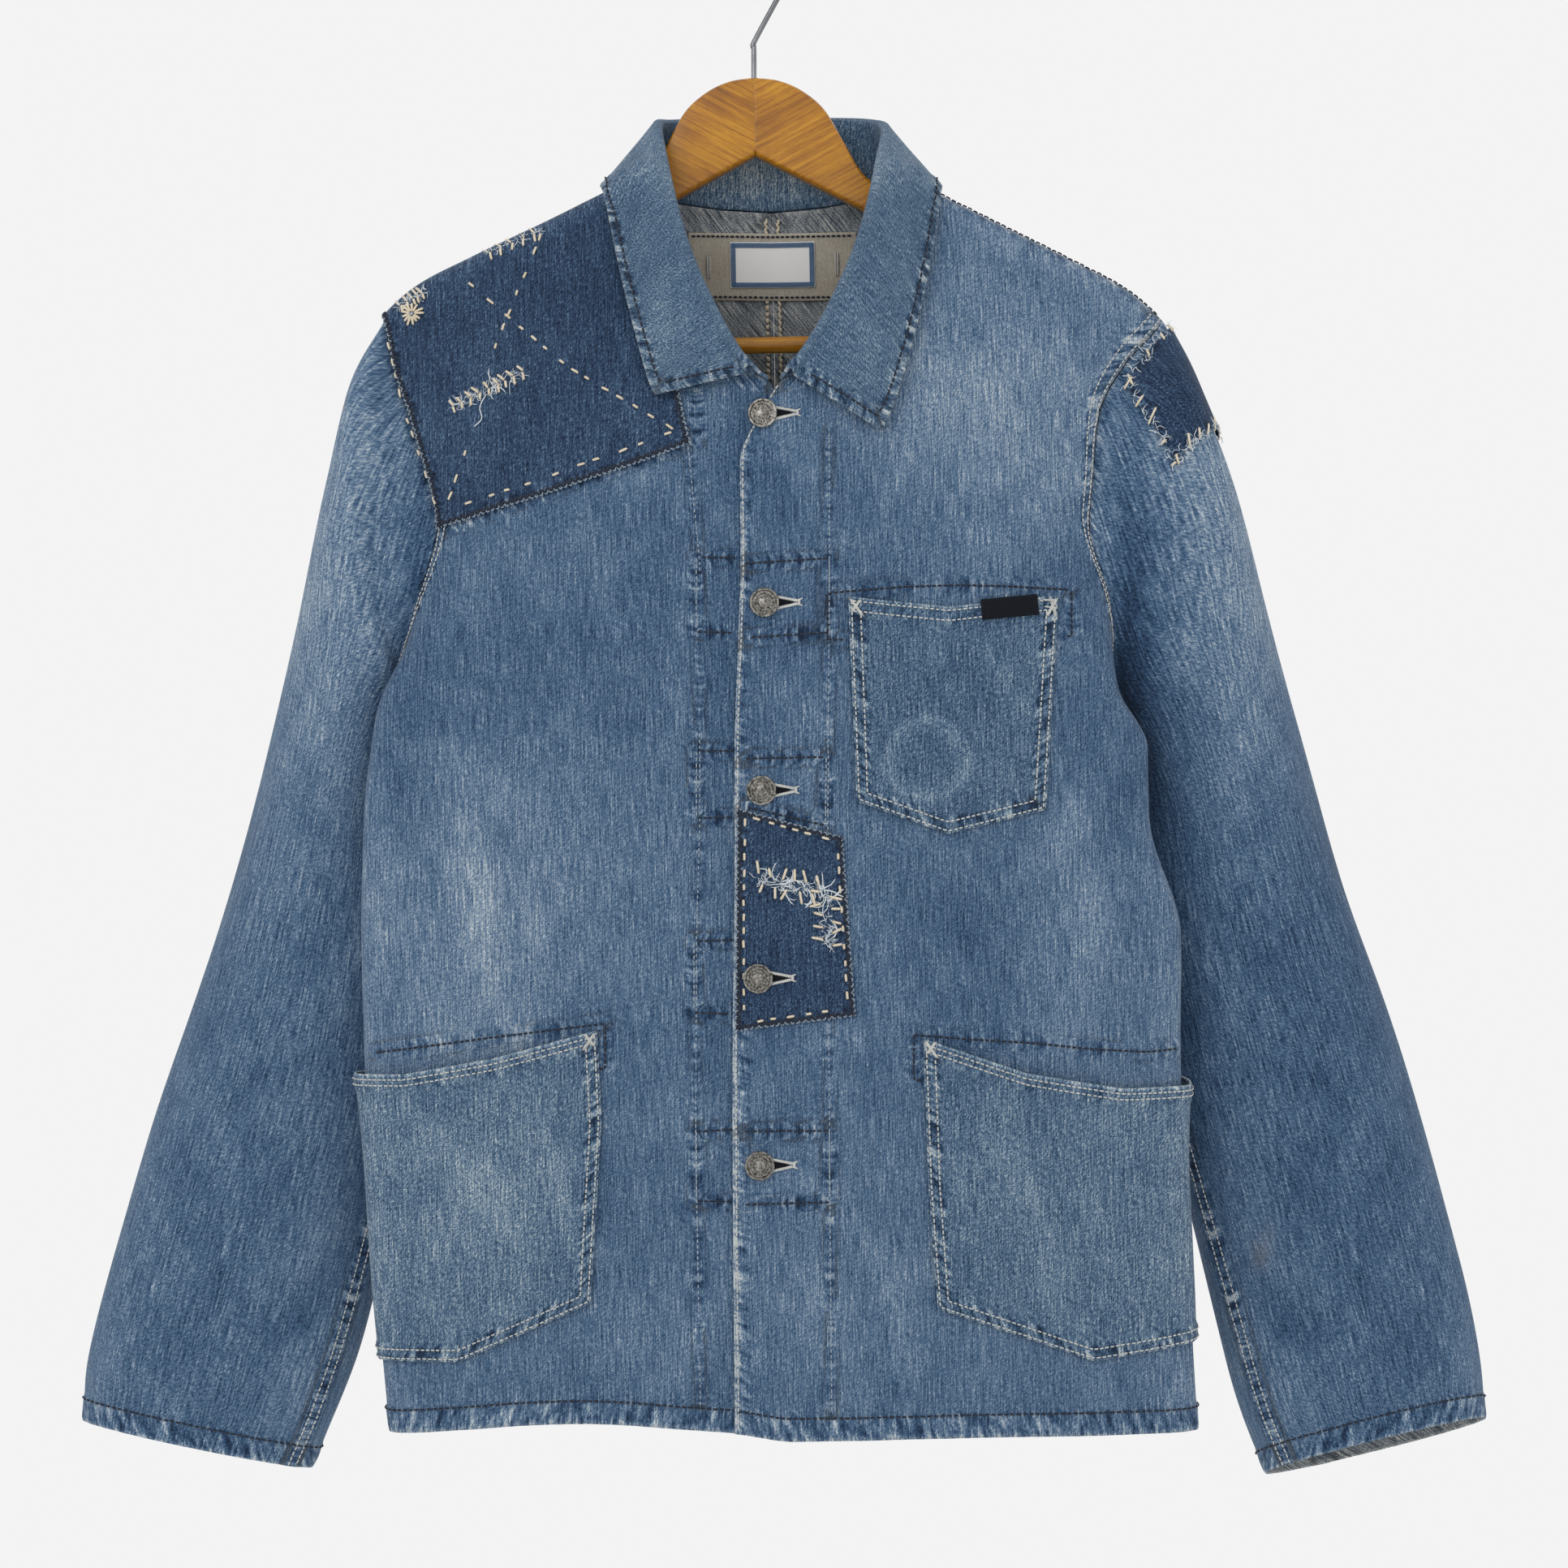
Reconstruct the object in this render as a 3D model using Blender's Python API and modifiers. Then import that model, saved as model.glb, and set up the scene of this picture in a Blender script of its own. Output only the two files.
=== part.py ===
"""Patched denim work jacket on a wooden hanger.

The jacket hangs as flat as cloth does over a 14 mm hanger. Its two fronts, two backs, sleeves, collar,
pockets and patches are separate walls of cloth, about 0.3 mm apart at the seams. The origin is the seat
of the hanger's hook: the inside of the top of its bend. The front faces -Y, +Z is up.

The body is one rounded surface. A point on it is given by `across`, the distance along the cloth from the
centre line (negative on the left as seen from the front), and by its height. The panels are areas of that
surface, so they meet along shared seam lines, and what is sewn on a panel is the same surface moved out.

Tables and named sizes are in millimetres in the jacket's own upright frame. `hang` turns them into metres
in the hanging frame, where the jacket leans a little and sits slightly off the middle of its hanger.
"""

import math
from typing import NamedTuple

import bpy
import numpy as np

MM = 0.001
SEAM_GAP = 0.3
RIDGE_SEAM = 0.4  # each side of the shoulder seam, whose two walls lean together
WALL = 1.5
POCKET_WALL = 1.2
PATCH_WALL = 1.0
COLLAR_WALL = 2.0
ON_PANEL = 1.0  # clear of the facets of the panel below

LEAN = math.radians(1.1)
LEAN_CENTRE = (10.3, -154.2)


class BodyRow(NamedTuple):
    """One level cross-section of the body: half widths at the fold, depths, and the back's squareness."""

    height: float
    left: float
    right: float
    front: float
    fold: float
    back: float
    back_power: float


FRONT_POWER = 3.5  # squareness of the front's cross-section
BODY = (
    BodyRow(-140, 262, 262, -50, -2, 46, 2.8),
    BodyRow(-235, 239, 241, -50, -2, 47, 2.8),
    BodyRow(-262, 236, 219, -51, -3, 48, 2.8),
    BodyRow(-292, 227, 203, -52, -4, 48, 2.8),
    BodyRow(-350, 212, 195, -53, -6, 48, 2.8),
    BodyRow(-385, 211, 192, -54, -16, 48, 2.4),
    BodyRow(-420, 218, 194, -55, -28, 48, 2.0),
    BodyRow(-455, 235, 198, -55, -33, 48, 1.7),
    BodyRow(-490, 241.5, 214.5, -55, -33, 48, 1.5),
    BodyRow(-530, 246, 214.5, -55, -32, 48, 1.45),
    BodyRow(-600, 249, 231, -54, -30, 48, 1.45),
    BodyRow(-670, 248.5, 230.5, -54, -28, 48, 1.5),
    BodyRow(-760, 246, 232, -52, -25, 47, 1.6),
    BodyRow(-830, 242, 234.5, -51, -22, 46, 1.8),
    BodyRow(-890, 238, 237, -50, -20, 46, 2.0),
)


class RidgeRow(NamedTuple):
    """Height of the shoulder line, out from the middle."""

    out: float
    left: float
    right: float


RIDGE = (
    RidgeRow(0, -106, -106),
    RidgeRow(80, -147.5, -147.5),
    RidgeRow(98, -156, -157.5),
    RidgeRow(135, -173.5, -177),
    RidgeRow(178, -193, -199.5),
    RidgeRow(213, -211, -219.5),
    RidgeRow(231, -227, -236),
    RidgeRow(262, -262, -271),
)
RIDGE_HALF = 10.5  # half the width of the rounded top, over the hanger
RIDGE_FALL = 2.6
CHEST_FALL = 105.0


class ArmholeRow(NamedTuple):
    """Where the armhole seam lies round the body, in degrees from the centre front."""

    share: float  # of the drop from the shoulder point to the underarm
    front: float
    back: float


SHOULDER_OUT = 231.0
UNDERARM = -455.0
SIDE_SEAM_ANGLE = 106.0
ARMHOLE = (
    ArmholeRow(0.28, 56, 121),
    ArmholeRow(0.54, 56, 121),
    ArmholeRow(0.69, 64.6, 115.2),
    ArmholeRow(0.85, 91, 108),
    ArmholeRow(1.0, SIDE_SEAM_ANGLE, SIDE_SEAM_ANGLE),
)

NECK_FRONT = ((0, -272), (26, -265), (50, -243), (68, -212), (78, -178), (80, -147.5))
NECK_BACK = ((0, -163.6), (30, -162), (55, -158.5), (72, -153), (80, -147.5))
NECK_SHARE = 0.36  # of a panel's top edge
TOP_LEVELS = (0, 0.09, 0.18, 0.27, 0.325, 0.351, 0.36, 0.47, 0.58, 0.69, 0.8, 0.88, 0.94, 1)
ARMHOLE_LEVELS = (0, 0.05, 0.11, 0.2, 0.33, 0.5, 0.7, 0.87, 1)
SIDE_LEVELS = 6
EDGE_KEEP = (8, 3)

HEM_END = 236
HEM = ((-236, -882), (-131, -876.5), (-35, -884), (0, -889), (104, -889), (236, -890))
BACK_HEM = -884.0
PLACKET_EDGE = (
    (-884, -35),
    (-664, -32),
    (-570, -29),
    (-476, -27),
    (-382, -22),
    (-318, -21),
    (-300, -14),
    (-275, 2),
)
UNDERLAP_EDGE = ((-884, 8), (-300, 8), (-274, -2))
UNDERLAP_DROP = WALL + 1.2
UNDERLAP_RAMP = 26.0
UNDERLAP_REACH = 6.0  # how far past the placket's edge it is fully behind it


class SleeveRow(NamedTuple):
    """One ring of a sleeve: its outer and inner edges, front and back depths, and two tilts."""

    outer: tuple[float, float]
    inner: tuple[float, float]
    front: float
    back: float
    inner_back: float  # how far the inner edge lies behind the ring's middle
    back_drop: float  # how far the back hangs below the middle


LEFT_SLEEVE = (
    SleeveRow((-251, -267), (-219, -463), -37, 36, 14, 0),
    SleeveRow((-265.5, -325), (-217, -476), -36, 45, 18, 0),
    SleeveRow((-285, -402), (-216, -500), -27, 58, 14, 0),
    SleeveRow((-307, -479), (-216, -551), -19, 66, 6, 0),
    SleeveRow((-331, -556), (-217, -616), -15, 66, 0, 0),
    SleeveRow((-357, -634), (-224, -681), -10, 60, 0, 0),
    SleeveRow((-385, -712), (-238, -752), -6, 51, 0, 0),
    SleeveRow((-410, -790), (-257, -827), -3, 43, 0, 0),
    SleeveRow((-422, -840), (-273, -874), -2, 38, 0, 0),
    SleeveRow((-426.5, -880), (-289.5, -911), -1, 34, 0, 0),
)
RIGHT_SLEEVE = (
    SleeveRow((248, -277), (188, -463), -37, 36, 14, 0),
    SleeveRow((269.5, -335), (192, -476), -35, 45, 18, 0),
    SleeveRow((290, -412.5), (198, -502), -26, 58, 14, 0),
    SleeveRow((312, -491), (204, -562), -18, 66, 6, 0),
    SleeveRow((335, -569), (209, -628), -13, 66, 0, 0),
    SleeveRow((361, -648), (221, -692), -9, 60, 0, 0),
    SleeveRow((382.5, -727), (238, -763), -6, 52, 0, 2),
    SleeveRow((402, -805), (256, -840), -4, 44, 0, 5),
    SleeveRow((411, -855), (268, -889), -3, 40, 0, 7),
    SleeveRow((414, -896), (282, -926), -3, 38, 0, 8),
)
SLEEVE_POWER = 2.2
CLOSE_RINGS = (0.12, 0.4, 0.7, 1.0, 1.3, 1.6)  # finer steps below the armhole, in table rows


class CollarRow(NamedTuple):
    """One section of the collar: its place along the neckline, its roll and its outer edge."""

    share: float  # of the neckline, from the centre back to the centre front
    roll: tuple[float, float, float]
    edge: tuple[float, float]
    lift: float  # of the edge off the panel


LEFT_COLLAR = (
    CollarRow(0.0, (0, 27, -105), (0, -172), 6),
    CollarRow(0.14, (-34, 26, -105), (-48, -170), 6),
    CollarRow(0.25, (-57, 15, -108), (-90, -161), 7),
    CollarRow(0.34, (-63, -4, -113), (-98, -156), 8),
    CollarRow(0.45, (-60, -25, -134), (-95, -174), 8),
    CollarRow(0.58, (-53, -37, -168), (-89, -205), 8),
    CollarRow(0.72, (-43, -45, -202), (-82, -237), 8),
    CollarRow(0.86, (-28, -50, -236), (-74, -269), 8),
    CollarRow(0.99, (-14, -54, -263), (-69.6, -281), 8),
)
RIGHT_COLLAR = (
    CollarRow(0.0, (0, 27, -105), (0, -172), 6),
    CollarRow(0.14, (34, 26, -106), (48, -171), 6),
    CollarRow(0.25, (58, 15, -110), (90, -164), 6),
    CollarRow(0.34, (65, -4, -118), (99, -158), 6),
    CollarRow(0.45, (61, -25, -138), (97, -178), 6),
    CollarRow(0.58, (54, -37, -169), (90, -213), 7),
    CollarRow(0.72, (43, -45, -202), (81, -249), 7),
    CollarRow(0.86, (25, -50, -238), (70, -285), 7),
    CollarRow(0.99, (7, -54, -265), (61, -304), 7),
)
ROLL_RADIUS = 3.2
STAND_START = 1.25
BACK_NECK_SHARE = 0.34
COLLAR_END = 0.99

CHEST_POCKET = {
    "mouth": ((40, -399.5), (98, -408), (162, -401.5)),
    "inner": ((40, -399.5), (42.5, -518)),
    "outer": ((162, -401.5), (152, -525)),
    "bottom": ((42.5, -518), (95, -538), (152, -525)),
}
LEFT_POCKET = {
    "mouth": ((-110, -647.5), (-155, -661.5), (-194, -669), (-250, -668)),
    "inner": ((-110, -647.5), (-108.5, -700), (-117, -806)),
    "outer": ((-250, -668), (-250, -839)),
    "bottom": ((-117, -806), (-183, -839), (-250, -839)),
}
RIGHT_POCKET = {
    "mouth": ((78.5, -656), (126, -676), (170, -686), (236, -676)),
    "inner": ((78.5, -656), (80, -741), (84, -813)),
    "outer": ((236, -676), (238, -832)),
    "bottom": ((84, -813), (156, -845.5), (238, -832)),
}
PLACKET_PATCH = {
    "mouth": ((-25, -519), (34, -537)),
    "inner": ((-25, -519), (-28, -650)),
    "outer": ((34, -537), (39, -640)),
    "bottom": ((-28, -650), (39, -640)),
}
NECK_PATCH = {
    "mouth": ((-52, -174.5), (52, -176)),
    "inner": ((-52, -174.5), (-52, -214)),
    "outer": ((52, -176), (52, -216)),
    "bottom": ((-52, -214), (52, -216)),
}
NECK_LABEL = {
    "mouth": ((-26, -180), (26, -180.5)),
    "inner": ((-26, -180), (-26, -207)),
    "outer": ((26, -180.5), (26, -207.5)),
    "bottom": ((-26, -207), (26, -207.5)),
}
POCKET_TAB = {
    "mouth": ((116, -403), (149, -400.5)),
    "inner": ((116, -403), (117, -415)),
    "outer": ((149, -400.5), (150, -412.5)),
    "bottom": ((117, -415), (150, -412.5)),
}

BUTTONS = ((-7.3, -292), (-8.5, -401.4), (-12.4, -510.7), (-16.4, -618.6), (-17.5, -727.5))
BUTTON_RADIUS = 8.6
BUTTON_RIM = 2.6
BUTTON_DISH = 0.7
BUTTON_SEGMENTS = 20
BUTTON_BACK, BUTTON_EDGE, BUTTON_LIP, BUTTON_FACE = 0.86, 0.93, 0.76, 0.7  # shares of its radius

HANGER_MIDDLE = -9.0
HANGER_APEX = -87.4
HANGER_THICK = 14.0
HANGER_CORNER = 5.0  # rounding of a section's corners
SECTION_POINTS = 16
HANGER_TOP = ((0, 0), (15, 2.2), (30, 9.4), (42, 20.5), (52, 38), (62, 56), (76, 70))
DOME_END = 76.0  # from here the top falls as fast as the underside
DOME_LEAVES = 62.0  # from here the top eases over to the line under the cloth
UNDER_CLOTH = 0.8  # the arms lie just under the cloth
HANGER_LOW_APEX = -133.6
HANGER_LOW_SLOPE = 0.53
ARM_HEIGHT = 26.7
ARM_MEETS_CLOTH = 110.0
ARM_END = 207.0
EAR_START = 178.0
EAR_STATIONS = (196.0, 206.0)
EAR_DROOP = 0.3
EAR_LOW = -257.0
BAR_HEIGHT = -246.0
BAR_RADIUS = 4.9
BAR_REACH = 0.75

HOOK_WIRE = 1.6
HOOK_RADIUS = 21.8
HOOK_CENTRE = -20.2
HOOK_NECK_TOP = -62.3
HOOK_TIP_FLARE = 9.0
HOOK_STEPS = 18

SHOULDER_PATCH_LOW = ((-50, -305), (-196, -354))  # its lower edge, inner end first
SHOULDER_PATCH_WIDENS = -200.0  # below here it reaches in past the neck's width
SHOULDER_PATCH_BACK_ROWS = 5
SHOULDER_PATCH_CLEAR = 12  # between its own slanted rows and the panel's level ones
ON_SHOULDER = 1.8  # clear of the facets of both panels and of their seam
SLEEVE_PATCH_RINGS = slice(1, 7)
SLEEVE_PATCH_TURN = (4, 3, 2, 1, 0, -1, -2, -3)

COLLECTION = "patched denim jacket on hanger"
TURN_STEPS, TURN_END = 60, 150  # samples and degrees of each face's cross-section

DENIM = (0.12, 0.19, 0.29)
DENIM_LIGHT = (0.19, 0.27, 0.37)
DENIM_DARK = (0.032, 0.065, 0.125)


def through(table, at):
    """A smooth curve through rows of (position, value), read at one or many positions."""
    table = sorted(table)
    knots = np.array([row[0] for row in table], float)
    values = np.array([row[1] for row in table], float)
    steps = np.diff(knots)
    slopes = np.diff(values) / steps
    tangents = np.zeros(len(knots))
    if len(knots) > 2:
        turns = slopes[:-1] * slopes[1:] > 0
        tangents[1:-1] = np.where(turns, (slopes[:-1] + slopes[1:]) / 2, 0)
        limit = 2 * np.minimum(abs(slopes[:-1]), abs(slopes[1:]))
        tangents[1:-1] = np.clip(tangents[1:-1], -limit, limit)
    tangents[0], tangents[-1] = slopes[0], slopes[-1]
    at = np.clip(np.asarray(at, float), knots[0], knots[-1])
    index = np.clip(np.searchsorted(knots, at) - 1, 0, len(steps) - 1)
    step = steps[index]
    s = (at - knots[index]) / step
    return (
        values[index] * (1 + 2 * s) * (1 - s) ** 2
        + tangents[index] * step * s * (1 - s) ** 2
        + values[index + 1] * s**2 * (3 - 2 * s)
        + tangents[index + 1] * step * s**2 * (s - 1)
    )


def along(points, shares):
    """Points at the given shares of the length of an open line."""
    points = np.array(points, float)
    run = np.concatenate([[0], np.cumsum(np.linalg.norm(np.diff(points, axis=0), axis=1))])
    shares = np.asarray(shares, float) * run[-1]
    return np.stack([np.interp(shares, run, points[:, k]) for k in range(points.shape[1])], -1)


def ridge(x):
    """Height of the top of the shoulders."""
    left = through([(row.out, row.left) for row in RIDGE], np.abs(x))
    right = through([(row.out, row.right) for row in RIDGE], np.abs(x))
    return np.where(np.asarray(x) < 0, left, right)


def outline(height, side, angle):
    """Level cross-section of the body at an angle from the centre front, as x and depth."""

    def column(name):
        return through([(row.height, getattr(row, name)) for row in BODY], height)

    half = np.where(side < 0, column("left"), column("right"))
    sine, cosine = np.sin(angle), np.cos(angle)
    power = np.where(cosine >= 0, FRONT_POWER, column("back_power"))
    radius = (np.abs(sine) ** power + np.abs(cosine) ** power) ** (-1 / power)
    depth = np.where(cosine >= 0, column("front"), column("back")) - column("fold")
    x = side * half * np.abs(sine) * radius
    return x, column("fold") + depth * np.abs(cosine) * radius


def shoulder_depth(x, height, depth, facing):
    """Depth below the shoulder line: the rounded top over the hanger, opening to the body's own depth."""
    below = np.maximum(ridge(x) - height, 0)
    top = RIDGE_HALF * np.sqrt(1 - np.exp(-below / RIDGE_FALL))
    chest = 1 - np.exp(-((below / CHEST_FALL) ** 1.2))
    return depth * chest - top * (1 - chest) * np.clip(facing * 2.5, -1, 1)


def unroll(height, side, face):
    """Angles round a cross-section, and the cloth's length to each from the centre line."""
    quarter = np.linspace(0, 1, TURN_STEPS + 1) * math.radians(TURN_END)
    angles = quarter if face == "front" else math.pi - quarter
    x, y = outline(height[:, None], side[:, None], angles[None, :])
    run = np.hypot(np.diff(x, axis=1), np.diff(y, axis=1)).cumsum(axis=1)
    return angles, np.concatenate([np.zeros((len(height), 1)), run], axis=1)


def body(across, height, face="front"):
    """Points on the body from the distance across the cloth and the height."""
    across, height = (np.atleast_1d(np.asarray(v, float)) for v in (across, height))
    side = np.where(across < 0, -1.0, 1.0)
    angles, run = unroll(height, side, face)
    angle = np.array([np.interp(a, r, angles) for a, r in zip(np.abs(across), run, strict=True)])
    return at_angle(angle, height, side)


def at_angle(angle, height, side):
    """Points on the body from the angle round its cross-section and the height."""
    x, y = outline(height, side, angle)
    return np.stack([x, shoulder_depth(x, height, y, np.cos(angle)), height], -1)


def across_at(angle, height, side, face):
    """Distance across the cloth to an angle round the body."""
    height, side = np.atleast_1d(height).astype(float), np.full(np.size(height), float(side))
    angle = np.broadcast_to(angle, height.shape)
    angles, run = unroll(height, side, face)
    order = 1 if face == "front" else -1
    found = [np.interp(a, angles[::order], r[::order]) for a, r in zip(angle, run, strict=True)]
    return side * np.array(found)


def across_of_x(x, height, face="front"):
    """Distance across the cloth to the point of a face at x."""
    x, height = np.broadcast_arrays(np.asarray(x, float), np.asarray(height, float))
    side = np.where(x < 0, -1.0, 1.0)
    angles, run = unroll(height, side, face)
    reach = np.abs(outline(height[:, None], side[:, None], angles[None, :])[0])
    near = np.arange(len(angles)) <= TURN_STEPS * 90 // TURN_END
    return side * np.array(
        [np.interp(abs(a), s[near], r[near]) for a, s, r in zip(x, reach, run, strict=True)]
    )


def armhole(side, face, levels):
    """Angles round the body and heights on the armhole seam: level 0 is the shoulder point."""
    top = float(ridge(side * SHOULDER_OUT))
    share = (1 - np.cos(math.pi * np.asarray(levels, float))) / 2
    start = across_of_x([side * SHOULDER_OUT], [top], face)
    angles, run = unroll(np.array([top]), np.array([float(side)]), face)
    first = (0.0, math.degrees(np.interp(abs(start[0]), run[0], angles)))
    rows = [first] + [(row.share, getattr(row, face)) for row in ARMHOLE]
    return np.radians(through(rows, share)), top + (UNDERARM - top) * share


def side_line(side, face, hem):
    """The side seam from the hem up, then the armhole, as rows of across and height."""
    low = hem + (UNDERARM - hem) * np.linspace(0, 1, SIDE_LEVELS + 1)[:-1]
    seam = across_at(math.radians(SIDE_SEAM_ANGLE), low, side, face)
    angle, high = armhole(side, face, ARMHOLE_LEVELS[::-1])
    rising = across_at(angle, high, side, face)
    pulled = np.append(seam, rising) - side * SEAM_GAP
    return np.stack([pulled, np.append(low, high)], -1)


def top_line(side, face):
    """The neckline out from the middle, then the shoulder seam, as rows of across and height."""
    neck = NECK_FRONT if face == "front" else NECK_BACK
    levels = np.array(TOP_LEVELS)
    neckline = along(neck, levels[levels <= NECK_SHARE] / NECK_SHARE)
    share = (levels[levels > NECK_SHARE] - NECK_SHARE) / (1 - NECK_SHARE)
    out = neck[-1][0] + (SHOULDER_OUT - neck[-1][0]) * share
    x = side * np.append(neckline[:, 0], out)
    height = np.append(neckline[:, 1], ridge(side * out))
    return np.stack([across_of_x(x, height, face), height], -1)


def fill(bottom, top, left, right, u, v, keep=(1, 1)):
    """A grid of points between four edges that share their corners, rows from bottom to top.

    The larger the numbers in `keep`, the less far the bends of the left and right edges reach in.
    """
    u, v = np.asarray(u)[None, :, None], np.asarray(v)[:, None, None]
    near, far = (1 - u) ** keep[0], u ** keep[1]
    across = (1 - v) * bottom[None] + v * top[None]
    upward = near * left[:, None] + far * right[:, None]
    low = near * bottom[0] + far * bottom[-1]
    high = near * top[0] + far * top[-1]
    return across + upward - (1 - v) * low - v * high


def panel_grid(side, face):
    """A front or back panel as a grid of across and height, rows from the hem to the top."""
    if face == "front":
        hem_here = through(HEM, [0, side * HEM_END])
    else:
        hem_here = (BACK_HEM, BACK_HEM)
    right = side_line(side, face, hem_here[1])
    top = top_line(side, face)
    v = (right[:, 1] - right[0, 1]) / (right[-1, 1] - right[0, 1])
    if face == "front":
        edge = PLACKET_EDGE if side > 0 else UNDERLAP_EDGE
        top[0] = edge[-1][1], edge[-1][0]
        heights = edge[0][0] + (edge[-1][0] - edge[0][0]) * v
        left = np.stack([through(edge, heights), heights], -1)
    else:
        top[0, 0] = side * SEAM_GAP
        left = np.stack([np.full(len(v), side * SEAM_GAP), BACK_HEM + (top[0, 1] - BACK_HEM) * v], -1)
    u = np.array(TOP_LEVELS)
    bottom_across = left[0, 0] + (right[0, 0] - left[0, 0]) * u
    low = through(HEM, bottom_across) if face == "front" else np.full(len(u), BACK_HEM)
    low[0], low[-1] = left[0, 1], right[0, 1]
    bottom = np.stack([bottom_across, low], -1)
    return fill(bottom, top, left, right, u, v, keep=EDGE_KEEP)


def on_body(grid, face, out=0.0):
    """Points of a grid on the body, moved out along the surface's own normal."""
    shape = grid.shape[:-1]
    across, height = grid[..., 0].ravel(), grid[..., 1].ravel()
    point = body(across, height, face)
    if out:
        ahead = body(across + 1.0, height, face) - body(across - 1.0, height, face)
        above = body(across, height + 1.0, face) - body(across, height - 1.0, face)
        normal = np.cross(ahead, above)
        normal /= np.linalg.norm(normal, axis=1)[:, None]
        facing = 1 if face == "front" else -1
        point = point + normal * out * facing
    gap = -RIDGE_SEAM if face == "front" else RIDGE_SEAM
    return (point + np.array((0, gap, 0))).reshape(*shape, 3)


def hang(points):
    """Points of the upright jacket, in millimetres, as metres in the hanging frame."""
    points = np.asarray(points, float)
    rise = points[..., 2] - LEAN_CENTRE[1]
    turn, keep = math.sin(LEAN), math.cos(LEAN)
    x = LEAN_CENTRE[0] + points[..., 0] * keep - rise * turn
    z = LEAN_CENTRE[1] + points[..., 0] * turn + rise * keep
    return np.stack([x, points[..., 1], z], -1) * MM


def finish(name, colour, roughness, metallic=0.0):
    """The piece's own material."""
    material = bpy.data.materials.new(name)
    material.use_nodes = True
    shader = material.node_tree.nodes["Principled BSDF"]
    shader.inputs["Base Color"].default_value = (*colour, 1)
    shader.inputs["Roughness"].default_value = roughness
    shader.inputs["Metallic"].default_value = metallic
    return material


def add_mesh(name, vertices, faces, material):
    """A new object from vertices in metres, with its faces made to agree."""
    mesh = bpy.data.meshes.new(name)
    mesh.from_pydata([tuple(v) for v in vertices], [], faces)
    mesh.update()
    mesh.materials.append(material)
    mesh.shade_smooth()
    mesh.set_sharp_from_angle(angle=math.radians(50))
    obj = bpy.data.objects.new(name, mesh)
    bpy.data.collections[COLLECTION].objects.link(obj)
    return obj


def cloth(name, grid, wall, material, tube=False, flip=False, outward=False):
    """A wall of cloth on a grid of points: rows of points, closed round when it is a tube."""
    rows, columns = grid.shape[:2]
    faces = []
    for j in range(rows - 1):
        for i in range(columns if tube else columns - 1):
            k = (i + 1) % columns
            face = (j * columns + i, j * columns + k, (j + 1) * columns + k, (j + 1) * columns + i)
            faces.append(face[::-1] if flip else face)
    obj = add_mesh(name, hang(grid).reshape(-1, 3), faces, material)
    solid = obj.modifiers.new("wall", "SOLIDIFY")
    solid.thickness = wall * MM
    solid.offset = 1 if outward else -1
    return obj


def patch(name, edges, columns, rows, out, wall, material, face="front", follow=0):
    """A piece sewn on a panel: the area between four edges, made from the panel's points moved out.

    Its last columns follow the panel's own where it wraps round the fold at the side.
    """
    u, v = np.linspace(0, 1, columns + 1), np.linspace(0, 1, rows + 1)
    corners = {key: along(edges[key], u if key in ("mouth", "bottom") else v) for key in edges}
    left, right = corners["inner"][::-1], corners["outer"][::-1]
    seen = fill(corners["bottom"], corners["mouth"], left, right, u, v)
    across = across_of_x(seen[..., 0].ravel(), seen[..., 1].ravel(), face).reshape(seen.shape[:2])
    grid = np.stack([across, seen[..., 1]], -1)
    if follow:
        side = 1 if across[0, 0] > 0 else -1
        panel = panel_grid(side, "front")
        for place in range(1, follow + 1):
            line = panel[:, -place]
            grid[:, -place, 0] = np.interp(grid[:, -place, 1], line[:, 1], line[:, 0])
        start = columns - follow
        share = np.linspace(0, 1, start + 2)[None, :]
        ends = grid[:, :1, 0], grid[:, start + 1 : start + 2, 0]
        grid[:, : start + 2, 0] = ends[0] + (ends[1] - ends[0]) * share
        grid[:, -1, 0] -= side * SEAM_GAP
    turned_over = (face == "back") != (grid[0, -1, 0] < grid[0, 0, 0])
    return cloth(name, on_body(grid, face, out), wall, material, flip=turned_over, outward=out > 0)


def build_body(denim):
    """The two fronts and the two backs."""
    names = {1: "right", -1: "left"}
    for side, word in names.items():
        grid = panel_grid(side, "front")
        points = on_body(grid, "front")
        if side < 0:
            edge = through(PLACKET_EDGE, grid[..., 1])
            under = np.clip((grid[..., 0] - edge + UNDERLAP_REACH + UNDERLAP_RAMP) / UNDERLAP_RAMP, 0, 1)
            points[..., 1] += UNDERLAP_DROP * under
        cloth("front_" + word, points, WALL, denim, flip=side < 0)
        grid = panel_grid(side, "back")
        cloth("back_" + word, on_body(grid, "back"), WALL, denim, flip=side > 0)


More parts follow.
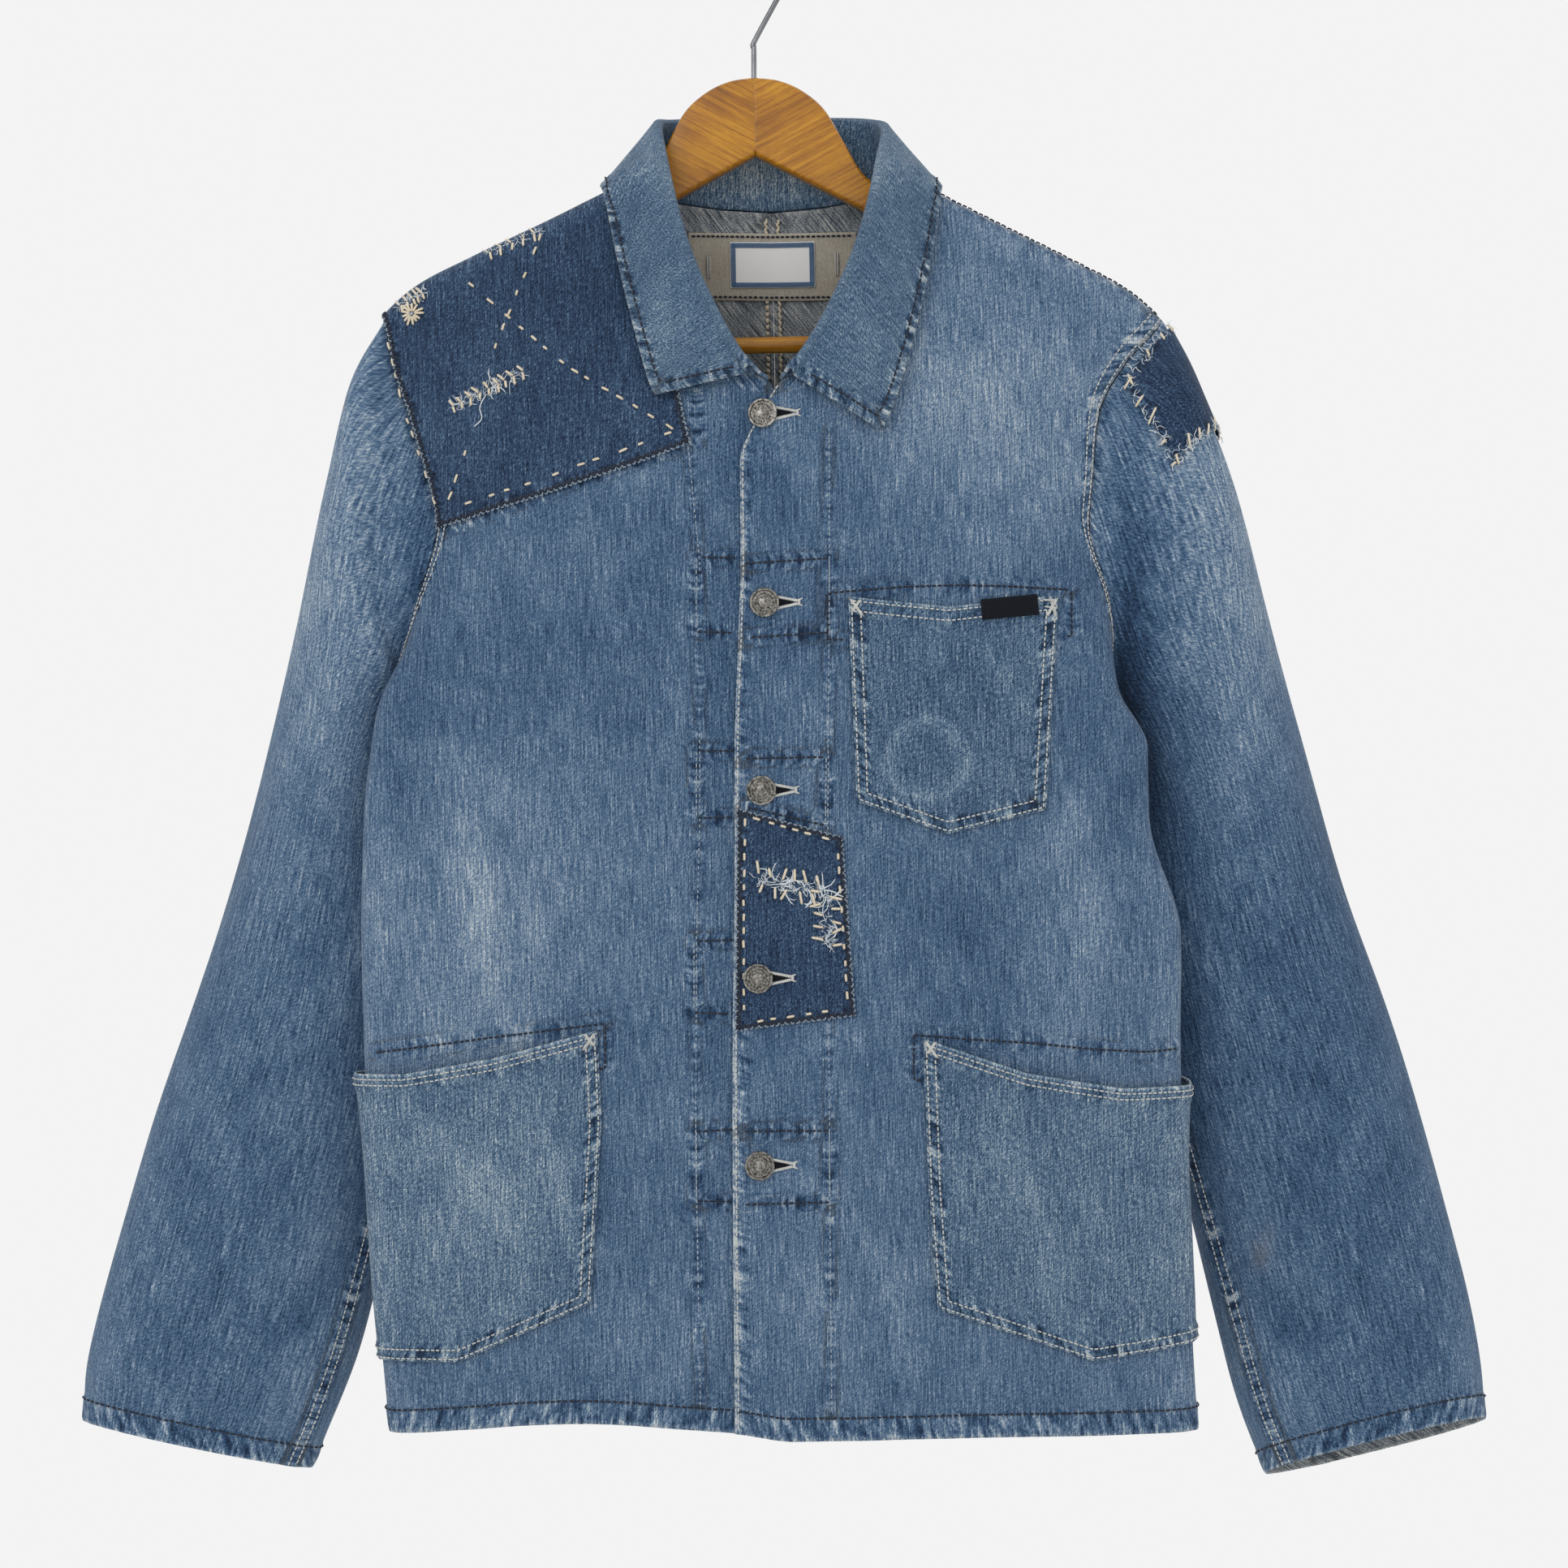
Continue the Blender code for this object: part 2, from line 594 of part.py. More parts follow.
def sleeve_rings(side, rows):
    """Rings of points from the armhole to the cuff, starting at the outer edge and round by the front."""
    levels = np.array(ARMHOLE_LEVELS)
    front_angle, height = armhole(side, "front", levels)
    back_angle, _ = armhole(side, "back", levels)
    front = at_angle(front_angle, height, np.full(len(levels), float(side)))
    back = at_angle(back_angle, height, np.full(len(levels), float(side)))
    first = np.concatenate([front, back[-2:0:-1]])
    leaning = np.concatenate([levels, levels[-2:0:-1]])
    first[:, 0] += side * SEAM_GAP * (1 + 3 * (1 - leaning))
    rings = [first]
    even = np.linspace(0, 1, len(levels))
    for number, row in enumerate(rows):
        share = (number + 1) / len(rows)
        turn = math.pi * (levels * (1 - share) + even * share)
        turn = np.concatenate([turn, 2 * math.pi - turn[-2:0:-1]])
        sine, cosine = np.sin(turn), np.cos(turn)
        radius = (abs(sine) ** SLEEVE_POWER + abs(cosine) ** SLEEVE_POWER) ** (-1 / SLEEVE_POWER)
        sine, cosine = sine * radius, cosine * radius
        outer, inner = np.array(row.outer), np.array(row.inner)
        middle = (outer + inner)[None] / 2 + (outer - inner)[None] / 2 * cosine[:, None]
        depth = (row.front + row.back) / 2 - (row.back - row.front) / 2 * sine
        depth = depth - row.inner_back * cosine
        rings.append(np.stack([middle[:, 0], depth, middle[:, 1] + row.back_drop * sine], -1))
    rings = np.array(rings)
    close = [rings[int(at)] + (rings[int(at) + 1] - rings[int(at)]) * (at % 1) for at in CLOSE_RINGS]
    return np.concatenate([rings[:1], close, rings[2:]])


def build_sleeves(denim):
    """The two tubular sleeves."""
    for side, word, rows in ((-1, "left", LEFT_SLEEVE), (1, "right", RIGHT_SLEEVE)):
        grid = sleeve_rings(side, rows)
        cloth("sleeve_" + word, grid, WALL, denim, tube=True, flip=side < 0)


def neck_point(side, share):
    """A point of the neckline seam: share 0 is the centre back and 1 the centre front."""
    back = [(side * x, height) for x, height in NECK_BACK]
    front = [(side * x, height) for x, height in NECK_FRONT[::-1]]
    split = BACK_NECK_SHARE
    if share <= split:
        x, height = along(back, [share / split])[0]
        face = "back"
    else:
        x, height = along(front, [(share - split) / (1 - split)])[0]
        face = "front"
    return on_body(np.stack([across_of_x([x], [height], face), [height]], -1), face)[0]


def collar_section(side, rows, share):
    """One section of the collar, from its seam up the stand, over the roll and down the fall."""
    seam = neck_point(side, share)

    def column(name, place):
        return float(through([(row.share, getattr(row, name)[place]) for row in rows], share))

    roll = np.array([column("roll", place) for place in range(3)])
    face = "back" if share < BACK_NECK_SHARE else "front"
    x, height = column("edge", 0), column("edge", 1)
    lift = float(through([(row.share, row.lift) for row in rows], share))
    grid = np.stack([across_of_x([x], [height], face), [height]], -1)
    edge = on_body(grid, face, lift)[0]
    rise = roll - seam
    rise /= np.linalg.norm(rise)
    fall = edge - roll
    fall -= rise * (fall @ rise)
    fall /= np.linalg.norm(fall)
    start = seam + rise * STAND_START
    neck = roll - rise * ROLL_RADIUS
    shoulder = neck + fall * 2 * ROLL_RADIUS
    top = neck + fall * ROLL_RADIUS + rise * ROLL_RADIUS
    falls = [shoulder + (edge - shoulder) * step for step in (1 / 3, 2 / 3)]
    for point in falls:
        if point[2] < ridge(point[0]) - lift:
            grid = np.stack([across_of_x([point[0]], [point[2]], face), [point[2]]], -1)
            clear = on_body(grid, face, lift)[0][1]
            point[1] = min(point[1], clear) if face == "front" else max(point[1], clear)
        else:
            point[2] = max(point[2], ridge(point[0]) + lift)
    return [start, (start + neck) / 2, neck, top, shoulder, *falls, edge]


def build_collar(denim):
    """The collar in one piece, from its left end round the back to its right end."""
    on_neck = [level / NECK_SHARE for level in TOP_LEVELS if level <= NECK_SHARE]
    levels = [BACK_NECK_SHARE * level for level in on_neck]
    levels += [1 - (1 - BACK_NECK_SHARE) * level for level in on_neck[-2:0:-1]] + [COLLAR_END]
    left = [collar_section(-1, LEFT_COLLAR, level) for level in levels[::-1]]
    right = [collar_section(1, RIGHT_COLLAR, level) for level in levels[1:]]
    grid = np.array(left + right)
    cloth("collar", grid, COLLAR_WALL, denim, flip=True)


def build_pockets(denim, dark, tab):
    """The three pockets and the tab in the chest pocket's mouth."""
    cloth_on = {"out": ON_PANEL, "wall": POCKET_WALL, "material": denim}
    patch("chest_pocket", CHEST_POCKET, 8, 7, **cloth_on)
    patch("pocket_left", LEFT_POCKET, 9, 8, follow=6, **cloth_on)
    patch("pocket_right", RIGHT_POCKET, 9, 8, follow=6, **cloth_on)
    patch("pocket_tab", POCKET_TAB, 2, 1, ON_PANEL * 2 + POCKET_WALL, PATCH_WALL, tab)
    patch("placket_patch", PLACKET_PATCH, 4, 6, ON_PANEL, PATCH_WALL, dark)


def build_neck_pieces(twill, label):
    """The patch inside the back of the neck and the blank label on it."""
    behind = -(WALL + ON_PANEL)
    patch("neck_patch", NECK_PATCH, 6, 3, behind, PATCH_WALL, twill, face="back")
    on_patch = behind - PATCH_WALL - ON_PANEL / 2
    patch("neck_label", NECK_LABEL, 4, 2, on_patch, PATCH_WALL, label, face="back")


def build_shoulder_patch(dark):
    """The big patch over the left shoulder seam: from the back, over the ridge, down the front.

    It is made from the panels' own columns outside the neck, and their rows near the shoulder line.
    """
    first = TOP_LEVELS.index(NECK_SHARE)
    front, back = panel_grid(-1, "front")[:, first:], panel_grid(-1, "back")[:, first:]
    count = front.shape[1]
    share = np.linspace(0, 1, count)
    (inner_x, inner_low), (outer_x, outer_low) = SHOULDER_PATCH_LOW
    low = inner_low + (outer_low - inner_low) * share
    kept = [row for row in front if (row[:, 1] > low + SHOULDER_PATCH_CLEAR).all()]
    start = kept[0]
    bottom = np.stack([across_of_x(inner_x + (outer_x - inner_x) * share, low), low], -1)
    between = [bottom + (start - bottom) * step for step in (0, 1 / 3, 2 / 3)]
    grid = np.array(between + kept)
    reach = np.clip((SHOULDER_PATCH_WIDENS - grid[..., 1]) / (SHOULDER_PATCH_WIDENS - inner_low), 0, 1)
    widened = grid[..., 0] + (inner_x - grid[..., :1, 0]) * reach * (1 - share)
    grid[..., 0] = np.where(grid[..., 1] < SHOULDER_PATCH_WIDENS, widened, grid[..., 0])
    over = on_body(grid[:-1], "front", ON_SHOULDER)
    behind = on_body(back[-SHOULDER_PATCH_BACK_ROWS:-1], "back", ON_SHOULDER)[::-1]
    top = on_body(grid[-1:], "front") * (1, 0, 1) + (0, 0, ON_SHOULDER)
    rows = np.concatenate([over, top, behind])
    rows[:, -1, 0] += SEAM_GAP * 2
    rows[:, 0, 0] -= COLLAR_WALL + SEAM_GAP * 2
    cloth("shoulder_patch", rows, PATCH_WALL, dark, outward=True, flip=True)


def build_sleeve_patch(dark):
    """The patch over the top of the right sleeve, from its front round its outer edge to its back."""
    rings = sleeve_rings(1, RIGHT_SLEEVE)
    ahead = np.roll(rings, -1, axis=1) - np.roll(rings, 1, axis=1)
    normal = np.cross(ahead, np.gradient(rings, axis=0))
    rings = rings + normal / np.linalg.norm(normal, axis=2)[..., None] * ON_SHOULDER
    grid = rings[SLEEVE_PATCH_RINGS, SLEEVE_PATCH_TURN]
    cloth("sleeve_patch", grid, PATCH_WALL, dark, outward=True)


def turned(name, profile, segments, material):
    """A solid turned about Z from a profile of (radius, height), from the bottom of its axis to the top."""
    mesh = bpy.data.meshes.new(name)
    points = [(radius * MM, 0, height * MM) for radius, height in profile[::-1]]
    mesh.from_pydata(points, [(i, i + 1) for i in range(len(points) - 1)], [])
    mesh.materials.append(material)
    obj = bpy.data.objects.new(name, mesh)
    bpy.data.collections[COLLECTION].objects.link(obj)
    spin = obj.modifiers.new("turn", "SCREW")
    spin.steps = spin.render_steps = segments
    spin.use_merge_vertices = True
    spin.merge_threshold = 0.0001
    spin.use_smooth_shade = True
    return obj


def build_buttons(metal):
    """The five buttons, each seated just off the cloth and square to it."""
    rim = BUTTON_RADIUS
    profile = (
        (0, 0),
        (rim * BUTTON_BACK, 0),
        (rim, BUTTON_RIM * 0.45),
        (rim * BUTTON_EDGE, BUTTON_RIM),
        (rim * BUTTON_LIP, BUTTON_RIM),
        (rim * BUTTON_FACE, BUTTON_RIM - BUTTON_DISH),
        (0, BUTTON_RIM - BUTTON_DISH),
    )
    patch_low, patch_high = PLACKET_PATCH["bottom"][0][1], PLACKET_PATCH["mouth"][1][1]
    for number, (x, height) in enumerate(BUTTONS, start=1):
        off = SEAM_GAP + (PATCH_WALL + ON_PANEL if patch_low < height < patch_high else 0)
        heights = [height, height + 1, height]
        grid = np.stack([across_of_x([x, x, x + 1], heights), heights], -1)
        point, above, beside = hang(on_body(grid, "front", off))
        out = np.cross(beside - point, above - point)
        out /= np.linalg.norm(out)
        obj = turned(f"button_{number}", profile, BUTTON_SEGMENTS, metal)
        tilt = math.atan2(math.hypot(out[0], out[1]), out[2])
        obj.rotation_euler = (0, tilt, math.atan2(out[1], out[0]))
        obj.location = point


def share_of_arm(distance):
    """How far from the dome's shape to the arm's the hanger has got: 0 at the dome, 1 on the arm."""
    return min(max((distance - DOME_LEAVES) / (ARM_MEETS_CLOTH - DOME_LEAVES), 0), 1)


def hanger_top(distance, side):
    """Height of a hanger half's upper edge: the dome, then an arm just under the shoulder of the cloth."""
    dome = HANGER_APEX - through(HANGER_TOP, min(distance, DOME_END))
    x = HANGER_MIDDLE + side * distance
    arm = float(ridge(x)) - WALL - UNDER_CLOTH
    share = share_of_arm(distance)
    share = share * share * (3 - 2 * share)
    dome -= max(distance - DOME_END, 0) * HANGER_LOW_SLOPE
    return float(dome) * (1 - share) + arm * share


def build_hanger_half(side, word, wood):
    """One shaped half: level-topped sections lofted from the middle joint out to the rounded end."""
    stations = [SEAM_GAP - 0.1, *[row[0] for row in HANGER_TOP[1:]], 95, 120, 150]
    stations += [EAR_START - 2, EAR_START, *EAR_STATIONS, ARM_END]
    turn = np.linspace(0, 2 * math.pi, SECTION_POINTS, endpoint=False) + math.pi / SECTION_POINTS
    sections = []
    for distance in stations:
        top = hanger_top(distance, side)
        low = HANGER_LOW_APEX - HANGER_LOW_SLOPE * distance
        share = share_of_arm(distance)
        low = low * (1 - share) + (top - ARM_HEIGHT) * share
        if distance >= EAR_START:
            low = EAR_LOW
        middle, half = (top + low) / 2, (top - low) / 2
        thick = HANGER_THICK / 2
        if distance > EAR_START:
            rounding = math.sqrt(1 - ((distance - EAR_START) / (ARM_END + 1 - EAR_START)) ** 3)
            half, thick = half * rounding, thick * rounding
            middle = top - half - (top - low) / 2 * (1 - rounding) * EAR_DROOP
        wide, tall = min(HANGER_CORNER, thick), min(HANGER_CORNER, half)
        across = np.sign(np.cos(turn)) * (thick - wide) + wide * np.cos(turn)
        upward = np.sign(np.sin(turn)) * (half - tall) + tall * np.sin(turn)
        x = np.full(SECTION_POINTS, HANGER_MIDDLE + side * distance)
        sections.append(np.stack([x, across, middle + upward], -1))
    grid = np.array(sections)
    rows, columns = grid.shape[:2]
    faces = [tuple(range(columns)), tuple(range((rows - 1) * columns, rows * columns))[::-1]]
    for j in range(rows - 1):
        for i in range(columns):
            k = (i + 1) % columns
            faces.append((j * columns + k, j * columns + i, (j + 1) * columns + i, (j + 1) * columns + k))
    if side > 0:
        faces = [face[::-1] for face in faces]
    add_mesh("hanger_half_" + word, hang(grid).reshape(-1, 3), faces, wood)


def build_bar(wood):
    """The round trouser bar between the ends of the arms."""
    length = 2 * (EAR_START - 2 + BAR_REACH)
    bpy.ops.mesh.primitive_cylinder_add(vertices=16, radius=BAR_RADIUS * MM, depth=length * MM)
    bar = bpy.context.object
    bar.name = "hanger_bar"
    bar.data.materials.append(wood)
    bar.data.shade_smooth()
    bar.data.set_sharp_from_angle(angle=math.radians(50))
    bar.rotation_euler = (0, math.pi / 2 - LEAN, 0)
    bar.location = hang((HANGER_MIDDLE, 0, BAR_HEIGHT))
    move_to_collection(bar)


def move_to_collection(obj):
    """Takes an object out of the scene's own collection into the object's."""
    for collection in list(obj.users_collection):
        collection.objects.unlink(obj)
    bpy.data.collections[COLLECTION].objects.link(obj)


def build_hook(steel):
    """The bent wire hook: straight up from the wood, out along a tangent, over the top and down."""
    foot = hang((HANGER_MIDDLE, 0, HANGER_APEX))[2] / MM + SEAM_GAP
    points = [(0, foot), (0, HOOK_NECK_TOP - 6), (0.8, HOOK_NECK_TOP - 2)]
    start, end = math.radians(-24), math.radians(205)
    for step in range(HOOK_STEPS + 1):
        turn = start + (end - start) * step / HOOK_STEPS
        points.append((HOOK_RADIUS * math.cos(turn), HOOK_CENTRE + HOOK_RADIUS * math.sin(turn)))
    points.append((points[-1][0] - 2.5, points[-1][1] - HOOK_TIP_FLARE * 0.6))
    points.append((points[-1][0] - 4.0, points[-1][1] - HOOK_TIP_FLARE * 0.5))
    curve = bpy.data.curves.new("hanger_hook", "CURVE")
    curve.dimensions = "3D"
    curve.bevel_depth = HOOK_WIRE * MM
    curve.bevel_resolution = 2
    curve.use_fill_caps = True
    curve.materials.append(steel)
    spline = curve.splines.new("POLY")
    spline.points.add(len(points) - 1)
    for place, (x, height) in zip(spline.points, points, strict=True):
        place.co = (x * MM, 0, height * MM, 1)
    hook = bpy.data.objects.new("hanger_hook", curve)
    bpy.data.collections[COLLECTION].objects.link(hook)


def main():
    """Clears the scene and builds every piece."""
    for obj in list(bpy.data.objects):
        bpy.data.objects.remove(obj, do_unlink=True)
    bpy.context.scene.collection.children.link(bpy.data.collections.new(COLLECTION))
    denim = finish("washed denim", DENIM, 0.9)
    light = finish("faded denim", DENIM_LIGHT, 0.9)
    dark = finish("dark indigo denim", DENIM_DARK, 0.9)
    twill = finish("khaki twill", (0.19, 0.18, 0.15), 0.9)
    label = finish("woven label", (0.5, 0.6, 0.7), 0.8)
    tab = finish("black tape", (0.01, 0.01, 0.012), 0.7)
    metal = finish("old nickel", (0.35, 0.34, 0.31), 0.4, 1.0)
    wood = finish("varnished beech", (0.4, 0.2, 0.05), 0.35)
    steel = finish("bright steel wire", (0.6, 0.6, 0.62), 0.2, 1.0)
    build_body(denim)
    build_sleeves(denim)
    build_collar(light)
    build_pockets(light, dark, tab)
    build_neck_pieces(twill, label)
    build_shoulder_patch(dark)
    build_sleeve_patch(dark)
    build_buttons(metal)
    for side, word in ((-1, "left"), (1, "right")):
        build_hanger_half(side, word, wood)
    build_bar(wood)
    build_hook(steel)


main()
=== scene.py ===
"""Patched denim work jacket on a wooden hanger: everything that is seen of it.

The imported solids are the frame. Each piece of cloth here is a fine shell in its solid's place, made on the
same forms, with creases, seams, stitches, mends and frayed threads. Sizes are in millimetres in the
jacket's own upright frame; `hang` turns them into metres in the hanging frame. The front faces -Y.
"""

import logging
import math
import random
from dataclasses import dataclass, field
from enum import Enum
from typing import Any, Callable, NamedTuple

import bpy
import numpy as np
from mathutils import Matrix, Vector


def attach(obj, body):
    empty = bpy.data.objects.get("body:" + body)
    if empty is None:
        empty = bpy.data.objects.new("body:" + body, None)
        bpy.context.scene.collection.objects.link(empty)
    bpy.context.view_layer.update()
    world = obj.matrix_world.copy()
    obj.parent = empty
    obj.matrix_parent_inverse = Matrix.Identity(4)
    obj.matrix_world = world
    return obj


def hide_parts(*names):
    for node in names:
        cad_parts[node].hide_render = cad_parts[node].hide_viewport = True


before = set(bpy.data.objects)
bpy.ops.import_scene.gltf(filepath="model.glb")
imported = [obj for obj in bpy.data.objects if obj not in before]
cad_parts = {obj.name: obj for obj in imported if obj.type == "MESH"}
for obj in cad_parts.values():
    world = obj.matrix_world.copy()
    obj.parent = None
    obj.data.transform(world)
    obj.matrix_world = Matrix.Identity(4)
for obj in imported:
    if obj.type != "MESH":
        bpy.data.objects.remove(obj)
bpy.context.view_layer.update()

LOG = logging.getLogger("jacket")
MM = 0.001
Grid = np.ndarray  # points or parameters, shaped (rows, columns, 2 or 3)
Place = Callable[[np.ndarray, np.ndarray, float], np.ndarray]

SEAM_GAP = 0.3
RIDGE_SEAM = 0.4
FELLED_GAP = 0.04  # a flat-felled seam lets no light through
LEAN = math.radians(1.1)
LEAN_CENTRE = (10.3, -154.2)
CLOTH_THICK, POCKET_THICK, PATCH_THICK = 1.2, 1.2, 1.0
ON_PANEL = 1.0  # a piece's inner face above the cloth that it is sewn on
OVER_SEAM = 1.8  # the same where the cloth below is felled
SLEEVE_ROW = 66.0  # cloth between two rows of a sleeve's table
PUCKER_PITCH, PUCKER_HEIGHT = 11.0, 0.26  # the cloth's own small waves beside a seam
TINY = 1e-9
SIDES = {-1: "left", 1: "right"}
EVERYWHERE = "root"
"""The one body that every piece rides on."""


# ---------------------------------------------------------------- numbers and frames


def hermite(start: Any, leave: Any, end: Any, reach: Any, s: Any) -> np.ndarray:
    """A smooth curve from start to end over s from 0 to 1, with its slopes at both ends."""
    return (
        start * (1 + 2 * s) * (1 - s) ** 2
        + leave * s * (1 - s) ** 2
        + end * s**2 * (3 - 2 * s)
        + reach * s**2 * (s - 1)
    )


def through(table: Any, at: Any) -> np.ndarray:
    """Reads a smooth curve through rows of (position, value).

    Args:
        table: Rows of a position and a value.
        at: One or many positions.

    Returns:
        The values there.
    """
    knots, values = np.array([row[:2] for row in sorted(table)], float).T
    steps = np.diff(knots)
    slopes = np.diff(values) / steps
    tangents = np.zeros(len(knots))
    if len(knots) > 2:
        turns = slopes[:-1] * slopes[1:] > 0
        limit = 2 * np.minimum(abs(slopes[:-1]), abs(slopes[1:]))
        tangents[1:-1] = np.where(turns, (slopes[:-1] + slopes[1:]) / 2, 0)
        tangents[1:-1] = np.clip(tangents[1:-1], -limit, limit)
    tangents[0], tangents[-1] = slopes[0], slopes[-1]
    at = np.clip(np.asarray(at, float), knots[0], knots[-1])
    n = np.clip(np.searchsorted(knots, at) - 1, 0, len(steps) - 1)
    leave, reach = tangents[n] * steps[n], tangents[n + 1] * steps[n]
    return hermite(values[n], leave, values[n + 1], reach, (at - knots[n]) / steps[n])


def way_along(points: Any) -> np.ndarray:
    """Way to each point from the first along the first axis."""
    steps = np.linalg.norm(np.diff(np.asarray(points, float), axis=0), axis=-1).cumsum(axis=0)
    return np.concatenate([np.zeros_like(steps[:1]), steps])


def read_line(values: np.ndarray, run: np.ndarray, at: Any) -> np.ndarray:
    """Reads points or directions at one or many ways along a line."""
    return np.stack([np.interp(at, run, column) for column in values.T], -1)


def along(points: Any, shares: Any) -> np.ndarray:
    """Finds points at shares, from 0 to 1, of the length of an open line."""
    run = way_along(points)
    return read_line(np.array(points, float), run, np.asarray(shares, float) * run[-1])


def even(points: Any, count: int) -> np.ndarray:
    """Evenly spaced points on an open line, both ends among them."""
    return along(points, np.linspace(0, 1, count))


def smooth_rows(rows: np.ndarray, at: np.ndarray, columns: Any = slice(None)) -> np.ndarray:
    """Runs smooth curves through the matching points of several rows.

    Args:
        rows: Points shaped (row, point, 3).
        at: Row positions, whole numbers being the rows themselves.
        columns: All points of a row, or one of them for each position.

    Returns:
        Points for each position.
    """
    last = len(rows) - 1
    at = np.clip(np.asarray(at, float), 0, last)
    n = np.clip(at.astype(int), 0, last - 1)
    before, start, end, after = (rows[np.clip(n + k, 0, last), columns] for k in (-1, 0, 1, 2))
    s, first, final = (v.reshape(-1, *[1] * (start.ndim - 1)) for v in (at - n, n == 0, n == last - 1))
    leave = np.where(first, end - start, (end - before) / 2)
    reach = np.where(final, end - start, (after - start) / 2)
    return hermite(start, leave, end, reach, s)


def smoothstep(low: float, high: float, value: Any) -> np.ndarray:
    """A smooth rise from 0 at `low` to 1 at `high`."""
    share = np.clip((np.asarray(value, float) - low) / (high - low), 0, 1)
    return share * share * (3 - 2 * share)


def unit(vectors: Any) -> np.ndarray:
    """The same directions, each of length one."""
    return vectors / np.maximum(np.linalg.norm(vectors, axis=-1, keepdims=True), TINY)


def crowded(count: int, crowding: float) -> np.ndarray:
    """Even steps from 0 to 1 drawn together at both ends, where the seams are."""
    steps = np.linspace(0, 1, count)
    return steps - crowding * np.sin(2 * math.pi * steps) / (2 * math.pi)


def hang(points: Any) -> np.ndarray:
    """Turns upright millimetres, with x, depth and height last, into metres in the hanging frame."""
    points = np.asarray(points, float)
    rise = points[..., 2] - LEAN_CENTRE[1]
    turn, keep = math.sin(LEAN), math.cos(LEAN)
    x = LEAN_CENTRE[0] + points[..., 0] * keep - rise * turn
    z = LEAN_CENTRE[1] + points[..., 0] * turn + rise * keep
    return np.stack([x, points[..., 1], z], -1) * MM


def normals_of(grid: Grid) -> np.ndarray:
    """Unit normals of a grid of points: row direction crossed with column direction."""
    return unit(np.cross(np.gradient(grid, axis=1), np.gradient(grid, axis=0)))


def quads(rows: int, columns: int, closed: bool) -> np.ndarray:
    """Corner numbers of the faces between the points of a grid.

    Args:
        rows: Its rows.
        columns: Its columns.
        closed: Whether the last column joins the first.

    Returns:
        One row of four numbers for each face.
    """
    j, i = np.meshgrid(np.arange(rows - 1), np.arange(columns - (not closed)), indexing="ij")
    i, k = j * columns + i, j * columns + (i + 1) % columns
    return np.stack([i, k, k + columns, i + columns]).reshape(4, -1).T


def piece_of(name: str, points: np.ndarray, faces: Any, sharp: float | None = None) -> bpy.types.Object:
    """Makes a piece shaded smooth.

    Args:
        name: Its name.
        points: Its corners in the upright frame.
        faces: Each face's corner numbers.
        sharp: The angle from which an edge stays sharp, in degrees.

    Returns:
        The new piece.
    """
    mesh = bpy.data.meshes.new(name)
    mesh.from_pydata(hang(points).reshape(-1, 3), [], faces)
    mesh.shade_smooth()
    if sharp is not None:
        mesh.set_sharp_from_angle(angle=math.radians(sharp))
    piece = bpy.data.objects.new(name, mesh)
    bpy.context.scene.collection.objects.link(piece)
    return piece


# ---------------------------------------------------------------- the forms that the cloth hangs in


class Face(Enum):
    """Which side of the body a point is on."""

    FRONT = "front"
    BACK = "back"


class BodyRow(NamedTuple):
    """One level cross-section of the body: half widths at the fold, depths, and the back's squareness."""

    height: float
    left: float
    right: float
    front: float
    fold: float
    back: float
    back_power: float


class RidgeRow(NamedTuple):
    """Height of the shoulder line, out from the middle."""

    out: float
    left: float
    right: float


class ArmholeRow(NamedTuple):
    """Where the armhole seam lies round the body, in degrees from the centre front."""

    share: float
    front: float
    back: float


class Fold(NamedTuple):
    """A soft ridge, or a hollow where its rise is negative, between two points seen from the front."""

    start: tuple[float, float]
    end: tuple[float, float]
    width: float
    rise: float


